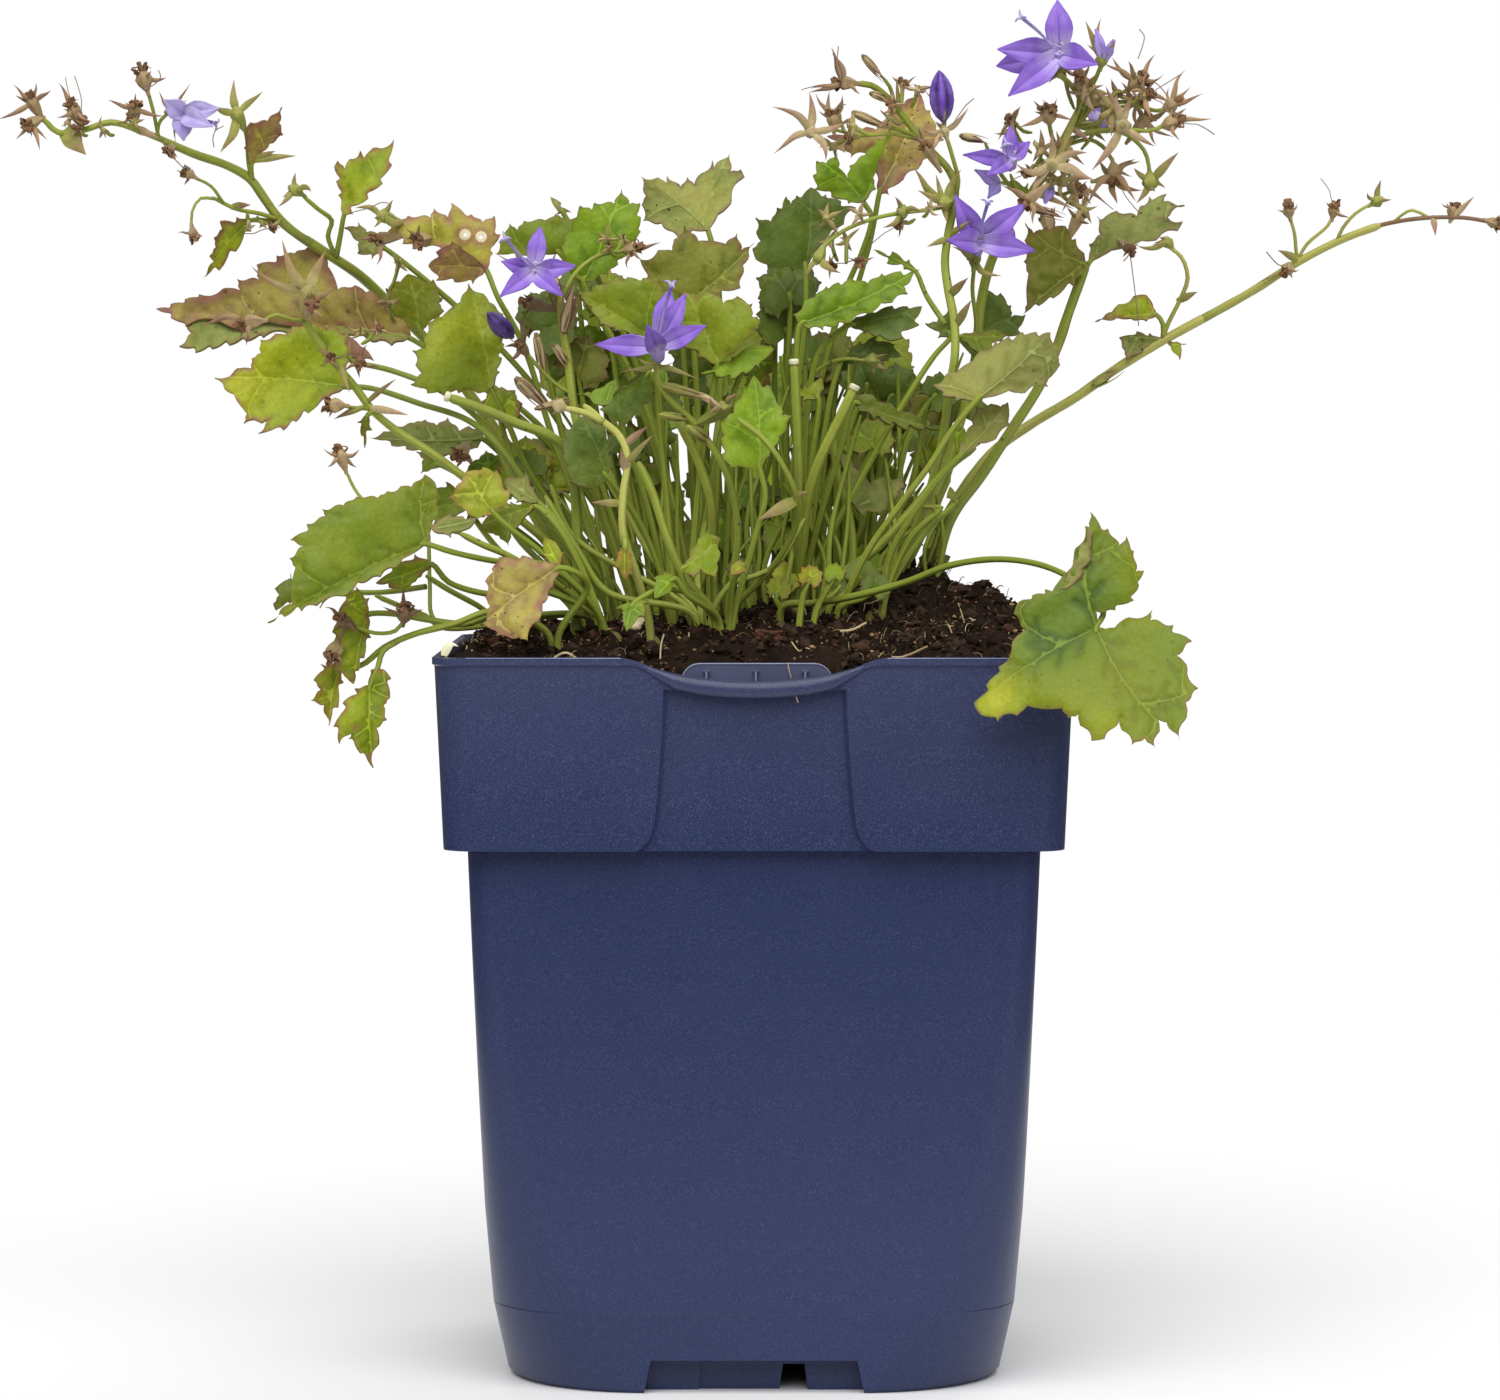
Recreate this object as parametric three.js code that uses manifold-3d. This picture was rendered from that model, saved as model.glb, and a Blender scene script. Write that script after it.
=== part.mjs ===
// A bellflower plant in a square plastic nursery pot, in millimetres with +Z up.
// The pot stands on z = 0, its front faces -Y, and the plant grows out of the soil.

import * as THREE from "three";
import { ParametricGeometry } from "three/addons/geometries/ParametricGeometry.js";
import { mergeVertices } from "three/addons/utils/BufferGeometryUtils.js";
import Module from "manifold-3d";

const wasm = await Module();
wasm.setup();

// Driving sizes of the pot: an 11 cm square container.
const RIM_HALF = 55;
const POT_HEIGHT = 128.8;
const LEDGE_HEIGHT = 95.5;
const WALL = 1.7;
const FLOOR_UNDER = 5;
const FLOOR_TOP = 7;
const FOOT_HALF = 42.8;
const CLEARANCE = 0.3;

// Half-widths of the outer wall at each height, from the foot to the ledge under the collar.
const OUTER_WALL = [[FOOT_HALF, 0], [43.8, 1.2], [46.1, 14.6], [47.2, 32], [48.3, 61], [49.6, LEDGE_HEIGHT]];

// Slabs of leaf, sepal and petal are at least this thick, so each stays one sound body.
const LEAF_THICKNESS = 0.8;
const SEPAL_THICKNESS = 0.7;
const PETAL_THICKNESS = 0.7;
const SEPAL_SPREAD = 0.5;
const ROOTED = 0.9;
const PETIOLE_RADIUS = 0.75;
const PLEAT = 0.16;

// Slivers finer than this, left where solids were joined, are smoothed away.
const FINEST_DETAIL = 0.12;

// A crown reaches down into the soil and up to where its stalks leave it.
const CROWN_DEPTH = 8;
const CROWN_RISE = 4.5;
const STALK_RISE = 3;
const CROWN_SIDES = 5;

// The plant was measured as seen from EYE. A point is written as [x, z, depth]: x and z as read on
// the upright plane y = plane, and depth the y at which the point lies on that line of sight.
const EYE = new THREE.Vector3(-0.7, -1000, 170);

const SHOOTS = [
  {
    "name": "stem_left_long", "plane": 2, "root": [-24, 10], "stump": 2.4,
    "stems": [
      {"radius": 1.1, "route": [[-82, 202.6, 4], [-77, 199.4, 7], [-72, 196.1, 11], [-69.4, 193.9, 14], [-66, 190.5, 17],
        [-58, 182.5, 20], [-44, 164, 19], [-31, 147, 14]], "to_root": true},
      {"radius": 0.9, "route": [[-107, 220, -4], [-101, 217.4, -3], [-95, 215.3, -1], [-91, 213, 0],
        [-88.5, 209.6, 1], [-85.6, 205.6, 2], [-82, 202.6, 4], [-80, 201.4, 5]]},
      {"radius": 0.65, "route": [[-128.5, 224, -8], [-125.5, 221.2, -7], [-121, 221.6, -7], [-116, 223, -6],
        [-111.5, 221.8, -5], [-107, 220, -4], [-104.5, 218.9, -3.6]]},
      {"radius": 0.5, "route": [[-97.8, 209.6, -6], [-93.5, 207.5, -4], [-89, 206.6, -1], [-85, 205.2, 2]]},
      {"radius": 0.35, "route": [[-101.5, 204, -9], [-101.4, 207, -8.5], [-99.8, 209.4, -7], [-97, 209.2, -6]]},
      {"radius": 0.35, "route": [[-101.2, 213.2, -8], [-98, 211.6, -7], [-95.8, 208.6, -5.4]]},
      {"radius": 0.55, "route": [[-81.6, 210, -3], [-78.6, 207.4, -1], [-76.2, 205.4, 2], [-76.9, 202.6, 4], [-75.6, 199, 7]]},
      {"radius": 0.45, "route": [[-109.5, 229.4, -7], [-108.3, 225, -6], [-107.7, 222, -5], [-107.4, 220.3, -4]]},
      {"radius": 0.45, "route": [[-105.2, 224.9, -9], [-107, 223.4, -7], [-107.6, 221.2, -5], [-107.2, 220, -4]]},
      {"radius": 0.5, "route": [[-111.5, 224.6, -7], [-112.4, 223, -6], [-112, 221.8, -5]]},
      {"radius": 0.5, "route": [[-93, 224, -7], [-91.6, 221, -5], [-91.2, 216, -2], [-90.6, 212.6, 0]]}
    ],
    "leaves": [
      {"heart": [-74, 206.4, 3], "lean": [0.15, 0.35], "tint": "fresh", "edge": [[-75, 210], [-75.7, 215], [-75.1, 216.1],
        [-73.9, 214.6], [-71, 217.9], [-70.4, 216.6], [-64.9, 219.9], [-65.3, 215.4], [-67, 212], [-69.6, 209.3], [-72.4, 206.6]],
        "way": [[-74.6, 203, 5]], "joins": [-75.4, 199, 7]},
      {"heart": [-91, 205.4, -1], "lean": [-0.3, -0.5], "tint": "fresh", "edge": [[-93.4, 206], [-96.4, 205.2], [-95.9, 203.8],
        [-97.5, 202.2], [-97.1, 200.6], [-98.3, 199], [-97.5, 198], [-99.7, 194.9], [-96.5, 196.4], [-93.5, 199.8],
        [-90.8, 203.4]], "way": [], "joins": [-86.4, 205.2, 2]},
      {"heart": [-90.7, 215.4, -2], "lean": [0.5, -0.4], "tint": "bronze", "edge": [[-92, 218.4], [-91.6, 221.6],
        [-90.7, 223], [-87.6, 223.3], [-85.1, 225.8], [-85.7, 223], [-84.9, 220.8], [-87.4, 219.2], [-89.4, 216.6]],
        "way": [], "joins": [-90.6, 212.4, 0]}
    ],
    "blades": [
      [[-89.8, 216.4, -2], [-86.3, 217.9, -5], 1.2], [[-89.8, 216.2, -2], [-82.6, 217, -6], 1.4],
      [[-94, 207.8, -4], [-90.8, 208.2, -7], 1.4], [[-124.2, 221, -7], [-120.5, 217.2, -9], 3.4],
      [[-111.7, 221.9, -5], [-107.4, 220.2, -9], 1.6]
    ],
    "calyces": [
      {"at": [-93.2, 224.6, -7], "ovary": 1.4, "tint": "green", "from": [-91.8, 221.6, -5],
        "tips": [[-93.3, 230.7, -6], [-88.6, 228, -9], [-97, 226, -11], [-97.3, 218.4, -8]]},
      {"at": [-82.9, 210.9, -4], "ovary": 1.3, "tint": "green", "from": [-81.4, 210, -3],
        "tips": [[-80, 210.2, -9], [-82.6, 214, -4], [-85.4, 208, -7]]},
      {"at": [-130, 226.6, -9], "ovary": 1.3, "tint": "dried", "from": [-128.4, 223.8, -8],
        "tips": [[-136.17, 223.6, -10], [-132.6, 230, -8], [-126.8, 228, -12], [-128.6, 230.2, -7], [-133.6, 228, -6]]},
      {"at": [-130.6, 222.8, -11], "ovary": 1.3, "tint": "dried", "from": [-128.4, 223.8, -8],
        "tips": [[-133.2, 220.2, -12], [-129.4, 218, -13], [-127.8, 220, -9]]},
      {"at": [-122.6, 225.4, -8], "ovary": 1.4, "tint": "dried", "from": [-121, 222, -7],
        "tips": [[-124.6, 230.2, -8], [-126, 224, -11], [-119, 223.8, -10]]},
      {"at": [-109.9, 230.9, -7], "ovary": 1.7, "tint": "dried", "from": [-109.3, 228.6, -7],
        "tips": [[-106.2, 231.5, -8], [-111.7, 233, -7], [-108.3, 232.6, -9]]},
      {"at": [-111.6, 225.4, -7], "ovary": 1.3, "tint": "dried", "from": [-112, 222.4, -5],
        "tips": [[-116.3, 227.6, -8], [-111.4, 228.4, -8], [-107.6, 224, -10]]},
      {"at": [-104.6, 224.9, -9.6], "ovary": 0.9, "tint": "dried", "from": [-105.6, 224.9, -9],
        "tips": [[-106.6, 229.4, -8], [-101.4, 229.4, -8], [-104.8, 220, -7]]},
      {"at": [-101.3, 203, -9], "ovary": 1, "tint": "dried", "from": [-101.5, 204.2, -9],
        "tips": [[-103.8, 203.8, -9], [-100.4, 201.2, -10]]},
      {"at": [-101.8, 213.7, -8], "ovary": 1, "tint": "dried", "from": [-101, 213.2, -8],
        "tips": [[-104, 214.6, -9], [-101.9, 215.4, -8], [-103.2, 211.8, -7]]},
      {"at": [-105.3, 218.2, -5], "ovary": 1.1, "tint": "dried", "from": [-104.8, 219, -4],
        "tips": [[-104.6, 216.2, -8], [-106.8, 217, -6]]}
    ]
  },
  {
    "name": "leaves_left_high", "plane": -5, "root": [-17, 14], "stump": 2.4,
    "leaves": [
      {"heart": [-61.5, 184, 8], "lean": [0.1, 0.4], "tint": "bronze", "edge": [[-66.5, 191.5], [-71.5, 193.6], [-74.6, 192.8],
        [-76.4, 197], [-77.3, 200.2], [-80, 200.4], [-82.4, 199.2], [-85.6, 198.9], [-89.2, 197.2], [-88.8, 194.6],
        [-92.7, 194.7], [-92.2, 192.7], [-99.5, 192], [-107.2, 189.3], [-102, 186.2], [-88, 187.2], [-74, 186.4]]},
      {"heart": [-62, 184.2, 7], "lean": [0.1, 1.2], "tint": "under", "edge": [[-76, 188.6], [-88, 188.6], [-97, 188.2],
        [-103.1, 187.8], [-100.6, 185], [-103.1, 182.6], [-100.2, 181.5], [-88, 184.2], [-80, 186.2], [-70, 184.6],
        [-65, 182.8]], "bare": true},
      {"heart": [-66.2, 200.2, 16], "lean": [0.2, 0.3], "tint": "under", "edge": [[-68.5, 198.2], [-71.1, 199.2],
        [-70.8, 201.4], [-73.4, 203.8], [-70.9, 204.8], [-69.4, 203], [-66.6, 203]]},
      {"heart": [-60, 185.5, 12.5], "lean": [0.2, 0.3], "tint": "green", "edge": [[-65, 188], [-66, 193], [-62, 195.6],
        [-57.5, 194.6], [-55.4, 191.4], [-56.6, 190.4], [-55.6, 189], [-57, 187.6]]}
    ]
  },
  {
    "name": "stem_left_low", "plane": -5, "root": [-29, -6], "stump": 2.4,
    "stems": [
      {"radius": 0.85, "route": [[-81.3, 188.6, -18], [-78.6, 183.8, -17], [-74.4, 178.6, -16], [-71.4, 175, -15.5],
        [-68.6, 171.2, -15.5], [-64.4, 167.6, -15.5], [-58, 163.5, -16], [-50, 157.5, -15], [-42, 151.5, -13],
        [-35, 145, -10]], "to_root": true},
      {"radius": 0.45, "route": [[-88.4, 187.1, -22], [-85.6, 188.3, -21], [-83, 187.4, -20], [-80.6, 187.3, -18]]},
      {"radius": 0.45, "route": [[-74, 172, -21], [-71.6, 171.6, -18], [-69, 171.4, -15.6]]}
    ],
    "leaves": [
      {"heart": [-73.6, 175.4, -7], "lean": [0.1, 0.35], "tint": "fresh", "edge": [[-72.6, 180], [-72.8, 185.2], [-76, 186.8],
        [-80, 187.2], [-84, 184.6], [-88.6, 183.8], [-88.4, 181.4], [-90.1, 180.4], [-90.2, 178.6], [-96.8, 176.9],
        [-93.4, 174], [-91, 170.6], [-91.6, 168.8], [-86.6, 169.8], [-89, 167], [-84.5, 167.6], [-80, 170.6],
        [-76.4, 173.2]], "way": [[-69, 175.2, -7], [-60, 172.4, -10], [-50, 168.6, -12], [-41, 158, -13]]},
      {"heart": [-72.6, 180.3, -2], "lean": [0, 0.4], "tint": "dried", "edge": [[-76, 182.8], [-73, 184.6], [-69.4, 182.9],
        [-68.2, 180]], "way": [[-65, 178.3, -3], [-56, 174.6, -5], [-48, 168, -8], [-43, 158, -10]]},
      {"heart": [-69.4, 170.3, -16], "lean": [0.1, -0.3], "tint": "green", "edge": [[-71.2, 169], [-69.9, 164.3], [-68.6, 167.6]],
        "joins": [-68.4, 171, -15.6], "way": []}
    ],
    "blades": [
      [[-69, 171.5, -15.5], [-62, 170.3, -21], 1.4], [[-69.6, 172.4, -15.5], [-64.2, 176.8, -21], 1],
      [[-74.4, 179, -16], [-72.6, 174.4, -21], 1.2], [[-70.4, 171.6, -17], [-75.4, 169.6, -21], 1.2]
    ],
    "calyces": [
      {"at": [-79.8, 192.4, -20], "ovary": 1.6, "tint": "bronze", "from": [-81, 188.4, -18],
        "tips": [[-83.6, 202, -20], [-76.2, 199.8, -20], [-89.8, 197.3, -22], [-75, 194.4, -25]]},
      {"at": [-79.2, 189.8, -23.5], "ovary": 1.4, "tint": "dried", "from": [-80.6, 187.6, -18],
        "tips": [[-76.6, 187.9, -27], [-79, 186.4, -24]]},
      {"at": [-90.6, 186.9, -22.5], "ovary": 1.5, "tint": "dried", "from": [-88, 187.2, -22],
        "tips": [[-92, 182.9, -23], [-89.6, 182.9, -26], [-99, 184.6, -25]]},
      {"at": [-75.2, 172, -21.5], "ovary": 1.5, "tint": "dried", "from": [-73.4, 172, -21],
        "tips": [[-77.2, 173, -22], [-76, 169.8, -22]]}
    ]
  },
  {
    "name": "leaves_left_mid", "plane": -5, "root": [-23.5, 2], "stump": 2.4,
    "leaves": [
      {"heart": [-47.3, 175, -14], "lean": [0.25, 0.25], "tint": "green", "edge": [[-53, 174.2], [-58.6, 174.2], [-61.6, 175.8],
        [-59.5, 177.8], [-61.3, 181.9], [-58.9, 182.2], [-58.6, 187], [-56, 187.8], [-52.6, 190.6], [-51.2, 193.8],
        [-47.4, 190.4], [-45, 188.4], [-44.8, 183], [-45.6, 178]],
        "way": [[-44.5, 169.5, -12.5], [-40.6, 160.5, -8.6], [-33, 149, -4]]},
      {"heart": [-48, 196.4, -4], "lean": [0.15, 0.3], "tint": "rosy", "edge": [[-52, 199.4], [-59, 200.4], [-63, 201],
        [-65.6, 203.2], [-66.6, 206.3], [-62, 206], [-58, 205.6], [-57.3, 207.3], [-54.6, 205.2], [-54.3, 208.3],
        [-50.6, 206.2], [-48.6, 204.8], [-46.5, 206], [-45.4, 202.6], [-46.8, 199.2]],
        "way": [[-46, 191.6, -5], [-41.4, 183, -3], [-36, 166, -2]]},
      {"heart": [-48, 196.5, -4.2], "lean": [0.35, -0.3], "tint": "bronze", "edge": [[-50.4, 193.8], [-57, 194.4], [-58.4, 197],
        [-57, 199.4], [-54.4, 202], [-52.4, 200]], "bare": true}
    ],
    "calyces": [
      {"at": [-66.6, 206, -10], "ovary": 1.4, "tint": "green", "from": [-63, 204.4, -3.8],
        "tips": [[-65.2, 209, -11], [-71.6, 206.8, -11], [-61.6, 206.4, -14]]},
      {"at": [-60.2, 201.6, -10], "ovary": 1.5, "tint": "dried", "from": [-58, 202, -3.8],
        "tips": [[-59.6, 204.4, -13], [-63, 203.6, -12]]},
      {"at": [-66.8, 201.9, -7], "ovary": 1.3, "tint": "dried", "from": [-62.8, 202.4, -4],
        "tips": [[-70.4, 201, -9], [-66, 197.4, -9]]}
    ]
  },
  {
    "name": "cut_stem_left", "plane": -20, "root": [-31, -22], "stump": 2,
    "stems": [
      {"radius": 1.05, "route": [[-54.3, 173.6, -31], [-48, 171.4, -30], [-42, 168.9, -29], [-36, 166.6, -28],
        [-33, 163.5, -26], [-31.5, 154, -23]], "to_root": true}
    ]
  },
  {
    "name": "leaves_left_front", "plane": -22, "root": [-25, -29], "stump": 2.6,
    "leaves": [
      {"heart": [-58, 147.6, -47], "lean": [0.1, 0.45], "tint": "green", "edge": [[-56.8, 151.5], [-55.4, 156],
        [-56.4, 158.4], [-58.2, 159.8], [-60.5, 157.6], [-64.8, 156.8], [-66.5, 155.6], [-70.2, 155.9], [-72.5, 154.3],
        [-76.3, 153.7], [-75.5, 152.4], [-79, 151], [-82, 148.2], [-79.5, 147.2], [-82.1, 145], [-81, 143.4],
        [-81.7, 137], [-86, 133.6], [-80, 135.7], [-76, 138], [-76.8, 136.2], [-70, 140.8], [-66, 141.8], [-62, 145]],
        "way": [[-53.5, 146.2, -46], [-46, 144.6, -42], [-36, 143.4, -36]]},
      {"heart": [-57, 150.2, -45.9], "lean": [-0.3, 0.5], "tint": "under", "edge": [[-57.4, 151.6], [-53.6, 152.7],
        [-49, 152], [-50.2, 150.4], [-53.6, 148.6]], "bare": true},
      {"heart": [-46, 153, -36], "lean": [0.1, 0.2], "tint": "yellow", "edge": [[-48.5, 152.1], [-50.5, 152.8],
        [-51.6, 154.2], [-54, 155.8], [-51.6, 158.4], [-50.8, 160.2], [-48, 161.2], [-45.4, 160.6], [-43.2, 157],
        [-42.9, 154.5], [-45, 154.2]], "way": [[-43, 150.2, -36], [-37.2, 145.6, -34]]},
      {"heart": [-38.6, 154.2, -30], "lean": [-0.2, 0.4], "tint": "green", "edge": [[-40.4, 152.4], [-43, 149.4],
        [-43.4, 147.2], [-45, 149], [-46.6, 149.4], [-48.2, 150.6], [-47, 153.4], [-43, 155]],
        "way": [[-34, 149.6, -31]]},
      {"heart": [-38.2, 155, -27], "lean": [0.1, 0.3], "tint": "under", "edge": [[-42, 154.8], [-43.6, 157], [-44, 159],
        [-40.4, 160.2], [-38.8, 157.6]], "way": [[-34.4, 151, -29]]},
      {"heart": [-57, 144, -40], "lean": [-0.2, 0.6], "tint": "fresh", "edge": [[-58.8, 141.9], [-60.5, 140.7],
        [-62.3, 139.2], [-66.8, 140.6], [-64, 143.6], [-60, 145.8]], "way": [[-54, 140.8, -38], [-46, 138.6, -36],
        [-38, 139.4, -33]]}
    ]
  },
  {
    "name": "leaves_left_behind", "plane": -22, "root": [-29, 20], "stump": 2.2,
    "leaves": [
      {"heart": [-48, 166.2, 6], "lean": [-0.1, 0.5], "tint": "under", "edge": [[-47.8, 168.3], [-52, 167.4], [-54, 169.8],
        [-56, 168.4], [-58, 169.4], [-60, 168.8], [-62.8, 168.2], [-63.6, 167.2], [-68.1, 166.4], [-64, 164.9],
        [-56, 162.8], [-51, 162.8]]},
      {"heart": [-55, 161.4, 2], "lean": [0.1, 0.4], "tint": "green", "edge": [[-57, 160.8], [-58.9, 160], [-58.3, 162.6],
        [-59.6, 163.8], [-56, 163.6]]},
      {"heart": [-50.4, 154.6, 4], "lean": [0.1, 0.4], "tint": "green", "edge": [[-53, 151.6], [-56.6, 151], [-58.6, 153.6],
        [-57, 157], [-54.4, 158.6], [-51.6, 157.6]]}
    ],
    "calyces": [
      {"at": [-51.8, 163.4, -1], "ovary": 1.6, "tint": "dried", "from": [-50.6, 165.4, 5.7],
        "tips": [[-53.6, 161.2, -5], [-50.2, 161.6, -5], [-53.4, 165.4, -6]]}
    ]
  },
  {
    "name": "leaves_left_low", "plane": -22, "root": [-34, -38], "stump": 2.6,
    "leaves": [
      {"heart": [-68.4, 135, -36], "lean": [0.1, 0.25], "tint": "fresh", "edge": [[-68, 138], [-70.4, 140], [-72.6, 138.6],
        [-74.6, 132], [-75, 128], [-74, 124.6], [-70.8, 122.8], [-69, 127.4], [-67.7, 131]],
        "way": [[-64, 135.2, -37], [-58, 134.2, -38], [-51, 133.4, -39], [-45, 135, -39.5]]},
      {"heart": [-73.4, 126, -34], "lean": [0.3, 0.2], "tint": "yellow", "edge": [[-76.6, 126.3], [-77.9, 123.4], [-76.6, 121.8],
        [-78.4, 119.8], [-76, 119], [-75.3, 115.3], [-73.6, 118.6], [-72.6, 123]],
        "way": [[-69.6, 126, -35], [-65.4, 129.2, -37], [-60, 131.6, -39.5], [-53, 133.4, -42], [-46, 135.6, -42]]},
      {"heart": [-68, 122.4, -42], "lean": [0.15, 0.3], "tint": "fresh", "edge": [[-67.8, 125.3], [-65.4, 125.3],
        [-64.2, 123.7], [-64.4, 120.3], [-65.6, 119], [-65, 116.4], [-66.8, 115], [-67.4, 107.9], [-71.8, 113],
        [-70.5, 115.2], [-73.4, 112.2], [-74.4, 115.2], [-72.8, 119.5], [-70.6, 122]],
        "way": [[-66.6, 125.6, -41], [-65.6, 128.6, -39]], "joins": [-62.6, 130.6, -38]},
      {"heart": [-34.4, 143.4, -47], "lean": [-0.1, 0.3], "tint": "bronze", "edge": [[-37, 144.8], [-41, 145.5], [-45.2, 145.2],
        [-47.5, 141], [-46.6, 136.5], [-47.8, 133.4], [-45.5, 131.2], [-41.5, 131], [-40, 130.4], [-37.4, 137],
        [-35.4, 140]], "way": [[-31.6, 142.6, -46], [-29.4, 139.8, -42]]},
      {"heart": [-34.6, 143.5, -47], "lean": [-0.2, 0.8], "tint": "fresh", "edge": [[-33.4, 146], [-35.2, 147.9], [-37, 148.5],
        [-38, 145.6]], "bare": true}
    ],
    "stems": [
      {"radius": 0.45, "route": [[-61.8, 134.2, -41], [-63.4, 132.2, -40], [-67, 131.8, -38], [-70.8, 133, -36.9]]}
    ],
    "calyces": [
      {"at": [-61.8, 135.2, -41.5], "ovary": 1.6, "tint": "dark", "from": [-62, 133.6, -40.8],
        "tips": [[-65.8, 136.9, -43.6], [-61.9, 139.9, -42.6], [-58.4, 136.9, -43.6]]},
      {"at": [-72.6, 133.9, -39], "ovary": 1.4, "tint": "dark", "from": [-70.6, 133, -36.9],
        "tips": [[-75.1, 137.4, -41], [-70.9, 131, -42.6], [-74.6, 130, -41]]},
      {"at": [-74.2, 128.4, -39.5], "ovary": 1.7, "tint": "dried", "from": [-73.5, 130.6, -37.4],
        "tips": [[-74.4, 125.6, -41.4], [-72.2, 126.8, -41.4]]}
    ]
  },
  {
    "name": "leaves_centre_front", "plane": -20, "root": [-5, -34], "stump": 2.6,
    "leaves": [
      {"heart": [1, 161, -40], "lean": [0.1, 0.3], "tint": "bright", "edge": [[-3, 161.4], [-4.8, 160.6], [-5.8, 163.4],
        [-6, 169], [-3.6, 170.6], [-2, 175], [0, 177.2], [2.4, 175.6], [5.2, 172], [4.9, 170.2], [7, 170.2], [4.4, 166.6],
        [2.8, 163]], "way": [[2, 156, -40], [0, 148, -38.6]]},
      {"heart": [-12.8, 143, -43], "lean": [0, 0.5], "tint": "green", "edge": [[-11.4, 145], [-10, 148.6], [-8, 150.1],
        [-5.9, 148.4], [-6.6, 144], [-6.5, 141], [-9.4, 143], [-10.6, 141.4]], "way": [[-12, 139.4, -41]]},
      {"heart": [-14, 141.4, -46], "lean": [0.2, 0.5], "tint": "bright", "edge": [[-15.6, 142.8], [-18, 141.4], [-17.7, 137.8],
        [-14.8, 138.4]], "way": [[-12, 138.6, -44]]},
      {"heart": [-21.6, 136.6, -49], "lean": [0, 0.5], "tint": "green", "edge": [[-20.4, 137.6], [-18.8, 137], [-19.4, 134.6],
        [-22.6, 132], [-24.6, 136], [-22.6, 137.6]], "way": [[-17, 139.4, -46], [-11, 138.6, -40]]},
      {"heart": [-1.8, 143.8, -42], "lean": [0.2, 0.5], "tint": "fresh", "edge": [[-1.4, 141.8], [-4.1, 142], [-4, 143.6],
        [-2.4, 144.7]], "way": [[-3.6, 141, -40]]}
    ],
    "stems": [
      {"radius": 0.95, "route": [[-20.6, 162, -37], [-18, 156.4, -37.6], [-15.4, 148.4, -38], [-12.4, 141.6, -37]],
        "to_root": true}
    ]
  },
  {
    "name": "stem_front_pale", "plane": -20, "root": [-17.5, -38], "stump": 1.8,
    "stems": [
      {"radius": 0.8, "route": [[-30, 172, -33], [-27, 169.4, -36], [-23.8, 166.6, -40], [-22.4, 163, -42.5],
        [-23.2, 156, -44.5], [-23.2, 149.4, -45], [-21, 142.6, -43]], "to_root": true},
      {"radius": 0.7, "route": [[-33.6, 171.6, -36], [-29.6, 170.6, -36], [-26.6, 169, -37]]}
    ],
    "leaves": [
      {"heart": [-22.8, 147.2, -47.5], "lean": [0, -0.2], "tint": "yellow", "edge": [[-21.3, 145.4], [-21.8, 143], [-22.8, 141.2],
        [-24.6, 143.4], [-24.4, 145.8]], "way": [], "joins": [-22.9, 148.6, -45.2]}
    ],
    "blades": [
      [[-22.8, 165, -41], [-18.8, 168.3, -44], 1.4], [[-22.7, 161.6, -42.9], [-17.8, 166.8, -46], 1.2],
      [[-22.6, 160.6, -43.4], [-23.6, 164, -46], 1.6], [[-23.6, 154.6, -44.6], [-28.8, 154.8, -47], 1.4]
    ],
    "calyces": [
      {"at": [-34.4, 171.8, -36], "ovary": 1.4, "tint": "rosy", "from": [-33.2, 171.4, -36], "tips": []}
    ]
  },
  {
    "name": "leaves_centre", "plane": -10, "root": [-13, -20], "stump": 3,
    "leaves": [
      {"heart": [-18.4, 184, -25], "lean": [0.1, 0.3], "tint": "green", "edge": [[-22, 184.6], [-25, 186], [-27.4, 186.4],
        [-29, 189.6], [-31.6, 192], [-26, 194.2], [-22.6, 194.8], [-17, 194.7], [-15.4, 192], [-15.8, 187]]},
      {"heart": [-6.6, 179.4, -27], "lean": [0.1, 0.25], "tint": "green", "edge": [[-10, 180.6], [-13.5, 183], [-15, 186.5],
        [-14, 189.5], [-12.5, 192.7], [-10.2, 191], [-8, 192.8], [-5.4, 190.2], [-3, 191.5], [-0.3, 190.2],
        [-0.4, 187.8], [1.3, 187], [-1.5, 183], [-4.5, 181]]},
      {"heart": [-18.6, 178, -29], "lean": [0.1, -0.2], "tint": "dark", "edge": [[-20.6, 178.2], [-22.6, 175.6], [-27.6, 171.4],
        [-25.6, 169.6], [-23.4, 168.4], [-20.4, 170], [-17.6, 174.4]]},
      {"heart": [-26.4, 159.4, -30], "lean": [0.1, 0.3], "tint": "dark", "edge": [[-29, 156], [-32.8, 158.4], [-34.4, 163],
        [-33.8, 168], [-30.8, 170], [-27.2, 169.4], [-25.2, 165.6]]},
      {"heart": [-1, 182, -24], "lean": [0.2, 0.5], "tint": "bright", "edge": [[-4, 180.6], [-9.6, 177.6], [-4, 176.6],
        [1, 178.6], [3.6, 182], [0.6, 183.6]]},
      {"heart": [-26.4, 172, -24], "lean": [0, 0.4], "tint": "bright", "edge": [[-31.6, 174], [-29, 174.2], [-26.4, 175.8],
        [-24.6, 176.6], [-23.8, 174]]}
    ],
    "stems": [
      {"radius": 1, "route": [[-13.6, 169.4, -28], [-10, 162, -28], [-7.6, 154, -27], [-8, 146, -24]], "to_root": true}
    ]
  },
  {
    "name": "stem_centre_left", "plane": -10, "root": [-20.5, -10], "stump": 2.2,
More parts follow.
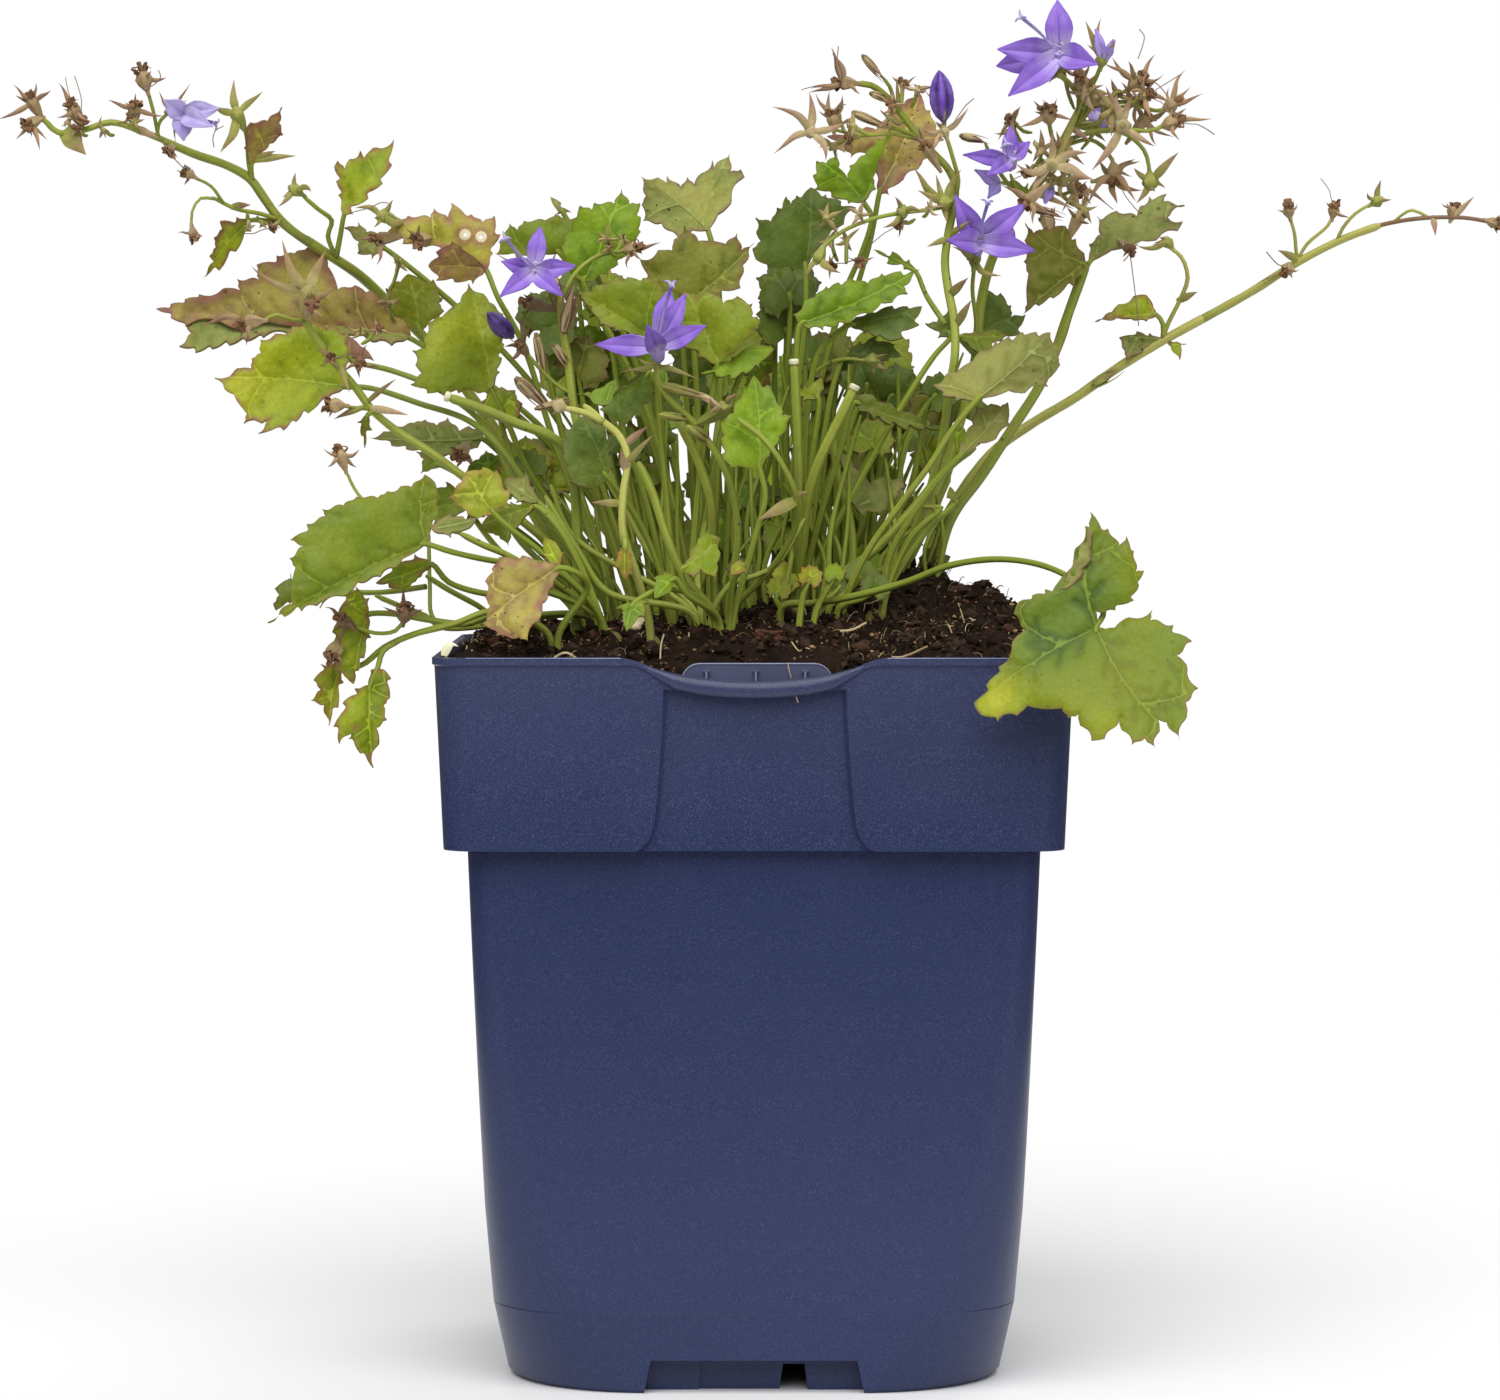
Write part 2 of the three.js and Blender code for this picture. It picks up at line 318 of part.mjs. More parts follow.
    "stems": [
      {"radius": 0.95, "route": [[-34.8, 192.6, -17], [-34.2, 186, -17.6], [-33.2, 180, -18], [-32.4, 173, -19],
        [-30.6, 164, -19], [-27, 152, -16]], "to_root": true},
      {"radius": 0.5, "route": [[-41.6, 182.6, -23], [-38.6, 179, -21], [-35.6, 176, -19.6], [-32.6, 174, -19]]},
      {"radius": 0.6, "route": [[-37.6, 195, -19.4], [-36.4, 193.4, -18.4], [-34.6, 190.6, -17]]},
      {"radius": 0.5, "route": [[-23, 199.6, -12], [-28, 198.6, -14], [-32, 195.4, -16], [-34.4, 191, -17]]}
    ],
    "husks": [
      [[-36.2, 195.4, -16], [-34.6, 189, -17], 1.8], [[-34, 184.6, -17.8], [-32.2, 193, -20.4], 1.9],
      [[-39, 185, -21], [-37.2, 177, -20], 1.2], [[-35.9, 183, -20], [-33.2, 179, -18.6], 1.1],
      [[-42.6, 177, -22], [-37.2, 171.8, -20.6], 1.7], [[-39.2, 171.4, -21.2], [-32.6, 173, -19], 0.9]
    ],
    "calyces": [
      {"at": [-41.4, 182.4, -23], "ovary": 1.2, "tint": "dark", "from": [-40.4, 181, -22],
        "tips": [[-42.7, 189.2, -27], [-38.8, 186.4, -25], [-43.6, 180.6, -26]]},
      {"at": [-38, 195.3, -19.8], "ovary": 0.9, "tint": "dark", "from": [-37.2, 194.6, -19],
        "tips": [[-45.7, 197.3, -17], [-36, 199.4, -16], [-33.4, 194.2, -22]]},
      {"at": [-39.6, 190.2, -20], "ovary": 1.4, "tint": "dark", "from": [-35, 189, -17],
        "tips": [[-41.2, 191.6, -21], [-39.6, 188.4, -23]]},
      {"at": [-22, 199.8, -12], "ovary": 1.4, "tint": "dried", "from": [-23.4, 199.6, -12],
        "tips": [[-20.4, 197.6, -14], [-16.8, 201.6, -12], [-23.4, 197, -14]]}
    ]
  },
  {
    "name": "stem_centre", "plane": -10, "root": [-5, -22], "stump": 2.2,
    "stems": [
      {"radius": 0.75, "route": [[-17.2, 178.4, -34], [-17, 176, -33.6], [-14.6, 172.6, -32.8], [-10, 168, -32],
        [-5, 160, -31], [-3, 150, -28]], "to_root": true},
      {"radius": 0.6, "route": [[-2.8, 169.6, -40.8], [1.4, 166.4, -42], [4.4, 162.6, -42.4], [7.4, 156.4, -39.5],
        [7.6, 151, -34], [5, 145.6, -30], [1, 140.6, -26]], "to_root": true}
    ],
    "husks": [
      [[-16.9, 175.8, -33.7], [-8.2, 173.4, -36], 1.3], [[-12, 168.4, -34.4], [-8, 165.2, -31.7], 1.2],
      [[-17, 170.4, -36], [-11.4, 169.4, -32.2], 1]
    ],
    "blades": [
      [[7.5, 155, -38.3], [0.6, 151.4, -41], 2.2], [[-9.4, 173.8, -35.7], [-5.4, 171.4, -37], 1.2],
      [[7.5, 155.8, -39], [9.8, 156.6, -42], 1.2]
    ],
    "calyces": [
      {"at": [-17.2, 179, -34], "ovary": 0.9, "tint": "green", "from": [-17.1, 177.6, -34],
        "tips": [[-24, 177.8, -37], [-9.8, 176.2, -37], [-14, 180, -29]]},
      {"at": [-5, 171.6, -35], "ovary": 1.6, "tint": "green", "from": [-10.6, 168.4, -32],
        "tips": [[-2.6, 174, -37], [-7.6, 173.6, -38], [-2.6, 168.8, -33], [-8, 169.8, -38]]}
    ]
  },
  {
    "name": "leaves_centre_top", "plane": -10, "root": [-9, 1], "stump": 3,
    "leaves": [
      {"heart": [-34.6, 199.2, -6], "lean": [0.1, 0.2], "tint": "green", "edge": [[-38, 199], [-42.4, 198.2], [-46, 199],
        [-44.6, 202], [-43.6, 204.5], [-42.2, 203.2], [-41, 204.9], [-37.3, 204.9], [-31.3, 205.8], [-30.8, 202.6]]},
      {"heart": [-30.4, 194.2, -9], "lean": [0.1, 0.2], "tint": "bright", "edge": [[-33.8, 196.5], [-34.4, 200.6], [-31, 207.6],
        [-28.9, 206.8], [-28.5, 208.1], [-24.9, 207.9], [-23.6, 210.5], [-22.2, 207.8], [-20.3, 208], [-20.2, 203],
        [-22.4, 199], [-26, 195.4]]},
      {"heart": [-8.2, 203.2, 2], "lean": [0.1, 0.3], "tint": "under", "edge": [[-11, 203.2], [-13.5, 201.8], [-16.5, 204.5],
        [-19.8, 204.8], [-19.2, 209.4], [-20.2, 212.9], [-15.6, 211.6], [-15.5, 212.8], [-13, 210.8], [-11.9, 212.6],
        [-10.6, 211.2], [-7.4, 215.6], [-7.1, 214.3], [-4.2, 217.1], [-4.3, 213.6], [-2.4, 214], [-1.7, 212.6],
        [-6.4, 206]], "way": [[-6.6, 196, 1], [-6, 180, 1]]},
      {"heart": [-11, 191, -10], "lean": [0.1, 0.2], "tint": "olive", "edge": [[-16, 192.5], [-19.5, 194.5], [-20.3, 198],
        [-14.6, 199.6], [-12.4, 204.1], [-10, 201.3], [-5, 200.8], [-3, 202.7], [-2.3, 199.6], [0, 200.9],
        [-2, 197], [-2.4, 193], [-6, 191.2]]},
      {"heart": [-34.2, 206.6, -1], "lean": [0, 0.4], "tint": "under", "edge": [[-35.6, 205.8], [-36.3, 209.1], [-34.4, 208],
        [-32.6, 206.4]]}
    ]
  },
  {
    "name": "leaves_right_top", "plane": 0, "root": [1, 8], "stump": 2.6,
    "leaves": [
      {"heart": [9.3, 196.8, 2], "lean": [0.1, 0.3], "tint": "dark", "edge": [[7, 196.3], [2.5, 196.8], [0.4, 198.3],
        [-0.2, 200.3], [1.3, 201.6], [0.3, 205.8], [3.2, 204.9], [4.2, 207.6], [5.8, 209.6], [6.6, 208.2], [7.7, 209.8],
        [10.3, 211.2], [13, 210], [18.4, 207.6], [14, 203.5], [10.8, 199.5]],
        "way": [[9.4, 190, 2], [8.4, 178, 3], [7, 160, 5]]},
      {"heart": [19.6, 208.8, 9], "lean": [0.1, 0.3], "tint": "bright", "edge": [[17, 208.3], [14, 209.6], [11, 211],
        [10.7, 213.5], [11.3, 216], [13, 215.5], [15.1, 217.4], [15.2, 214.8], [16.9, 212.9], [17.3, 215.2],
        [20, 217], [22.4, 220], [25.7, 223.1], [23.6, 219], [22.2, 215.8], [21.4, 213], [22, 211]],
        "way": [[21.2, 206, 9], [19.4, 199.5, 9], [16.6, 193, 9], [12, 176, 9], [8, 156, 9]]},
      {"heart": [22.6, 210.3, 17], "lean": [0.2, 0.3], "tint": "bronze", "edge": [[22, 214], [21.5, 218.6], [17.5, 216.6],
        [13.2, 220.5], [17, 221.7], [22, 221.5], [24, 224.3], [27, 226.3], [29.8, 228.3], [31.8, 225], [32.7, 221.5],
        [34.2, 219.8], [30.5, 216.2], [27, 212.7], [24.3, 210]], "way": [[21, 202, 16], [17, 188, 15], [11, 166, 12]]}
    ]
  },
  {
    "name": "leaves_right_mid", "plane": 0, "root": [7, -5], "stump": 3,
    "leaves": [
      {"heart": [8.4, 186.8, -16], "lean": [0.1, 0.3], "tint": "bright", "edge": [[7, 188.4], [11, 191.5], [13, 193.5],
        [17.5, 194.8], [20.5, 194], [23, 195.8], [29.9, 196.5], [27, 193.5], [27.7, 192.1], [23, 190.5], [17.5, 187],
        [12.5, 185.6]], "way": [[7.6, 180, -15], [8, 166, -12]]},
      {"heart": [17.3, 186.6, -11], "lean": [0.1, 0.3], "tint": "dark", "edge": [[21, 189.4], [25, 190], [30.3, 189.8],
        [29.8, 186.6], [26.8, 184.2], [24.5, 183.7], [20, 185]], "way": [[12, 182, -10], [9.6, 170, -8]]},
      {"heart": [29.2, 196.2, -9], "lean": [-0.1, 0.3], "tint": "bright", "edge": [[27, 196.6], [24, 197.6], [21.6, 200.1],
        [25, 199.8], [28, 198.3]], "way": [[31, 192, -9], [33.6, 188, -9]], "joins": [34.6, 186.6, -10]},
      {"heart": [35.6, 184.6, -10.5], "lean": [0, 0.4], "tint": "dark", "edge": [[33.2, 184.2], [30.9, 186.8], [33, 187],
        [35, 189.1], [36, 187]], "way": [[32.6, 181, -10], [27, 172.4, -10], [20, 160, -9], [12.4, 145.6, -7]]},
      {"heart": [16.8, 181.6, -8], "lean": [0, 0.3], "tint": "dark", "edge": [[19, 183.6], [22, 184.6], [25.4, 183],
        [26.6, 180.8], [22, 179.6], [18.6, 179.8]], "way": [[14.4, 176, -8]]},
      {"heart": [11.6, 173.4, -15], "lean": [0, 0.3], "tint": "green", "edge": [[9, 172.8], [6.8, 174.2], [9, 175.8],
        [12.2, 177], [12.6, 175]], "way": [[10.4, 162, -13]]},
      {"heart": [18.2, 172.6, -16], "lean": [0.2, 0.4], "tint": "dark", "edge": [[18.8, 174.8], [21.6, 173.8], [26, 171],
        [33.5, 167.6], [27.6, 167.6], [21.6, 169.4]], "way": [[15.6, 164, -14.6], [12, 152, -11]]},
      {"heart": [16.2, 164.4, -3], "lean": [0.1, 0.3], "tint": "under", "edge": [[18, 161], [21, 158], [27.2, 159.6],
        [27.2, 157], [23.5, 153], [20, 152], [17, 154], [15.5, 158.6]], "way": [[12.6, 156, -4]]}
    ],
    "stems": [
      {"radius": 1.05, "route": [[7.2, 180, -20.4], [7.6, 172, -20], [8, 160, -18], [8, 148, -13]], "to_root": true},
      {"radius": 1.1, "route": [[18.2, 175.4, -20.4], [15.4, 169.6, -20], [12, 162.6, -19], [9.8, 156, -17],
        [8.6, 146.6, -12]], "to_root": true}
    ]
  },
  {
    "name": "stem_right_bud", "plane": 0, "root": [19.5, -3], "stump": 2.2,
    "stems": [
      {"radius": 0.9, "route": [[34.6, 215, -8], [36, 212.6, -8], [36.1, 209, -8], [35, 203, -8.6], [34.4, 198, -9.4],
        [35, 193, -11], [36.1, 187, -14], [36.2, 181, -16.5], [35.2, 175, -16], [34, 166, -12], [30.5, 153, -8],
        [25.6, 143.4, -5]], "to_root": true},
      {"radius": 0.7, "route": [[18, 229.9, -12], [21, 229.6, -11], [24, 227.4, -10], [27, 223.8, -9],
        [30.6, 219.2, -8.4], [34.6, 215, -8], [35.6, 213.4, -8]]},
      {"radius": 0.5, "route": [[34.4, 221.2, -13], [35.8, 216.6, -11.6], [36.8, 212.4, -9.6], [36.2, 209.4, -8]]},
      {"radius": 0.45, "route": [[22.8, 231.4, -13], [24.4, 229.4, -12], [25.4, 226, -10]]},
      {"radius": 0.5, "route": [[23.6, 222.2, -12], [26.2, 221.6, -10.6], [29.6, 220.2, -8.6]]},
      {"radius": 0.5, "route": [[11, 198, -15], [12.6, 200.6, -15], [16, 203.4, -14.6], [21.4, 205.6, -14],
        [26, 206.6, -12.6], [31, 207.2, -11], [35.6, 208, -8.4]]},
      {"radius": 0.4, "route": [[10, 221, -17], [14, 221.6, -15.6], [19, 220.6, -13], [25, 220.8, -11], [30, 219.8, -8.6]]}
    ],
    "husks": [
      [[19.4, 235, -14], [23, 231.2, -13], 1], [[17.6, 224.8, -13], [23.8, 222.2, -12], 1.2],
      [[20.8, 228.2, -12], [24.4, 227, -10], 1]
    ],
    "blades": [
      [[35, 202, -8.8], [31.2, 200.6, -12], 1.2], [[35.2, 202.6, -8.8], [39, 205.2, -12], 1.2],
      [[26.2, 224.8, -9.6], [25.6, 231, -12], 0.9], [[35.3, 191.8, -11.6], [38.6, 195, -15], 1.6],
      [[36.6, 186.6, -14.4], [39.2, 191, -17], 1.6]
    ],
    "calyces": [
      {"at": [16.2, 230, -12.4], "ovary": 1.4, "tint": "dried", "from": [18.6, 229.9, -12],
        "tips": [[9.8, 230.2, -14], [13.4, 235, -12], [15, 236.6, -16], [10.8, 229, -9], [18, 227.6, -15]]},
      {"at": [34.3, 221.4, -13.2], "ovary": 1.3, "tint": "green", "from": [34.7, 220.2, -12.8],
        "tips": [[29.4, 228.2, -8], [38.8, 226.4, -9], [32.6, 217.6, -15]]},
      {"at": [34.2, 208.6, -11], "ovary": 1.6, "tint": "green", "from": [35.8, 209.4, -8.4],
        "tips": [[33, 213.6, -11], [29.4, 211, -13], [37.6, 214, -14], [30.2, 215.6, -14]]},
      {"at": [26.8, 206.9, -13], "ovary": 1.4, "tint": "green", "from": [27.6, 206.9, -12],
        "tips": [[25.4, 209.4, -15], [30.6, 206.2, -16], [23, 204.6, -15]]},
      {"at": [10.2, 221.2, -17], "ovary": 1.3, "tint": "rosy", "from": [11.6, 221.4, -16.4],
        "tips": [[2.9, 225, -18], [9.8, 228.2, -18], [4.1, 216.2, -19], [12.5, 215.9, -20], [16.8, 223.4, -18]]},
      {"at": [11.6, 198.6, -15], "ovary": 1.3, "tint": "green", "from": [12.6, 200.6, -15],
        "tips": [[15.8, 196, -17], [9.6, 194.6, -16]]},
      {"at": [14.2, 223.6, -16], "ovary": 1.2, "tint": "dried", "from": [14.4, 221.6, -15.5],
        "tips": [[10.6, 226.8, -18], [14.1, 228.6, -16]]}
    ]
  },
  {
    "name": "stem_right_blooms", "plane": 0, "root": [26, 6], "stump": 2.4,
    "stems": [
      {"radius": 1, "route": [[58.8, 225.4, 4], [56.6, 221.4, 4], [53.6, 215.8, 4], [50, 210.4, 4], [46, 204.6, 4],
        [42.6, 197.6, 4], [40.8, 190, 4], [40, 181, 4], [38, 172, 4], [35.4, 163.6, 5], [32.2, 154.8, 6],
        [29, 146.6, 6]], "to_root": true},
      {"radius": 0.6, "route": [[54.8, 231.6, -2], [57.2, 229.4, 1], [58.6, 227.2, 3], [58.4, 224.6, 4]]},
      {"radius": 0.5, "route": [[62.6, 233.6, 0], [61.4, 230.6, 2], [59.6, 227.6, 4], [58, 224, 4]]},
      {"radius": 0.5, "route": [[68.6, 229.4, 2], [65.6, 228, 3], [61.6, 226.6, 4], [58, 223.6, 4]]},
      {"radius": 0.5, "route": [[74.6, 225.6, 4], [72.6, 225, 4], [66.6, 226.6, 4], [61, 225.6, 4], [57.4, 222.6, 4]]},
      {"radius": 0.5, "route": [[74.6, 222.6, 1], [71, 221.4, 0], [66.4, 221.8, 0], [60.6, 221.2, 2], [56, 219.4, 4]]},
      {"radius": 0.5, "route": [[71.4, 213.8, 3], [70.2, 218, 4], [66, 221.2, 5], [60.6, 221, 5], [56.4, 219.8, 4]]},
      {"radius": 0.5, "route": [[64.8, 215.4, 8], [63.4, 218, 8], [60.6, 219.8, 7], [56, 218.8, 4]]},
      {"radius": 0.5, "route": [[57.6, 212, 9], [56, 214.8, 7.6], [53.7, 215.9, 4]]},
      {"radius": 0.5, "route": [[39.8, 197.6, -4], [39.4, 193, -2], [40, 188, 1], [40.4, 183, 3.6]]},
      {"radius": 0.5, "route": [[46.2, 213.6, -2], [47, 211.6, 0], [48.6, 209, 3.6]]},
      {"radius": 0.5, "route": [[53, 223.6, -4], [53.6, 220.6, -1], [54.6, 218.4, 3.4]]},
      {"radius": 0.5, "route": [[41.6, 219.4, -5], [43, 216, -2.4], [46, 211.6, 0.4], [48.6, 209, 3.6]]}
    ],
    "leaves": [
      {"heart": [41, 184, 9], "lean": [0.1, 0.3], "tint": "dark", "edge": [[40.2, 187.6], [41, 193.2], [44.5, 192.3],
        [46.4, 190], [46.4, 188], [49, 188.4], [48.2, 185], [45, 183.2]], "way": [], "joins": [40, 181.4, 5]},
      {"heart": [49.4, 209.6, 1], "lean": [-0.2, 0.3], "tint": "green", "edge": [[46.6, 210.6], [43.8, 212.2], [46.4, 212.8],
        [49.4, 212]], "way": [], "joins": [50, 210.4, 3.6]}
    ],
    "husks": [
      [[37, 220.6, -6], [41.8, 219.4, -5], 1.1], [[48.4, 208.2, 3.8], [55.6, 206, -1], 1]
    ],
    "blades": [
      [[58.6, 226, 3.4], [52.6, 210.2, -2], 1.2], [[50, 210.4, 3.6], [57.6, 207.4, 0], 1.2],
      [[57, 222, 3.4], [60.6, 219.4, 0], 1.2]
    ],
    "calyces": [
      {"at": [54.4, 232, -2.4], "ovary": 1.1, "tint": "green", "from": [55.4, 231, -1.4],
        "tips": [[58.8, 232.6, -7], [52.6, 231, -8]]},
      {"at": [62.6, 234.2, 0], "ovary": 1.3, "tint": "green", "from": [62.4, 232.8, 0.4],
        "tips": [[59.6, 241, -1], [62.7, 241.4, 2], [64.4, 238.2, -3]]},
      {"at": [59, 230.4, -1], "ovary": 1.4, "tint": "dried", "from": [59.8, 227.9, 3.6],
        "tips": [[60.6, 233, -4], [56.8, 233.2, -5], [57.4, 226.4, -6]]},
      {"at": [69, 230, 1], "ovary": 1.7, "tint": "dried", "from": [67.4, 228.8, 2.4],
        "tips": [[62.7, 232.2, -1], [65.2, 235, 0], [68, 234.6, -2], [71.4, 235.8, 2], [73.4, 229.8, -2]]},
      {"at": [75, 226, 4], "ovary": 1.5, "tint": "dried", "from": [73.6, 225.2, 4],
        "tips": [[76, 232.6, 4], [80.3, 228.6, 2], [78.4, 228.4, 7]]},
      {"at": [75.2, 222.8, 0], "ovary": 1.6, "tint": "dried", "from": [73.4, 222.2, 0.6],
        "tips": [[82.4, 222.4, -1], [78, 225.2, -2], [77.4, 219.8, -4]]},
      {"at": [66.4, 222.2, -1], "ovary": 1.7, "tint": "rosy", "from": [66.4, 221.8, 1],
        "tips": [[60.8, 215.2, -4], [62.2, 228.6, -3], [68.6, 227.8, -3], [72, 218.8, -4]]},
      {"at": [71.4, 212.2, 3], "ovary": 1.7, "tint": "green", "from": [71.2, 214.2, 3.4],
        "tips": [[76.4, 217.6, 2], [68.6, 214.8, 0], [68.8, 208.6, 2]]},
      {"at": [64.9, 214, 8], "ovary": 1.6, "tint": "dried", "from": [64.6, 215.8, 8],
        "tips": [[60.4, 207.2, 7], [68.6, 207.8, 6], [69.6, 215, 6]]},
      {"at": [57.7, 211, 9.4], "ovary": 1.5, "tint": "dried", "from": [57.4, 212.6, 9],
        "tips": [[50.6, 210.2, 8], [63, 207.4, 9], [58.8, 206.2, 7]]},
      {"at": [53.6, 215.4, -3], "ovary": 1.6, "tint": "rosy", "from": [53.4, 215.8, 3.4],
        "tips": [[53, 221, -6], [47.2, 215.8, -6], [50.6, 210.4, -7], [60.2, 211.6, -7], [60, 217.2, -6]]},
      {"at": [53, 224.4, -4.4], "ovary": 1.7, "tint": "dried", "from": [53.2, 222.6, -3],
        "tips": [[50.6, 227, -5], [48, 222.6, -7], [57, 223, -8], [54.8, 226.8, -3]]},
      {"at": [39.8, 198.2, -4.2], "ovary": 1.2, "tint": "green", "from": [39.6, 196.8, -4],
        "tips": [[35.2, 200.4, -8], [45.6, 196.2, -9]]},
      {"at": [60.6, 222.2, 7.6], "ovary": 1, "tint": "green", "from": [57.8, 222.4, 4.6],
        "tips": [[63.4, 219.8, 6.4], [59.2, 224.8, 8]]}
    ]
  },
  {
    "name": "stem_right_leafy", "plane": 0, "root": [32, 16], "stump": 2.4,
    "stems": [
      {"radius": 1.1, "route": [[60, 198, 18], [58.6, 194, 18], [56.6, 188.4, 18], [54.6, 182.4, 18], [51.4, 175.4, 18],
        [46.4, 167.6, 18], [40.6, 158.8, 18], [35.4, 151.4, 17]], "to_root": true}
    ],
    "leaves": [
      {"heart": [59.6, 197.6, 16], "lean": [0.2, 0.3], "tint": "olive", "edge": [[58, 202], [56, 204.3], [54, 204.1],
        [50.3, 203], [48.9, 204.8], [49.6, 200], [48.7, 198], [49.5, 195.8], [49.3, 190.3], [48.7, 188.6],
        [54, 191.3], [57.8, 193.4]], "way": [], "joins": [58.8, 194.6, 18]},
      {"heart": [60.6, 198, 19], "lean": [0.2, 0.5], "tint": "under", "edge": [[60.4, 201], [62.6, 202.8], [61.8, 206.1],
        [65.3, 207], [69, 206], [71.2, 209.6], [74.3, 210], [73.5, 208.6], [77.6, 208], [72.5, 205.6], [77.2, 205.2],
        [76.4, 203.5], [70, 201.7], [64.5, 200]], "way": [], "joins": [59.2, 195.4, 18]}
    ],
    "calyces": [
      {"at": [67.7, 200.2, 15], "ovary": 1.1, "tint": "dried", "from": [65.8, 201.8, 22.2], "tips": [[67.2, 202, 13]]},
      {"at": [58.4, 205.6, 20], "ovary": 1.3, "tint": "dried", "from": [56.6, 201.8, 16.9],
        "tips": [[61, 204.8, 17], [56.4, 208, 19]]},
      {"at": [53, 205.4, 20], "ovary": 1.5, "tint": "dried", "from": [53.4, 203, 16.4],
        "tips": [[51, 203.4, 16.6], [53.8, 208, 18]]}
    ]
  },
  {
    "name": "stem_right_long", "plane": 0, "root": [28.5, 27], "stump": 2.4,
    "stems": [
      {"radius": 1.05, "route": [[82, 188.2, 22], [74, 183.8, 24], [66, 179, 26], [58, 173.4, 28], [50, 168.6, 30],
        [43, 163.4, 31], [37, 155.6, 31], [32, 146.4, 30]], "to_root": true},
      {"radius": 0.85, "route": [[113, 204.5, 10], [106, 201.9, 13], [98, 197.8, 16], [90, 192.7, 19], [82, 188.2, 22],
        [79, 186.6, 22.9]]},
      {"radius": 0.5, "route": [[133, 205, 4], [128, 205.8, 5], [120, 205.7, 7], [113, 204.5, 10], [110.6, 203.6, 11]]},
      {"radius": 0.4, "route": [[96.4, 206.4, 12], [97.4, 203, 14], [97.7, 200, 15.6], [98, 197.8, 16]]},
      {"radius": 0.4, "route": [[104.4, 206.4, 12], [103.4, 204.4, 12.6], [99.6, 201, 14.6], [97.8, 197.8, 16]]},
      {"radius": 0.4, "route": [[111.8, 208.6, 9], [108.4, 206.6, 10.6], [106, 203.8, 12], [105, 201.4, 13.4]]},
      {"radius": 0.5, "route": [[74.4, 200.8, 18], [77, 198.8, 18], [78.2, 195, 19], [76.8, 191, 20.6],
        [74.8, 187, 22.6], [73.6, 183.8, 24]]},
      {"radius": 0.35, "route": [[115, 205, 9.4], [118.6, 207.2, 7], [121.4, 205.9, 6.8]]}
    ],
    "leaves": [
      {"heart": [72.6, 188.4, 21], "lean": [0.1, 0.5], "tint": "fresh", "edge": [[71.9, 190.2], [70.6, 191.9], [68.4, 191.6],
        [64.5, 188.8], [61.5, 187.1], [65.5, 187.8], [68, 187.7], [70.8, 187.2]], "way": [[73.8, 186.6, 22.6]],
        "joins": [73.8, 183.8, 24]},
      {"heart": [73.6, 183.8, 24.6], "lean": [0, 0.5], "tint": "under", "edge": [[71.4, 185], [69, 185.3], [65.9, 184.3],
        [66.9, 182], [67.2, 180], [70.6, 182.4]], "bare": true},
      {"heart": [74.2, 183.8, 23.4], "lean": [0.1, 0.3], "tint": "fresh", "edge": [[75.6, 183.4], [78, 183.1], [76.8, 180.2],
        [75.2, 182.6]], "bare": true}
    ],
    "husks": [[[61, 175.6, 25.4], [65.4, 178.4, 25.2], 1.5]],
    "blades": [
      [[76.8, 191, 20.6], [80, 192.5, 18], 1.5], [[98, 198.2, 15.6], [94.4, 200, 13], 1.5],
      [[97, 196.8, 16], [90.6, 194, 17], 0.9], [[126, 205.8, 5.6], [129.7, 209.6, 4], 1.1],
      [[122.4, 205.7, 6.4], [122.8, 202.6, 4], 1.2]
    ],
    "calyces": [
      {"at": [96.3, 207.1, 12], "ovary": 1.2, "tint": "dried", "from": [96.6, 205.8, 12.4], "tips": [[97, 208.6, 10]]},
      {"at": [104.5, 207.2, 12], "ovary": 1.2, "tint": "dried", "from": [104.2, 205.8, 12.2],
        "tips": [[105.6, 209.4, 11], [108, 206.2, 9.6]]},
      {"at": [112.3, 208.8, 9], "ovary": 1.2, "tint": "green", "from": [111.2, 208.2, 9.4],
        "tips": [[110.9, 210.4, 7], [114.6, 208.8, 7], [113.4, 212.4, 8]]},
      {"at": [96.2, 196.6, 13.8], "ovary": 1.4, "tint": "dried", "from": [96.8, 197.2, 16],
        "tips": [[97.8, 195.4, 11], [95, 195.6, 11]]},
      {"at": [126, 206.9, 6], "ovary": 1.3, "tint": "dried", "from": [125.6, 205.6, 5.8], "tips": [[123.6, 207.4, 4]]},
      {"at": [133.3, 204.9, 3.6], "ovary": 1.1, "tint": "dried", "from": [132, 205.3, 4.2],
        "tips": [[133.9, 206.4, 2], [134, 203, 3]]},
      {"at": [74.6, 201.4, 18], "ovary": 1.2, "tint": "green", "from": [75.4, 200.4, 18],
        "tips": [[71.6, 200.8, 15], [69, 201, 16]]}
    ]
  },
  {
    "name": "leaf_right_grey", "plane": 0, "root": [14.5, -17], "stump": 2.2,
    "leaves": [
      {"heart": [40.3, 173.2, -24], "lean": [0.1, 0.25], "tint": "under", "edge": [[36.5, 172.8], [34, 173.8], [32.3, 175.7],
        [36.5, 178], [39.5, 180], [43.5, 183.5], [48.5, 185.2], [53.5, 185.2], [54.7, 181], [55.2, 179.4], [53, 175.4],
        [46, 174.7]], "way": [[36, 168, -24], [31.8, 161.4, -23.6], [26.6, 154.4, -22.6], [20.4, 145.4, -20]]}
    ]
  },
  {
    "name": "leaves_right_low", "plane": 0, "root": [21.5, -14], "stump": 2.4,
    "leaves": [
      {"heart": [37.2, 163, -20], "lean": [0.1, 0.2], "tint": "under", "edge": [[37, 165.4], [39.6, 168.6], [40, 172],
        [44.5, 171.8], [45.8, 172.6], [47.1, 168.5], [41, 165.2]],
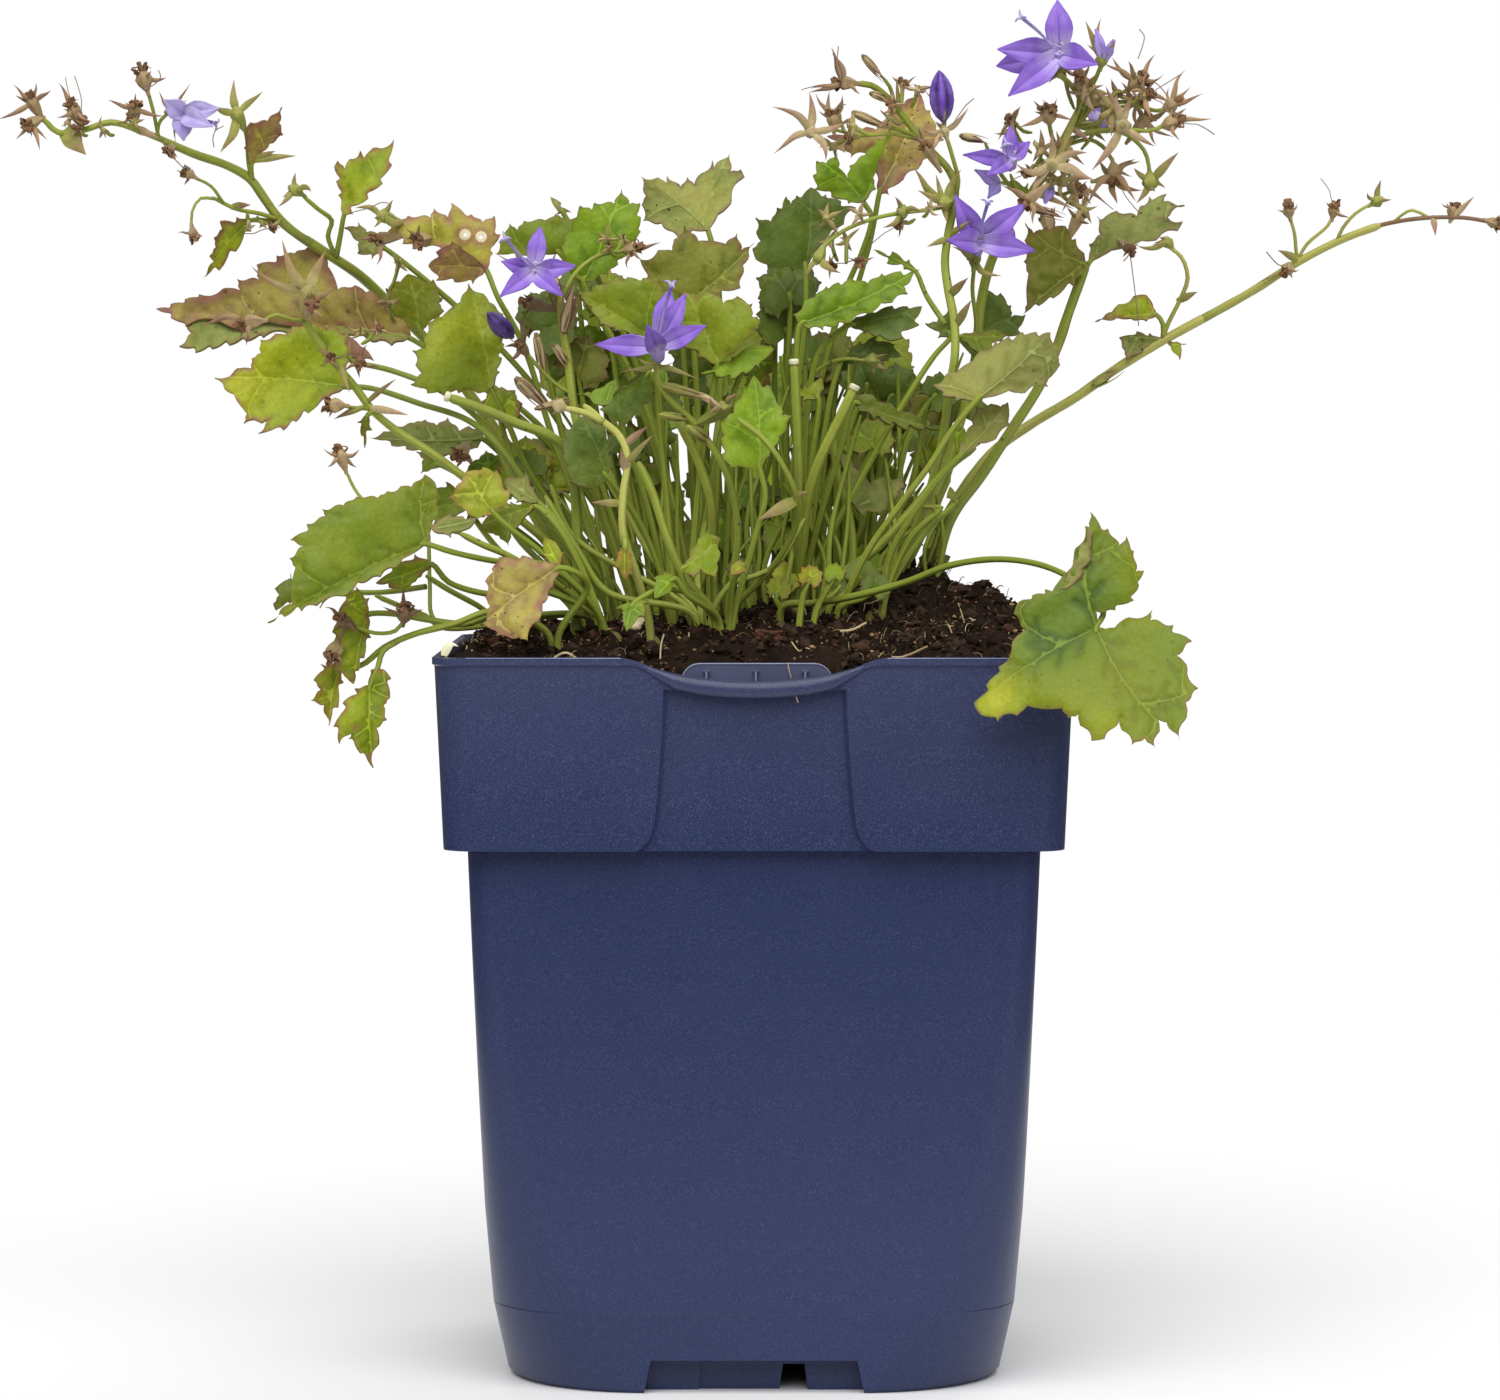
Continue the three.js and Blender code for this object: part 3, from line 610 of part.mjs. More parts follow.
        "way": [[33.4, 158.8, -19.6], [28.6, 152.2, -18.4], [24.4, 144.4, -16]]},
      {"heart": [36.8, 163.1, -20.1], "lean": [0, 0.2], "tint": "bright", "edge": [[35.7, 166], [36.3, 168.3], [38.1, 167.8],
        [38.3, 165.6], [37.2, 163.6]], "bare": true},
      {"heart": [36.6, 154.6, -13], "lean": [0, 0.3], "tint": "green", "edge": [[34.8, 155.4], [35.4, 157.4], [36.6, 155.8],
        [37.4, 153]], "way": [[31.4, 149.6, -13]]},
      {"heart": [33.8, 153.6, -16], "lean": [0, 0.5], "tint": "green", "edge": [[31.6, 154.8], [29.8, 153.9], [32.4, 152.6]],
        "way": [[28.4, 148.4, -16]]}
    ]
  },
  {
    "name": "leaf_right_big", "plane": -50, "root": [4, -17], "stump": 2,
    "leaves": [
      {"heart": [58.8, 133.8, -60.2], "lean": [-0.05, 0.35], "tint": "green", "edge": [[58.8, 136.6], [62, 136.8], [65.2, 138.5],
        [67, 143.7], [65.5, 143.4], [65.2, 147], [63.9, 149.5], [62.8, 147.4], [60.8, 150.8], [57.7, 153.7],
        [57.7, 151], [56.8, 151.3], [55, 144.5], [51.2, 140], [50, 140.4], [45.5, 138.3], [44.6, 136.2], [46.7, 133.4],
        [42, 127], [37.8, 120.7], [39, 118.8], [41.8, 117.7], [47, 120.4], [53, 120], [54, 118.3], [55.8, 118.9],
        [58, 114.4], [60.3, 114.7], [62.8, 118], [65, 113.7], [67.2, 114.8], [69, 113], [69.5, 118], [71, 117.5],
        [73.3, 114.2], [74.2, 121], [76.3, 123.4], [72.5, 129], [75.2, 131.5], [72, 134.2], [68, 135], [68.4, 136.8],
        [62, 133.7], [60.4, 133.5]],
        "way": [[60, 136.6, -56], [56, 141.2, -51], [50, 144.4, -45], [42.6, 145.6, -40], [34, 144.6, -34],
        [26, 141.6, -29], [18, 139.4, -25], [10, 138, -20]]}
    ]
  },
  {
    "name": "leaves_back_left", "plane": 0, "root": [-19, 30], "stump": 2.8,
    "leaves": [
      {"heart": [-30, 172, 42], "lean": [0.1, 0.4], "tint": "green", "edge": [[-26, 174], [-25, 178], [-28, 182], [-33, 184],
        [-38, 181], [-39, 176], [-36, 172], [-33, 170]]},
      {"heart": [-16, 168, 54], "lean": [0.1, 0.8], "tint": "bright", "edge": [[-12, 168], [-9, 171], [-11, 176], [-16, 179],
        [-21, 177], [-23, 172], [-20, 168]]},
      {"heart": [-34, 156, 54], "lean": [0.3, 0.8], "tint": "dark", "edge": [[-31, 158], [-30, 162], [-34, 166], [-40, 166],
        [-43, 161], [-40, 156]]},
      {"heart": [-20, 150, 55], "lean": [0.1, 1.2], "tint": "green", "edge": [[-16, 150], [-13, 154], [-16, 160], [-21, 161],
        [-26, 158], [-25, 152]]}
    ]
  },
  {
    "name": "leaves_back_centre", "plane": 0, "root": [0, 34], "stump": 2.8,
    "leaves": [
      {"heart": [-4, 178, 46], "lean": [0.1, 0.4], "tint": "green", "edge": [[0, 178], [4, 181], [3, 186], [-2, 190],
        [-8, 188], [-11, 182], [-8, 178]]},
      {"heart": [8, 170, 56], "lean": [-0.1, 0.7], "tint": "bright", "edge": [[12, 171], [15, 175], [12, 181], [6, 182],
        [1, 178], [3, 171]]},
      {"heart": [2, 154, 55], "lean": [0, 1.2], "tint": "fresh", "edge": [[7, 154], [9, 158], [6, 164], [0, 165],
        [-6, 161], [-4, 154]]},
      {"heart": [14, 160, 50], "lean": [0.2, 0.8], "tint": "dark", "edge": [[19, 160], [22, 164], [19, 169], [13, 169],
        [9, 165], [10, 160]]}
    ]
  },
  {
    "name": "leaves_back_right", "plane": 0, "root": [16, 36], "stump": 2.8,
    "leaves": [
      {"heart": [22, 176, 48], "lean": [0.1, 0.5], "tint": "green", "edge": [[26, 176], [29, 179], [28, 184], [23, 187],
        [17, 184], [17, 178]]},
      {"heart": [27, 164, 58], "lean": [-0.2, 0.8], "tint": "dark", "edge": [[31, 164], [34, 167], [32, 173], [26, 174],
        [22, 170], [23, 165]]},
      {"heart": [19, 152, 54], "lean": [0, 1.2], "tint": "green", "edge": [[24, 152], [26, 156], [22, 161], [16, 161],
        [13, 156], [15, 152]]}
    ]
  }
];

const BLOOMS = [
  {"name": "bloom_star_left", "plane": -10, "base": [-38.6, 195.6, -20.6], "throat": [-39.6, 196.3, -23.6], "width": 3.4,
    "tips": [[-38.1, 203.7, -23], [-32.1, 196.8, -25], [-44.8, 197.6, -27], [-44.9, 191.8, -29], [-34.6, 192, -29]],
    "style": [-44.2, 201.6, -33]},
  {"name": "bloom_star_centre", "plane": -10, "base": [-17, 179.8, -35], "throat": [-17.4, 183.6, -37.4], "width": 3.8,
    "tips": [[-27.8, 182.9, -41], [-8.9, 186.1, -41], [-15, 192.8, -34], [-12.2, 191.8, -38], [-19, 186, -47]],
    "style": [-14.8, 193.2, -44]},
  {"name": "bloom_top", "plane": 0, "base": [55.1, 232.9, -4], "throat": [54.9, 236, -6], "width": 5,
    "tips": [[54.6, 244.7, -7], [44.4, 236, -10], [43.6, 233, -3], [46.2, 228, -12], [61.2, 233.6, -12]],
    "style": [48.3, 241.6, -16]},
  {"name": "bloom_low", "plane": 0, "base": [40, 199, -5], "throat": [40.4, 202.4, -6.6], "width": 4.4,
    "tips": [[36.6, 209.3, -12], [48.7, 208.1, -10], [50.4, 199.9, -12], [35.2, 201.8, -16], [47.6, 204, 2]],
    "style": [42, 208, -9]},
  {"name": "bloom_side", "plane": 0, "base": [46.2, 214.4, -3], "throat": [45.8, 216.8, -5], "width": 3,
    "tips": [[46.3, 222.1, -6], [38.2, 217.1, -9], [49.6, 219.4, -6], [42.3, 213.6, -11]], "style": [45.4, 219, -13]},
  {"name": "bloom_far", "plane": 0, "base": [61.4, 222.3, 8.6], "throat": [62, 223.4, 10.4], "width": 3.2,
    "tips": [[65.6, 225, 12], [60.4, 226, 12], [59.6, 221.6, 15], [64, 222.2, 15]], "style": [63, 226, 16]},
  {"name": "bloom_left", "plane": 2, "base": [-103.6, 224.8, -10.4], "throat": [-102.6, 224.4, -12.4], "width": 3.8,
    "tips": [[-96.8, 225.6, -15], [-106.2, 227, -16], [-102.9, 220, -14], [-98.4, 222.6, -18]], "style": [-97.6, 223, -13]}
];

const BUDS = [
  {"name": "bud_right", "plane": 0, "base": [34.2, 222.9, -13.6], "tip": [33.3, 231.6, -14], "width": 4.2},
  {"name": "bud_left", "plane": -10, "base": [-43, 184.1, -25], "tip": [-47.6, 188.6, -29], "width": 3.3}
];

// Reading the tables

function onSight([x, z, depth], plane) {
  const reach = (depth - EYE.y) / (plane - EYE.y);
  return new THREE.Vector3(EYE.x + (x - EYE.x) * reach, depth, EYE.z + (z - EYE.z) * reach);
}

// The soil is domed, with a heap round the right-hand stems and a dip behind the label tongue.
const SOIL_AT_WALL = 128.5;
const SOIL_DOME = 5;
const SOIL_HEAPS = [
  { x: 28, y: 8, wide: 13, deep: 13, rise: 9 },
  { x: 42, y: 2, wide: 6, deep: 6, rise: 4 },
  { x: 0, y: -54, wide: 20, deep: 6, rise: -4 },
];

function soilHeight(x, y) {
  const spread = Math.min(1, (x * x + y * y) / (RIM_HALF * RIM_HALF));
  let height = SOIL_AT_WALL + SOIL_DOME * (1 - spread);
  for (const heap of SOIL_HEAPS) {
    const across = (x - heap.x) / heap.wide;
    const along = (y - heap.y) / heap.deep;
    height += heap.rise * Math.exp(-(across * across + along * along) / 2);
  }
  return height;
}

// Solids

function signedVolume(positions, triangles) {
  const [a, b, c] = [new THREE.Vector3(), new THREE.Vector3(), new THREE.Vector3()];
  let volume = 0;
  for (let i = 0; i < triangles.length; i += 3) {
    a.fromArray(positions, 3 * triangles[i]);
    b.fromArray(positions, 3 * triangles[i + 1]);
    c.fromArray(positions, 3 * triangles[i + 2]);
    volume += a.dot(b.cross(c)) / 6;
  }
  return volume;
}

// A closed geometry becomes a solid with its faces pointing out.
function toSolid(geometry) {
  const bare = geometry.clone();
  bare.deleteAttribute("normal");
  bare.deleteAttribute("uv");
  const merged = mergeVertices(bare, 1e-4);
  const positions = merged.attributes.position.array;
  const all = merged.index.array;
  const triangles = [];
  for (let i = 0; i < all.length; i += 3) {
    const [a, b, c] = [all[i], all[i + 1], all[i + 2]];
    if (a !== b && b !== c && c !== a) triangles.push(a, b, c);
  }
  if (signedVolume(positions, triangles) < 0) triangles.reverse();
  const mesh = new wasm.Mesh({
    numProp: 3,
    vertProperties: new Float32Array(positions),
    triVerts: new Uint32Array(triangles),
  });
  return new wasm.Manifold(mesh);
}

function unite(solids) {
  return solids.reduce((whole, solid) => whole.add(solid));
}

function toMesh(name, solid, colour, roughness) {
  const result = solid.asOriginal().simplify(FINEST_DETAIL).getMesh();
  const geometry = new THREE.BufferGeometry();
  geometry.setAttribute("position", new THREE.BufferAttribute(new Float32Array(result.vertProperties), 3));
  geometry.setIndex(new THREE.BufferAttribute(new Uint32Array(result.triVerts), 1));
  geometry.computeVertexNormals();
  const material = new THREE.MeshStandardMaterial({ color: colour, roughness, metalness: 0 });
  const mesh = new THREE.Mesh(geometry, material);
  mesh.name = name;
  return mesh;
}

// A flat or pleated slab over an outline: the same triangles on both faces and a wall between them.
function slab(points, triangles, normal, thickness) {
  const half = normal.clone().multiplyScalar(thickness / 2);
  const count = points.length;
  const positions = [];
  for (const point of points) positions.push(...point.clone().add(half).toArray());
  for (const point of points) positions.push(...point.clone().sub(half).toArray());
  const index = [];
  for (const [a, b, c] of triangles) index.push(a, b, c, a + count, c + count, b + count);
  for (let i = 0; i < count; i++) {
    const next = (i + 1) % count;
    index.push(next, i, i + count, next, i + count, next + count);
  }
  const geometry = new THREE.BufferGeometry();
  geometry.setAttribute("position", new THREE.BufferAttribute(new Float32Array(positions), 3));
  geometry.setIndex(index);
  return toSolid(geometry);
}

function turn(a, b, c) {
  return (b.x - a.x) * (c.y - a.y) - (b.y - a.y) * (c.x - a.x);
}

// A fan from the first point where every other point can be seen from it, or else cut ears.
function fillOutline(outline) {
  const whole = THREE.ShapeUtils.area(outline);
  const fan = [];
  for (let i = 1; i < outline.length - 1; i++) fan.push([0, i, i + 1]);
  const opens = ([a, b, c]) => turn(outline[a], outline[b], outline[c]) * whole > 0;
  if (fan.every(opens)) return { triangles: fan, fanned: true };
  const ears = THREE.ShapeUtils.triangulateShape(outline, []);
  const triangles = ears.map((ear) => (opens(ear) ? ear : [ear[0], ear[2], ear[1]]));
  return { triangles, fanned: false };
}

function tube(route, radius, sides) {
  const shape = new THREE.Shape();
  for (let i = 0; i < sides; i++) {
    const angle = (2 * Math.PI * i) / sides;
    const point = [radius * Math.cos(angle), radius * Math.sin(angle)];
    if (i === 0) shape.moveTo(...point);
    else shape.lineTo(...point);
  }
  shape.closePath();
  const path = new THREE.CatmullRomCurve3(route, false, "centripetal");
  const steps = Math.max(2, route.length - 1);
  return toSolid(new THREE.ExtrudeGeometry(shape, { steps, bevelEnabled: false, extrudePath: path }));
}

// A turned body along the line from one point to another; the profile is [radius, way along].
function spindle(from, to, profile, sides) {
  const axis = to.clone().sub(from);
  const length = axis.length();
  const points = profile.map(([radius, along]) => new THREE.Vector2(radius, along * length));
  const geometry = new THREE.LatheGeometry(points, sides);
  geometry.applyQuaternion(new THREE.Quaternion().setFromUnitVectors(new THREE.Vector3(0, 1, 0), axis.normalize()));
  geometry.translate(from.x, from.y, from.z);
  return toSolid(geometry);
}

// The frame of a blade that runs from one point to another and shows its face to the front.
function bladeFrame(from, to) {
  const axis = to.clone().sub(from).normalize();
  const across = new THREE.Vector3().crossVectors(axis, new THREE.Vector3(0, -1, 0));
  if (across.length() < 0.2) across.set(1, 0, 0);
  across.normalize();
  return { axis, across, normal: new THREE.Vector3().crossVectors(across, axis).normalize() };
}

// A sepal or a bract: pointed at both ends, ridged, and bent where it is widest.
function spearBlade(from, to, width) {
  const { across, normal } = bladeFrame(from, to);
  const middle = from.clone().lerp(to, 0.4).addScaledVector(normal, 0.07 * from.distanceTo(to));
  const ring = [
    middle.clone().addScaledVector(across, width / 2),
    middle.clone().addScaledVector(normal, SEPAL_THICKNESS),
    middle.clone().addScaledVector(across, -width / 2),
  ];
  const geometry = new THREE.BufferGeometry();
  const corners = [from, ...ring, to].flatMap((point) => point.toArray());
  geometry.setAttribute("position", new THREE.BufferAttribute(new Float32Array(corners), 3));
  geometry.setIndex([0, 1, 2, 0, 2, 3, 0, 3, 1, 4, 2, 1, 4, 3, 2, 4, 1, 3]);
  return toSolid(geometry);
}

// A petal: broad at its foot and pointed at its tip, bent where it is widest.
function petal(from, to, width) {
  const { across, normal } = bladeFrame(from, to);
  const middle = from.clone().lerp(to, 0.45).addScaledVector(normal, 0.1 * from.distanceTo(to));
  const along = (base, half) => base.clone().addScaledVector(across, half);
  const points = [along(from, -width / 3), along(from, width / 3), along(middle, width / 2), to, along(middle, -width / 2)];
  return slab(points, [[0, 1, 2], [0, 2, 4], [4, 2, 3]], normal, PETAL_THICKNESS);
}

// The plant

// Where a stalk that comes in from a point sinks into the crown.
function crownTop(shoot, cameFrom) {
  const [x, y] = shoot.root;
  const side = new THREE.Vector2(cameFrom.x - x, cameFrom.y - y).normalize().multiplyScalar(0.35 * shoot.stump);
  return new THREE.Vector3(x + side.x, y + side.y, soilHeight(x, y) + STALK_RISE);
}

function crown(shoot, spare = 0) {
  const [x, y] = shoot.root;
  const ground = soilHeight(x, y);
  const radius = shoot.stump + spare;
  const from = new THREE.Vector3(x, y, ground - CROWN_DEPTH - spare);
  const to = new THREE.Vector3(x, y, ground + CROWN_RISE + 3 * spare);
  const top = spare > 0 ? radius : radius * 0.8;
  return spindle(from, to, [[0, 0], [radius, 0], [top, 1], [0, 1]], CROWN_SIDES);
}

function leaf(shoot, { heart, lean, edge, way, joins, bare }) {
  const depthAt = (x, z) => heart[2] + lean[0] * (x - heart[0]) + lean[1] * (z - heart[1]);
  const outline = [heart, ...edge].map(([x, z]) => new THREE.Vector2(x, z));
  const { triangles, fanned } = fillOutline(outline);
  const reach = outline.map((point) => point.distanceTo(outline[0]));
  const points = outline.map((point, i) => {
    let depth = depthAt(point.x, point.y);
    if (fanned && i > 1 && i < outline.length - 1) {
      depth -= PLEAT * (reach[i] - (reach[i - 1] + reach[i + 1]) / 2);
    }
    return onSight([point.x, point.y, depth], shoot.plane);
  });
  const normal = new THREE.Vector3(lean[0], -1, lean[1]).normalize();
  const blade = slab(points, triangles, normal, LEAF_THICKNESS);
  if (bare) return [blade];
  const start = onSight(heart, shoot.plane);
  const centre = points.reduce((sum, point) => sum.add(point), new THREE.Vector3()).divideScalar(points.length);
  const inside = start.clone().lerp(centre, Math.min(0.5, 2 / start.distanceTo(centre)));
  const end = joins ? onSight(joins, shoot.plane) : crownTop(shoot, start);
  const middle = end.clone().lerp(start, 0.45);
  middle.z = end.z + 0.62 * (start.z - end.z);
  const between = way ? way.map((point) => onSight(point, shoot.plane)) : [middle];
  const radius = joins ? PETIOLE_RADIUS * 0.75 : PETIOLE_RADIUS;
  return [blade, tube([inside, start, ...between, end], radius, 4)];
}

function stem(shoot, { radius, route, to_root: toRoot }) {
  const points = route.map((point) => onSight(point, shoot.plane));
  if (toRoot) points.push(crownTop(shoot, points.at(-1)));
  return tube(points, radius, radius > 0.8 ? 5 : radius > 0.55 ? 4 : 3);
}

// A calyx is one faceted star: a pointed foot in its stalk, a swollen ovary, and a slim sepal to each tip.
// Its ring of corners runs round the axis, with a shoulder on the ovary at both sides of every sepal.
function calyx(shoot, { at, ovary, from, tips }) {
  const centre = onSight(at, shoot.plane);
  const axis = centre.clone().sub(onSight(from, shoot.plane)).normalize();
  const foot = onSight(from, shoot.plane).addScaledVector(axis, -ROOTED);
  const { across, normal } = bladeFrame(foot, centre);
  const spokes = tips.map((tip) => {
    const end = onSight(tip, shoot.plane);
    const out = end.clone().sub(centre);
    return { end, angle: Math.atan2(out.dot(normal), out.dot(across)) };
  });
  for (let i = 0; i < spokes.length; i++) {
    for (const other of spokes.slice(0, i)) {
      if (Math.abs(spokes[i].angle - other.angle) < 0.3) spokes[i].angle = other.angle + 0.3;
    }
  }
  spokes.sort((one, other) => one.angle - other.angle);
  const shoulder = (angle) =>
    centre.clone().addScaledVector(across, ovary * Math.cos(angle)).addScaledVector(normal, ovary * Math.sin(angle));
  const ring = [];
  spokes.forEach(({ end, angle }, i) => {
    const next = i + 1 < spokes.length ? spokes[i + 1].angle : spokes[0].angle + 2 * Math.PI;
    ring.push(end);
    const gap = next - angle;
    if (gap < 2 * SEPAL_SPREAD) ring.push(shoulder(angle + gap / 2));
    else {
      const between = Math.ceil((gap - 2 * SEPAL_SPREAD) / 1.6);
      for (let k = 0; k <= between; k++) {
        ring.push(shoulder(angle + SEPAL_SPREAD + ((gap - 2 * SEPAL_SPREAD) * k) / Math.max(1, between)));
      }
    }
  });
  if (ring.length === 0) for (let k = 0; k < 5; k++) ring.push(shoulder(k * 0.4 * Math.PI));
  const top = centre.clone().addScaledVector(axis, 0.8 * ovary);
  const count = ring.length;
  const index = [];
  for (let i = 0; i < count; i++) {
    const next = (i + 1) % count;
    index.push(i, next, count, next, i, count + 1);
  }
  const geometry = new THREE.BufferGeometry();
  const corners = [...ring, top, foot].flatMap((point) => point.toArray());
  geometry.setAttribute("position", new THREE.BufferAttribute(new Float32Array(corners), 3));
  geometry.setIndex(index);
  return [toSolid(geometry)];
}

function shootSolid(shoot) {
  const solids = [crown(shoot)];
  for (const entry of shoot.stems ?? []) solids.push(stem(shoot, entry));
  for (const entry of shoot.leaves ?? []) solids.push(...leaf(shoot, entry));
  for (const entry of shoot.calyces ?? []) solids.push(...calyx(shoot, entry));
  for (const [from, to, width] of shoot.blades ?? []) {
    const [start, end] = [onSight(from, shoot.plane), onSight(to, shoot.plane)];
    const rooted = start.clone().lerp(end, -ROOTED / start.distanceTo(end));
    solids.push(spearBlade(rooted, end, width));
  }
  for (const [from, to, width] of shoot.husks ?? []) {
    const profile = [[0, 0], [0.4 * width, 0.15], [0.5 * width, 0.6], [0, 1]];
    solids.push(spindle(onSight(from, shoot.plane), onSight(to, shoot.plane), profile, 5));
  }
  return unite(solids);
}

function bloomSolid({ plane, base, throat, width, tips, style }) {
  const foot = onSight(base, plane);
  const mouth = onSight(throat, plane);
  const profile = [[0, 0], [0.8, 0.05], [1.2, 0.5], [1.9, 0.95], [0, 1]];
  const solids = [spindle(foot, mouth, profile, 6)];
  const deep = foot.clone().lerp(mouth, 0.75);
  for (const tip of tips) {
    solids.push(petal(deep, onSight(tip, plane), width));
  }
  const end = onSight(style, plane);
  const half = mouth.clone().lerp(end, 0.5);
  solids.push(tube([deep, half, end], 0.4, 3));
  const past = end.clone().sub(half).normalize();
  solids.push(spindle(end.clone().addScaledVector(past, -0.9), end.clone().addScaledVector(past, 0.9),
    [[0, 0], [0.7, 0.4], [0, 1]], 4));
  return unite(solids);
}

function budSolid({ plane, base, tip, width }) {
  const profile = [[0, 0], [0.28 * width, 0.06], [0.5 * width, 0.4], [0.42 * width, 0.68], [0.12 * width, 0.95], [0, 1]];
  return spindle(onSight(base, plane), onSight(tip, plane), profile, 8);
}

// The pot

const RING_ARC = [0, 0.33, 0.67, 1];

// One level ring of a square with rounded corners.
function squareRing(half, corner, height) {
  const ring = [];
  const straight = half - corner;
  for (let side = 0; side < 4; side++) {
    const turned = (x, y) => {
      const angle = (side * Math.PI) / 2;
      return new THREE.Vector3(x * Math.cos(angle) - y * Math.sin(angle), x * Math.sin(angle) + y * Math.cos(angle), height);
    };
    ring.push(turned(half, 0));
    for (const part of RING_ARC) {
      const angle = (part * Math.PI) / 2;
      ring.push(turned(straight + corner * Math.cos(angle), straight + corner * Math.sin(angle)));
    }
  }
  return ring;
}

// A closed skin over rings that start and end at a single point.
function loft(rings) {
  const count = rings[0].length;
  const skin = (u, v, target) => {
    const ring = rings[Math.round(v * (rings.length - 1))];
    target.copy(ring[Math.round(u * count) % count]);
  };
  return toSolid(new ParametricGeometry(skin, count, rings.length - 1));
}

function cornerRadius(height) {
  if (height >= LEDGE_HEIGHT) return 6;
  return 5 + 20 * Math.pow(1 - height / LEDGE_HEIGHT, 2.5);
}

function ringAt([half, height], inset = 0) {
  if (half === 0) return squareRing(0, 0, height);
  return squareRing(half, Math.max(0.5, Math.min(half - 0.5, cornerRadius(height) - inset)), height);
}

// Turned about the pot's middle: one copy for each of the four sides.
function onFourSides(solid) {
  return unite([0, 90, 180, 270].map((angle) => solid.rotate([0, 0, angle])));
}

// A prism with its outline in x and z, standing from one y to another.
function frontPrism(outline, yFrom, yTo) {
  const shape = new THREE.Shape(outline.map(([x, z]) => new THREE.Vector2(x, z)));
  const geometry = new THREE.ExtrudeGeometry(shape, { depth: yTo - yFrom, bevelEnabled: false });
  geometry.rotateX(Math.PI / 2);
  geometry.translate(0, yTo, 0);
  return toSolid(geometry);
}

const COLLAR_WALL = [[53.6, LEDGE_HEIGHT], [RIM_HALF, 127.3], [55.4, 127.6], [55.4, 128.7], [54, POT_HEIGHT]];
const COLLAR_INSIDE = [[RIM_HALF - WALL - 0.2, 127], [53.6 - WALL, 97.3]];
const INNER_WALL = [[48.4, 97.3], [47.1, 61], [44.8, 14.6], [FOOT_HALF, FLOOR_TOP]];

const DIP_HALF = 22.8;
const DIP_FLOOR = 124.3;
const DIP_LIP = 2.2;

// The rim's front edge sinks in a shallow curve; dipEdge runs along it from left to right.
function dipEdge(lift) {
  const points = [];
  for (let i = 0; i <= 10; i++) {
    const across = -1 + i / 5;
    const sink = Math.pow(Math.cos((across * Math.PI) / 2), 0.7);
    const height = POT_HEIGHT - (POT_HEIGHT - DIP_FLOOR) * (Number.isFinite(sink) ? sink : 0);
    points.push([across * DIP_HALF, height + lift]);
  }
  return points;
}

const TONGUE = { left: -12.4, right: 13.4, top: 127.7, bottom: 101, y: -49, thickness: 1.1, corner: 3 };

function tongueSolid() {
  const { left, right, top, bottom, y, thickness, corner } = TONGUE;
  const outline = [[left, bottom], [right, bottom], [right, top - corner], [right - 0.9, top - 0.9], [right - corner, top],
    [left + corner, top], [left + 0.9, top - 0.9], [left, top - corner]];
  const plate = frontPrism(outline, y - thickness / 2, y + thickness / 2);
  const wallInside = -(RIM_HALF - WALL) - 0.4;
  const webs = [left + 0.6, right - 0.6].map((x) =>
    frontPrism([[x - 0.6, bottom], [x + 0.6, bottom], [x + 0.6, top - 4.6], [x - 0.6, top - 4.6]], wallInside, y));
  const ribs = [-8, 0, 8].map((x) =>
    frontPrism([[x - 0.5, 118], [x + 0.5, 118], [x + 0.5, 126.4], [x - 0.5, 126.4]], y - 1.4, y));
  return unite([plate, ...webs, ...ribs]);
}

function potSolid() {
  const under = [[0, FLOOR_UNDER], [36.5, FLOOR_UNDER], [37.5, 0]];
  const outer = [...under, ...OUTER_WALL, ...COLLAR_WALL].map((point) => ringAt(point));
  const inner = [...COLLAR_INSIDE, ...INNER_WALL, [0, FLOOR_TOP]].map((point) => ringAt(point, WALL));
  let pot = loft([...outer, ...inner]);

  const footGap = frontPrism([[-19.4, -1], [19.4, -1], [18, 6], [-18, 6]], -60, -39.1);
  pot = pot.subtract(onFourSides(footGap));
  pot = pot.subtract(frontPrism([[4.6, -1], [8.4, -1], [8.2, 4.4], [4.8, 4.4]], -42, -34));

  const panel = frontPrism([[-14.8, 123], [-16.8, 99.5], [-20, 94], [20, 94], [16.8, 99.5], [14.8, 123]], -60, -53.1);
  const leanedPanel = panel.rotate([2.4, 0, 0]).translate([0, 4.1, 1.4]);
  pot = pot.subtract(onFourSides(leanedPanel));

  const above = [...dipEdge(0), [DIP_HALF, 132], [-DIP_HALF, 132]];
  pot = pot.subtract(frontPrism(above, -60, -51));
  const lip = [...dipEdge(-0.1), ...dipEdge(-DIP_LIP).reverse()];
  pot = pot.add(frontPrism(lip.slice(1, -1), -56.4, -54));
  return pot.add(tongueSolid());
}

function soilSolid() {
  const under = [[0, FLOOR_TOP + CLEARANCE]];
  const wall = [...INNER_WALL].reverse().map(([half, height]) => [half - CLEARANCE, height + CLEARANCE]);
  const collar = [[53.6 - WALL - CLEARANCE, 97.3 + CLEARANCE], [52.9, 126]];
  const rings = [...under, ...wall, ...collar].map((point) => ringAt(point, WALL));
  for (const share of [1, 0.82, 0.64, 0.46, 0.28, 0]) {
    const ring = squareRing(52.9 * share, Math.max(4.4 * share, 26 * (1 - share) * share), 0);
    for (const point of ring) point.z = soilHeight(point.x, point.y);
    rings.push(ring);
  }
  let soil = loft(rings);
  const { left, right, bottom } = TONGUE;
  const pocket = [[left - CLEARANCE, bottom - 2], [right + CLEARANCE, bottom - 2], [right + CLEARANCE, 140], [left - CLEARANCE, 140]];
  soil = soil.subtract(frontPrism(pocket, -60, TONGUE.y + TONGUE.thickness / 2 + CLEARANCE));
  for (const shoot of SHOOTS) soil = soil.subtract(crown(shoot, CLEARANCE));
  return soil;
}

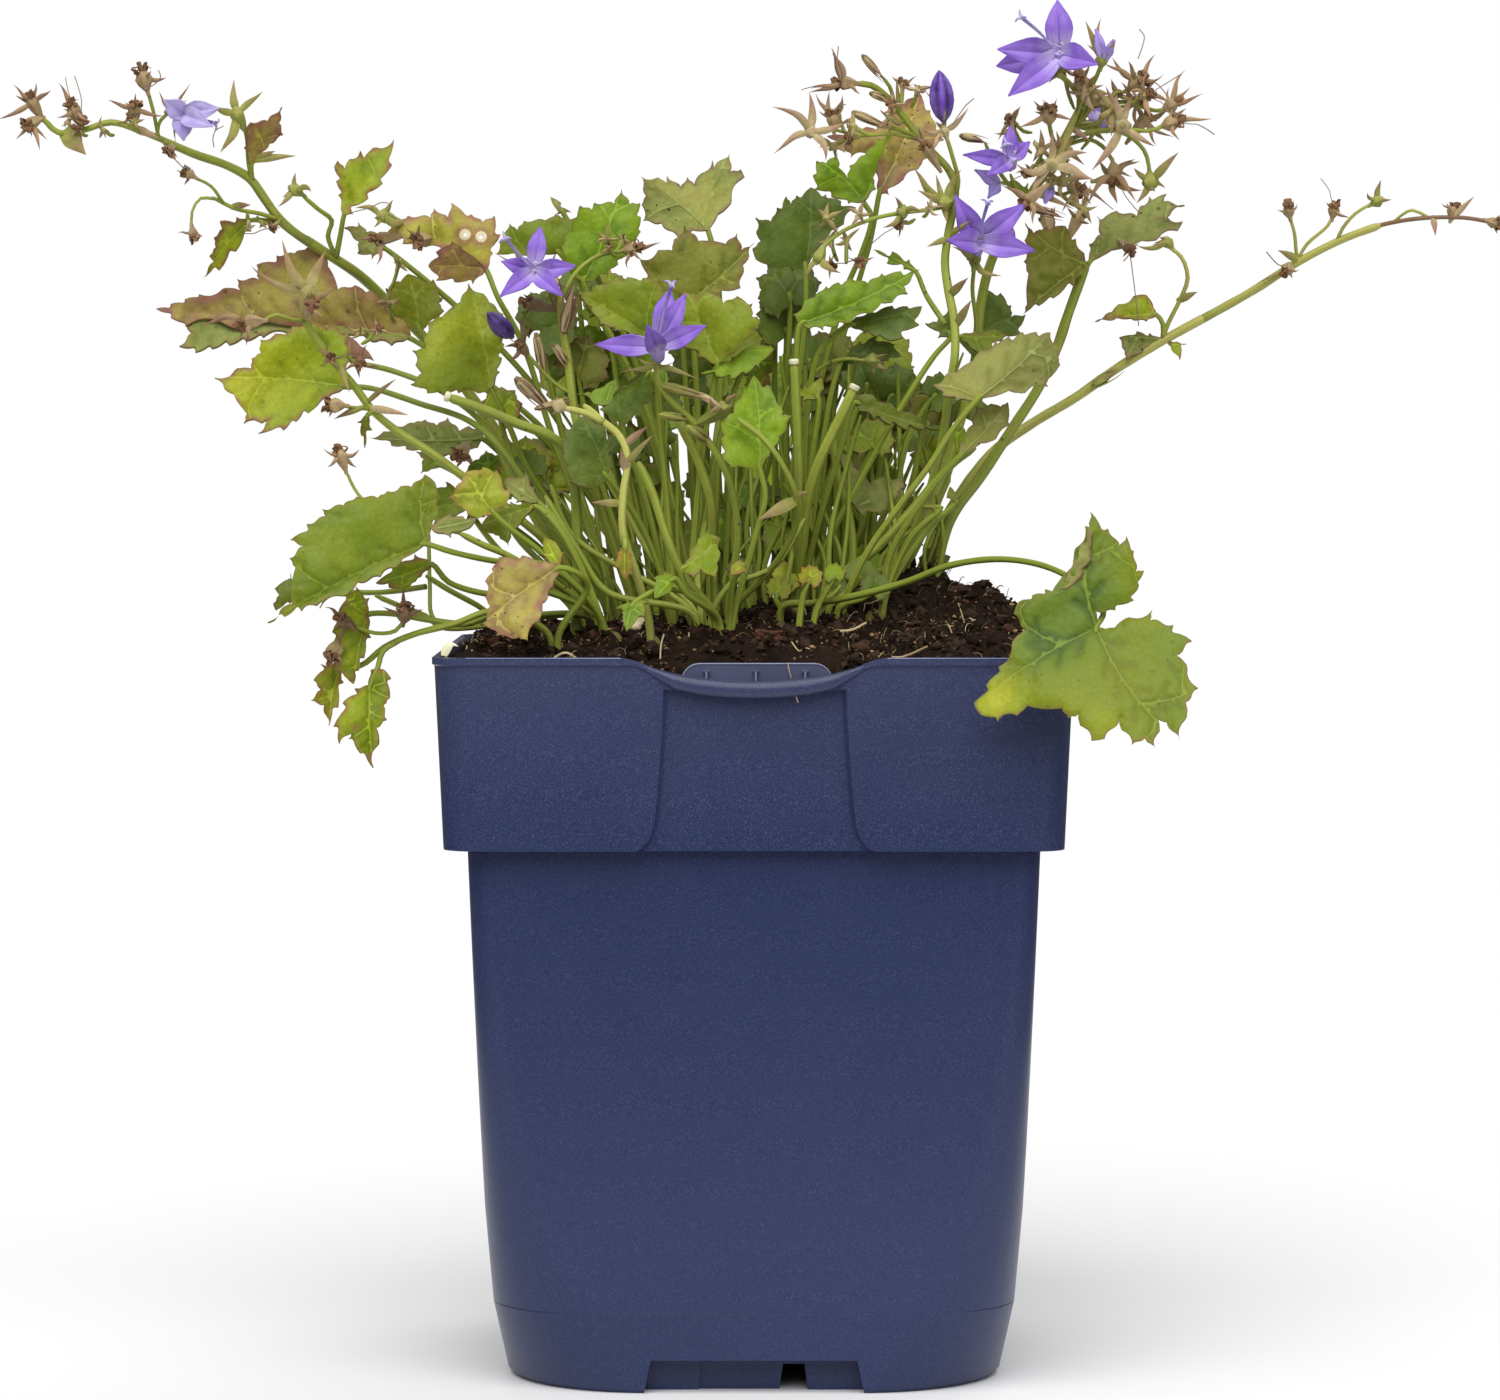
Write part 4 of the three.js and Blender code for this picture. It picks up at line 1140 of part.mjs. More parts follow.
// Loose bits on the soil: a cream pebble and chips of bark, each a small faceted lump.
const LUMPS = [
  { name: "pebble", at: [-20.6, -24], size: [5, 4, 3.4], turn: 0.3, colour: 0xcfc3a0 },
  { name: "bark_chip_left", at: [-46, -30], size: [4.4, 2.6, 2.2], turn: 0.5, colour: 0x6b4a2f },
  { name: "bark_chip_middle", at: [2.6, -41], size: [5, 3, 2.4], turn: 0.1, colour: 0x7a4a33 },
];

function lumpSolid({ at: [x, y], size: [length, depth, height], turn: angle }) {
  const geometry = new THREE.IcosahedronGeometry(0.5, 0);
  geometry.scale(length, depth, height);
  geometry.rotateZ(angle);
  geometry.translate(x, y, soilHeight(x, y) + height / 2 + 0.5);
  return toSolid(geometry);
}

// The whole plant

const COLOURS = { pot: 0x3f4566, soil: 0x2b1f16, petal: 0xa58fdc, bud: 0x5a4088, leaf: 0x77933a, stem: 0x9aa34c };

const plant = new THREE.Group();
plant.name = "potted_bellflower";
plant.add(toMesh("pot", potSolid(), COLOURS.pot, 0.5));
plant.add(toMesh("soil", soilSolid(), COLOURS.soil, 0.95));
for (const lump of LUMPS) plant.add(toMesh(lump.name, lumpSolid(lump), lump.colour, 0.85));
for (const shoot of SHOOTS) {
  const colour = shoot.name.startsWith("leaf") || shoot.name.startsWith("leaves") ? COLOURS.leaf : COLOURS.stem;
  plant.add(toMesh(shoot.name, shootSolid(shoot), colour, 0.6));
}
for (const bloom of BLOOMS) plant.add(toMesh(bloom.name, bloomSolid(bloom), COLOURS.petal, 0.6));
for (const bud of BUDS) plant.add(toMesh(bud.name, budSolid(bud), COLOURS.bud, 0.6));

export default plant;
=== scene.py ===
"""Builds the look of a potted bellflower round its packed solids: pot, soil, stems, leaves and flowers."""

import math
import random

import bpy
import numpy as np
from bpy.props import FloatProperty, FloatVectorProperty, IntProperty, PointerProperty
from mathutils import Matrix, Vector, geometry, noise


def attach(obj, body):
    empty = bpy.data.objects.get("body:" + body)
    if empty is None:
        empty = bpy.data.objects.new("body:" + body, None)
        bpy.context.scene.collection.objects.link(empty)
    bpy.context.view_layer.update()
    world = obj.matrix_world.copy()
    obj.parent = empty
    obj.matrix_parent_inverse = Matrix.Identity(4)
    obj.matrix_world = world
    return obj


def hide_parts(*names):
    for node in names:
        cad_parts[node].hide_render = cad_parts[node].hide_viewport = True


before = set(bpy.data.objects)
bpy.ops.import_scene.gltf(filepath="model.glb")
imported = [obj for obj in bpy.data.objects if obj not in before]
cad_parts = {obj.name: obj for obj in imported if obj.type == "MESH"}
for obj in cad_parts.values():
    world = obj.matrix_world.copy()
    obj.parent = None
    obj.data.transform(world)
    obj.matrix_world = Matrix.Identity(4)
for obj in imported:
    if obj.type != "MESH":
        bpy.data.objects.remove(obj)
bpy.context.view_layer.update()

bl_info = {
    "name": "Potted Bellflower",
    "version": (1, 0, 0),
    "blender": (4, 5, 0),
    "location": "3D View > Sidebar > Bellflower",
    "description": "Builds a bellflower in a square nursery pot, piece by piece",
    "category": "Object",
}

# Tables and sizes are in millimetres, and become metres where a mesh is made.
MM = 0.001

# Driving sizes of the pot
RIM_HALF = 55.0
POT_HEIGHT = 128.8
LEDGE_HEIGHT = 95.5
WALL = 1.7
FLOOR_UNDER = 5.0
FLOOR_TOP = 7.0
FOOT_HALF = 42.8
CLEARANCE = 0.3
COLLAR_CORNER = 6.0

# The walls from the foot up, as half width and height.
OUTER_WALL = [(FOOT_HALF, 0), (43.8, 1.2), (46.06, 14.25), (45.99, 14.45), (46.08, 14.65), (47.2, 32),
              (48.3, 61), (49.58, 94.9), (49.6, LEDGE_HEIGHT)]
COLLAR_WALL = [(53.6, LEDGE_HEIGHT), (53.63, 96.1), (RIM_HALF, 127.3), (55.4, 127.6), (55.4, 128.7),
               (54, POT_HEIGHT)]
COLLAR_INSIDE = [(RIM_HALF - WALL - 0.2, 127), (53.6 - WALL, 97.3)]
INNER_WALL = [(48.4, 97.3), (47.1, 61), (44.8, 14.6), (FOOT_HALF, FLOOR_TOP)]
FOOT_RING_INSIDE = [(0.4, FLOOR_UNDER), (36.5, FLOOR_UNDER), (37.5, 0)]

# Cut-outs in the foot ring of each side: how far in they reach, and their outline in x and z.
FOOT_CUTS = [(39.1, [(-19.4, -1), (19.4, -1), (18, 6), (-18, 6)]),
             (38.3, [(-9.7, -1), (9.5, -1), (8.9, 6), (-9.2, 6)])]
DRAIN_SLOT = [(4.2, -1), (9.5, -1), (8.8, 4.4), (5.1, 4.4)]

# The right-hand edge of the sunk field in the middle of each side of the collar, from the top down.
FIELD_TOP = 124
FIELD_EDGE = [(14.8, FIELD_TOP), (15.1, 117), (15.9, 106), (16.5, 100.8), (17.3, 98.6), (18.7, 96.9),
              (21, 96.0), (24, 95.6), (24, 93)]
FIELD_FLARE = 0.7
FIELD_LEAN = math.radians(2.4)
FIELD_SHIFT = Vector((0, 4.8, 1.4)) * MM

DIP_HALF = 22.8
DIP_FLOOR = 124.8
# How deep the rim sinks in the dip, from its middle out to its end, as parts of the whole.
DIP_SHAPE = [(0, 1), (0.15, 0.98), (0.3, 0.92), (0.45, 0.82), (0.6, 0.67), (0.75, 0.44), (0.86, 0.18),
             (0.95, 0.04), (1, 0)]
# The lip along the dip, as distance from the middle, height and how far it stands out.
LIP_SHAPE = [(0, 2.9, 1.5), (9, 2.9, 1.5), (13.7, 2.6, 1.2), (16, 1.7, 0.6), (18.5, 0.95, 0.4),
             (22.8, 0.95, 0.4)]
LIP_BACK = -53.6
# A painted highlight: a thin lighter line along the rim on both sides of the dip, where the rounded top
# edge catches the light. Given as the x of its points, its radius and its place.
RIM_HIGHLIGHT_LINE = (49.4, 44, 38, 32, 27, DIP_HALF)
RIM_HIGHLIGHT_RADIUS = 0.14
RIM_HIGHLIGHT_PLACE = (-55.02, 128.72)

# The tongue for a label, with the webs and the ribs that stiffen it.
TONGUE = {"left": -12.4, "right": 13.4, "top": 127.7, "bottom": 101.0, "y": -49.0, "thickness": 1.1}
TONGUE_RIBS = (-8.2, 0.3, 8.8)
TONGUE_CORNER = 3
WEB_BELOW_TOP = 4.6
RIB_DEPTH = 1.4

# The soil is domed, with a heap round the right-hand stems and a dip behind the label tongue.
SOIL_AT_WALL = 128.5
SOIL_DOME = 5.0
SOIL_HEAPS = [(28, 8, 13, 13, 9), (42, 2, 6, 6, 4), (0, -54, 20, 6, -4)]
SOIL_HALF = 52.9
SOIL_CORNER = 4.4
SOIL_STRAIGHT = SOIL_HALF - SOIL_CORNER
# Half widths and heights of the block of soil from the ledge down to the floor.
SOIL_LEVELS = [(51.5, 97.7), (48.0, 97.6), (46.8, 61.3), (44.4, 14.9), (42.4, 7.4)]
# The soil leaves a pocket free round the tongue.
POCKET = {"left": -12.9, "right": 13.9, "back": -48, "front": -51.6, "bottom": 100.0}

# The plant was measured as seen from EYE. A point is written as (x, z, depth): x and z as read on
# the upright plane y = plane, and depth the y at which the point lies on that line of sight.
EYE = Vector((-0.7, -1000.0, 170.0))
STALK_RISE = 3.0
STALK_DEPTH = 7.0

# The camera stands at EYE and looks down a little.
CAMERA_LENS = 132.8
CAMERA_DIP = 2.93
SENSOR_WIDTH = 36.0

# Directions used in many places
TO_FRONT = Vector((0, -1, 0))
TO_BACK = Vector((0, 1, 0))
TO_RIGHT = Vector((1, 0, 0))


def srgb(red, green, blue, by=1.0, add=0):
    """A colour as read on a screen, each part from 0 to 255, made darker or lighter, as scene values."""
    parts = [min(255, part * by + add) / 255 for part in (red, green, blue)]
    return tuple(part / 12.92 if part < 0.04 else ((part + 0.055) / 1.055) ** 2.4 for part in parts)


# Entries of the tables

def a_shoot(name, plane, root, stump, **grown):
    """A stem or a tuft: its plane, the place and the radius of its crown, and what grows on it."""
    return {"name": name, "plane": plane, "root": root, "stump": stump, **grown}


def a_stem(radius, *route, **more):
    """A stem from its tip down. With to_root it runs on into the soil, cut shows its pith, dry is brown."""
    return {"radius": radius, "route": route, **more}


def a_leaf(tint, heart, lean, *margin, **more):
    """A leaf: where its stalk meets it, how its depth grows with x and z, and its margin, x and z in turn.

    The stalk runs by way to joins, or to the crown where nothing is joined, and a bare leaf has none.
    """
    edge = list(zip(margin[::2], margin[1::2]))
    return {"tint": tint, "heart": heart, "lean": lean, "edge": edge, **more}


def a_calyx(tint, ovary, centre, foot, *tips):
    """A calyx: the radius and centre of its ovary, the foot of its stalk, and the tips of its sepals."""
    return {"tint": tint, "ovary": ovary, "at": centre, "from": foot, "tips": tips}


def a_bloom(name, plane, base, throat, width, style, *tips, faded=0.0):
    """An open flower: its foot and mouth, the width of a lobe, the end of its style and the lobes' tips."""
    return {"name": name, "plane": plane, "base": base, "throat": throat, "width": width, "style": style,
            "tips": tips, "faded": faded}


SHOOTS = [
  a_shoot("stem_left_long", 2, (-24, 10), 2.4, stems=[
    a_stem(1.1, (-82, 202.6, 4), (-77, 199.4, 7), (-72, 196.1, 11), (-69.4, 193.9, 14), (-66, 190.5, 17),
      (-58, 182.5, 20), (-44, 164, 19), (-31, 147, 14), to_root=True),
    a_stem(0.9, (-107, 220, -4), (-101, 217.4, -3), (-95, 215.3, -1), (-91, 213, 0), (-88.5, 209.6, 1),
      (-85.6, 205.6, 2), (-82, 202.6, 4), (-80, 201.4, 5)),
    a_stem(0.65, (-128.5, 224, -8), (-125.5, 221.2, -7), (-121, 221.6, -7), (-116, 223, -6),
      (-111.5, 221.8, -5), (-107, 220, -4), (-104.5, 218.9, -3.6)),
    a_stem(0.5, (-97.8, 209.6, -6), (-93.5, 207.5, -4), (-89, 206.6, -1), (-85, 205.2, 2)),
    a_stem(0.35, (-101.5, 204, -9), (-101.4, 207, -8.5), (-99.8, 209.4, -7), (-97, 209.2, -6)),
    a_stem(0.35, (-101.2, 213.2, -8), (-98, 211.6, -7), (-95.8, 208.6, -5.4)),
    a_stem(0.55, (-81.6, 210, -3), (-78.6, 207.4, -1), (-76.2, 205.4, 2), (-76.9, 202.6, 4),
      (-75.6, 199, 7)),
    a_stem(0.45, (-109.5, 229.4, -7), (-108.3, 225, -6), (-107.7, 222, -5), (-107.4, 220.3, -4)),
    a_stem(0.45, (-105.2, 224.9, -9), (-107, 223.4, -7), (-107.6, 221.2, -5), (-107.2, 220, -4)),
    a_stem(0.5, (-111.5, 224.6, -7), (-112.4, 223, -6), (-112, 221.8, -5)),
    a_stem(0.5, (-93, 224, -7), (-91.6, 221, -5), (-91.2, 216, -2), (-90.6, 212.6, 0))], leaves=[
    a_leaf("fresh", (-74, 206.4, 3), (0.15, 0.35), -75, 210, -75.7, 215, -75.1, 216.1, -73.9, 214.6,
      -71, 217.9, -70.4, 216.6, -64.9, 219.9, -65.3, 215.4, -67, 212, -69.6, 209.3, -72.4, 206.6,
      way=[(-74.6, 203, 5)], joins=(-75.4, 199, 7)),
    a_leaf("fresh", (-91, 205.4, -1), (-0.3, -0.5), -93.4, 206, -96.4, 205.2, -95.9, 203.8, -97.5, 202.2,
      -97.1, 200.6, -98.3, 199, -97.5, 198, -99.7, 194.9, -96.5, 196.4, -93.5, 199.8, -90.8, 203.4, way=[],
      joins=(-86.4, 205.2, 2)),
    a_leaf("bronze", (-90.7, 215.4, -2), (0.5, -0.4), -92, 218.4, -91.6, 221.6, -90.7, 223, -87.6, 223.3,
      -85.1, 225.8, -85.7, 223, -84.9, 220.8, -87.4, 219.2, -89.4, 216.6, way=[], joins=(-90.6, 212.4, 0))],
    calyces=[
    a_calyx("green", 1.4, (-93.2, 224.6, -7), (-91.8, 221.6, -5), (-93.3, 230.7, -6), (-88.6, 228, -9),
      (-97, 226, -11), (-97.3, 218.4, -8)),
    a_calyx("green", 1.3, (-82.9, 210.9, -4), (-81.4, 210, -3), (-80, 210.2, -9), (-82.6, 214, -4),
      (-85.4, 208, -7)),
    a_calyx("dried", 1.3, (-130, 226.6, -9), (-128.4, 223.8, -8), (-136.17, 223.6, -10), (-132.6, 230, -8),
      (-126.8, 228, -12), (-128.6, 230.2, -7), (-133.6, 228, -6)),
    a_calyx("dried", 1.3, (-130.6, 222.8, -11), (-128.4, 223.8, -8), (-133.2, 220.2, -12),
      (-129.4, 218, -13), (-127.8, 220, -9)),
    a_calyx("dried", 1.4, (-122.6, 225.4, -8), (-121, 222, -7), (-124.6, 230.2, -8), (-126, 224, -11),
      (-119, 223.8, -10)),
    a_calyx("dried", 1.7, (-109.9, 230.9, -7), (-109.3, 228.6, -7), (-106.2, 231.5, -8), (-111.7, 233, -7),
      (-108.3, 232.6, -9)),
    a_calyx("dried", 1.3, (-111.6, 225.4, -7), (-112, 222.4, -5), (-116.3, 227.6, -8), (-111.4, 228.4, -8),
      (-107.6, 224, -10)),
    a_calyx("dried", 0.9, (-104.6, 224.9, -9.6), (-105.6, 224.9, -9), (-106.6, 229.4, -8),
      (-101.4, 229.4, -8), (-104.8, 220, -7)),
    a_calyx("dried", 1, (-101.3, 203, -9), (-101.5, 204.2, -9), (-103.8, 203.8, -9), (-100.4, 201.2, -10)),
    a_calyx("dried", 1, (-101.8, 213.7, -8), (-101, 213.2, -8), (-104, 214.6, -9), (-101.9, 215.4, -8),
      (-103.2, 211.8, -7)),
    a_calyx("dried", 1.1, (-105.3, 218.2, -5), (-104.8, 219, -4), (-104.6, 216.2, -8), (-106.8, 217, -6))],
    blades=[
    ((-89.8, 216.4, -2), (-86.3, 217.9, -5), 1.2), ((-89.8, 216.2, -2), (-82.6, 217, -6), 1.4),
      ((-94, 207.8, -4), (-90.8, 208.2, -7), 1.4), ((-124.2, 221, -7), (-120.5, 217.2, -9), 3.4),
      ((-111.7, 221.9, -5), (-107.4, 220.2, -9), 1.6)]),
  a_shoot("leaves_left_high", -5, (-17, 14), 2.4, leaves=[
    a_leaf("bronze", (-61.5, 184, 8), (0.1, 0.4), -66.5, 191.5, -71.5, 193.6, -74.6, 192.8, -76.4, 197,
      -77.3, 200.2, -80, 200.4, -82.4, 199.2, -85.6, 198.9, -89.2, 197.2, -88.8, 194.6, -92.7, 194.7,
      -92.2, 192.7, -99.5, 192, -107.2, 189.3, -102, 186.2, -88, 187.2, -74, 186.4),
    a_leaf("under", (-62, 184.2, 7), (0.1, 1.2), -76, 188.6, -88, 188.6, -97, 188.2, -103.1, 187.8,
      -100.6, 185, -103.1, 182.6, -100.2, 181.5, -88, 184.2, -80, 186.2, -70, 184.6, -65, 182.8, bare=True),
    a_leaf("under", (-66.2, 200.2, 16), (0.2, 0.3), -68.5, 198.2, -71.1, 199.2, -70.8, 201.4, -73.4, 203.8,
      -70.9, 204.8, -69.4, 203, -66.6, 203),
    a_leaf("green", (-60, 185.5, 12.5), (0.2, 0.3), -65, 188, -66, 193, -62, 195.6, -57.5, 194.6,
      -55.4, 191.4, -56.6, 190.4, -55.6, 189, -57, 187.6)]),
  a_shoot("stem_left_low", -5, (-29, -6), 2.4, stems=[
    a_stem(0.85, (-81.3, 188.6, -18), (-78.6, 183.8, -17), (-74.4, 178.6, -16), (-71.4, 175, -15.5),
      (-68.6, 171.2, -15.5), (-64.4, 167.6, -15.5), (-58, 163.5, -16), (-50, 157.5, -15), (-42, 151.5, -13),
      (-35, 145, -10), to_root=True),
    a_stem(0.45, (-88.4, 187.1, -22), (-85.6, 188.3, -21), (-83, 187.4, -20), (-80.6, 187.3, -18)),
    a_stem(0.45, (-74, 172, -21), (-71.6, 171.6, -18), (-69, 171.4, -15.6))], leaves=[
    a_leaf("fresh", (-73.6, 175.4, -7), (0.1, 0.35), -72.6, 180, -72.8, 185.2, -76, 186.8, -80, 187.2,
      -84, 184.6, -88.6, 183.8, -88.4, 181.4, -90.1, 180.4, -90.2, 178.6, -96.8, 176.9, -93.4, 174,
      -91, 170.6, -91.6, 168.8, -86.6, 169.8, -89, 167, -84.5, 167.6, -80, 170.6, -76.4, 173.2,
      way=[(-69, 175.2, -7), (-60, 172.4, -10), (-50, 168.6, -12), (-41, 158, -13)]),
    a_leaf("dried", (-72.6, 180.3, -2), (0, 0.4), -76, 182.8, -73, 184.6, -69.4, 182.9, -68.2, 180,
      way=[(-65, 178.3, -3), (-56, 174.6, -5), (-48, 168, -8), (-43, 158, -10)]),
    a_leaf("green", (-69.4, 170.3, -16), (0.1, -0.3), -71.2, 169, -69.9, 164.3, -68.6, 167.6, way=[],
      joins=(-68.4, 171, -15.6))], calyces=[
    a_calyx("bronze", 1.6, (-79.8, 192.4, -20), (-81, 188.4, -18), (-83.6, 202, -20), (-76.2, 199.8, -20),
      (-89.8, 197.3, -22), (-75, 194.4, -25)),
    a_calyx("dried", 1.4, (-79.2, 189.8, -23.5), (-80.6, 187.6, -18), (-76.6, 187.9, -27),
      (-79, 186.4, -24)),
    a_calyx("dried", 1.5, (-90.6, 186.9, -22.5), (-88, 187.2, -22), (-92, 182.9, -23), (-89.6, 182.9, -26),
      (-99, 184.6, -25)),
    a_calyx("dried", 1.5, (-75.2, 172, -21.5), (-73.4, 172, -21), (-77.2, 173, -22), (-76, 169.8, -22))],
    blades=[
    ((-69, 171.5, -15.5), (-62, 170.3, -21), 1.4), ((-69.6, 172.4, -15.5), (-64.2, 176.8, -21), 1),
      ((-74.4, 179, -16), (-72.6, 174.4, -21), 1.2), ((-70.4, 171.6, -17), (-75.4, 169.6, -21), 1.2)]),
  a_shoot("leaves_left_mid", -5, (-23.5, 2), 2.4, leaves=[
    a_leaf("green", (-47.3, 175, -14), (0.25, 0.25), -53, 174.2, -58.6, 174.2, -61.6, 175.8, -59.5, 177.8,
      -61.3, 181.9, -58.9, 182.2, -58.6, 187, -56, 187.8, -52.6, 190.6, -51.2, 193.8, -47.4, 190.4,
      -45, 188.4, -44.8, 183, -45.6, 178, tones=[(-57, 184, 5, 0.5), (-50, 188, 4, 0.3),
      (-52, 177, 5, -0.4)], way=[(-44.5, 169.5, -12.5), (-40.6, 160.5, -8.6), (-33, 149, -4)]),
    a_leaf("rosy", (-48, 196.4, -4), (0.15, 0.3), -52, 199.4, -59, 200.4, -63, 201, -65.6, 203.2,
      -66.6, 206.3, -62, 206, -58, 205.6, -57.3, 207.3, -54.6, 205.2, -54.3, 208.3, -50.6, 206.2,
      -48.6, 204.8, -46.5, 206, -45.4, 202.6, -46.8, 199.2, holes=[(-51.8, 202.6, 0.38),
      (-48.9, 202.2, 0.4)], way=[(-46, 191.6, -5), (-41.4, 183, -3), (-36, 166, -2)]),
    a_leaf("bronze", (-48, 196.5, -4.2), (0.35, -0.3), -50.4, 193.8, -57, 194.4, -58.4, 197, -57, 199.4,
      -54.4, 202, -52.4, 200, bare=True)], calyces=[
    a_calyx("green", 1.4, (-66.6, 206, -10), (-63, 204.4, -3.8), (-65.2, 209, -11), (-71.6, 206.8, -11),
      (-61.6, 206.4, -14)),
    a_calyx("dried", 1.5, (-60.2, 201.6, -10), (-58, 202, -3.8), (-59.6, 204.4, -13), (-63, 203.6, -12)),
    a_calyx("dried", 1.3, (-66.8, 201.9, -7), (-62.8, 202.4, -4), (-70.4, 201, -9), (-66, 197.4, -9))]),
  a_shoot("cut_stem_left", -20, (-31, -22), 2, stems=[
    a_stem(1.05, (-54.3, 173.6, -31), (-48, 171.4, -30), (-42, 168.9, -29), (-36, 166.6, -28),
      (-33, 163.5, -26), (-31.5, 154, -23), to_root=True, cut=True)]),
  a_shoot("leaves_left_front", -22, (-25, -29), 2.6, leaves=[
    a_leaf("green", (-58, 147.6, -47), (0.1, 0.45), -56.8, 151.5, -55.4, 156, -56.4, 158.4, -58.2, 159.8,
      -60.5, 157.6, -64.8, 156.8, -66.5, 155.6, -70.2, 155.9, -72.5, 154.3, -76.3, 153.7, -75.5, 152.4,
      -79, 151, -82, 148.2, -79.5, 147.2, -82.1, 145, -81, 143.4, -81.7, 137, -86, 133.6, -80, 135.7,
      -76, 138, -76.8, 136.2, -70, 140.8, -66, 141.8, -62, 145, way=[(-53.5, 146.2, -46), (-46, 144.6, -42),
      (-36, 143.4, -36)]),
    a_leaf("under", (-57, 150.2, -45.9), (-0.3, 0.5), -57.4, 151.6, -53.6, 152.7, -49, 152, -50.2, 150.4,
      -53.6, 148.6, bare=True),
    a_leaf("yellow", (-46, 153, -36), (0.1, 0.2), -48.5, 152.1, -50.5, 152.8, -51.6, 154.2, -54, 155.8,
      -51.6, 158.4, -50.8, 160.2, -48, 161.2, -45.4, 160.6, -43.2, 157, -42.9, 154.5, -45, 154.2,
      way=[(-43, 150.2, -36), (-37.2, 145.6, -34)]),
    a_leaf("green", (-38.6, 154.2, -30), (-0.2, 0.4), -40.4, 152.4, -43, 149.4, -43.4, 147.2, -45, 149,
      -46.6, 149.4, -48.2, 150.6, -47, 153.4, -43, 155, way=[(-34, 149.6, -31)]),
    a_leaf("under", (-38.2, 155, -27), (0.1, 0.3), -42, 154.8, -43.6, 157, -44, 159, -40.4, 160.2,
      -38.8, 157.6, way=[(-34.4, 151, -29)]),
    a_leaf("fresh", (-57, 144, -40), (-0.2, 0.6), -58.8, 141.9, -60.5, 140.7, -62.3, 139.2, -66.8, 140.6,
      -64, 143.6, -60, 145.8, way=[(-54, 140.8, -38), (-46, 138.6, -36), (-38, 139.4, -33)])]),
  a_shoot("leaves_left_behind", -22, (-29, 20), 2.2, leaves=[
    a_leaf("under", (-48, 166.2, 6), (-0.1, 0.5), -47.8, 168.3, -52, 167.4, -54, 169.8, -56, 168.4,
      -58, 169.4, -60, 168.8, -62.8, 168.2, -63.6, 167.2, -68.1, 166.4, -64, 164.9, -56, 162.8, -51, 162.8),
    a_leaf("green", (-55, 161.4, 2), (0.1, 0.4), -57, 160.8, -58.9, 160, -58.3, 162.6, -59.6, 163.8,
      -56, 163.6),
    a_leaf("green", (-50.4, 154.6, 4), (0.1, 0.4), -53, 151.6, -56.6, 151, -58.6, 153.6, -57, 157,
      -54.4, 158.6, -51.6, 157.6)], calyces=[
    a_calyx("dried", 1.6, (-51.8, 163.4, -1), (-50.6, 165.4, 5.7), (-53.6, 161.2, -5), (-50.2, 161.6, -5),
      (-53.4, 165.4, -6))]),
  a_shoot("leaves_left_low", -22, (-34, -38), 2.6, stems=[
    a_stem(0.45, (-61.8, 134.2, -41), (-63.4, 132.2, -40), (-67, 131.8, -38), (-70.8, 133, -36.9))],
    leaves=[
    a_leaf("fresh", (-68.4, 135, -36), (0.1, 0.25), -68, 138, -70.4, 140, -72.6, 138.6, -74.6, 132,
      -75, 128, -74, 124.6, -70.8, 122.8, -69, 127.4, -67.7, 131, way=[(-64, 135.2, -37), (-58, 134.2, -38),
      (-51, 133.4, -39), (-45, 135, -39.5)]),
    a_leaf("yellow", (-73.4, 126, -34), (0.3, 0.2), -76.6, 126.3, -77.9, 123.4, -76.6, 121.8, -78.4, 119.8,
      -76, 119, -75.3, 115.3, -73.6, 118.6, -72.6, 123, way=[(-69.6, 126, -35), (-65.4, 129.2, -37),
      (-60, 131.6, -39.5), (-53, 133.4, -42), (-46, 135.6, -42)]),
    a_leaf("fresh", (-68, 122.4, -42), (0.15, 0.3), -67.8, 125.3, -65.4, 125.3, -64.2, 123.7, -64.4, 120.3,
      -65.6, 119, -65, 116.4, -66.8, 115, -67.4, 107.9, -71.8, 113, -70.5, 115.2, -73.4, 112.2,
      -74.4, 115.2, -72.8, 119.5, -70.6, 122, way=[(-66.6, 125.6, -41), (-65.6, 128.6, -39)],
      joins=(-62.6, 130.6, -38)),
    a_leaf("bronze", (-34.4, 143.4, -47), (-0.1, 0.3), -37, 144.8, -41, 145.5, -45.2, 145.2, -47.5, 141,
      -46.6, 136.5, -47.8, 133.4, -45.5, 131.2, -41.5, 131, -40, 130.4, -37.4, 137, -35.4, 140,
      way=[(-31.6, 142.6, -46), (-29.4, 139.8, -42)]),
    a_leaf("fresh", (-34.6, 143.5, -47), (-0.2, 0.8), -33.4, 146, -35.2, 147.9, -37, 148.5, -38, 145.6,
      bare=True)], calyces=[
    a_calyx("dark", 1.6, (-61.8, 135.2, -41.5), (-62, 133.6, -40.8), (-65.8, 136.9, -43.6),
      (-61.9, 139.9, -42.6), (-58.4, 136.9, -43.6)),
    a_calyx("dark", 1.4, (-72.6, 133.9, -39), (-70.6, 133, -36.9), (-75.1, 137.4, -41), (-70.9, 131, -42.6),
      (-74.6, 130, -41)),
    a_calyx("dried", 1.7, (-74.2, 128.4, -39.5), (-73.5, 130.6, -37.4), (-74.4, 125.6, -41.4),
      (-72.2, 126.8, -41.4))]),
  a_shoot("leaves_centre_front", -20, (-5, -34), 2.6, stems=[
    a_stem(0.95, (-20.6, 162, -37), (-18, 156.4, -37.6), (-15.4, 148.4, -38), (-12.4, 141.6, -37),
      to_root=True)], leaves=[
    a_leaf("bright", (1, 161, -40), (0.1, 0.3), -3, 161.4, -4.8, 160.6, -5.8, 163.4, -6, 169, -3.6, 170.6,
      -2, 175, 0, 177.2, 2.4, 175.6, 5.2, 172, 4.9, 170.2, 7, 170.2, 4.4, 166.6, 2.8, 163,
      way=[(2, 156, -40), (0, 148, -38.6)]),
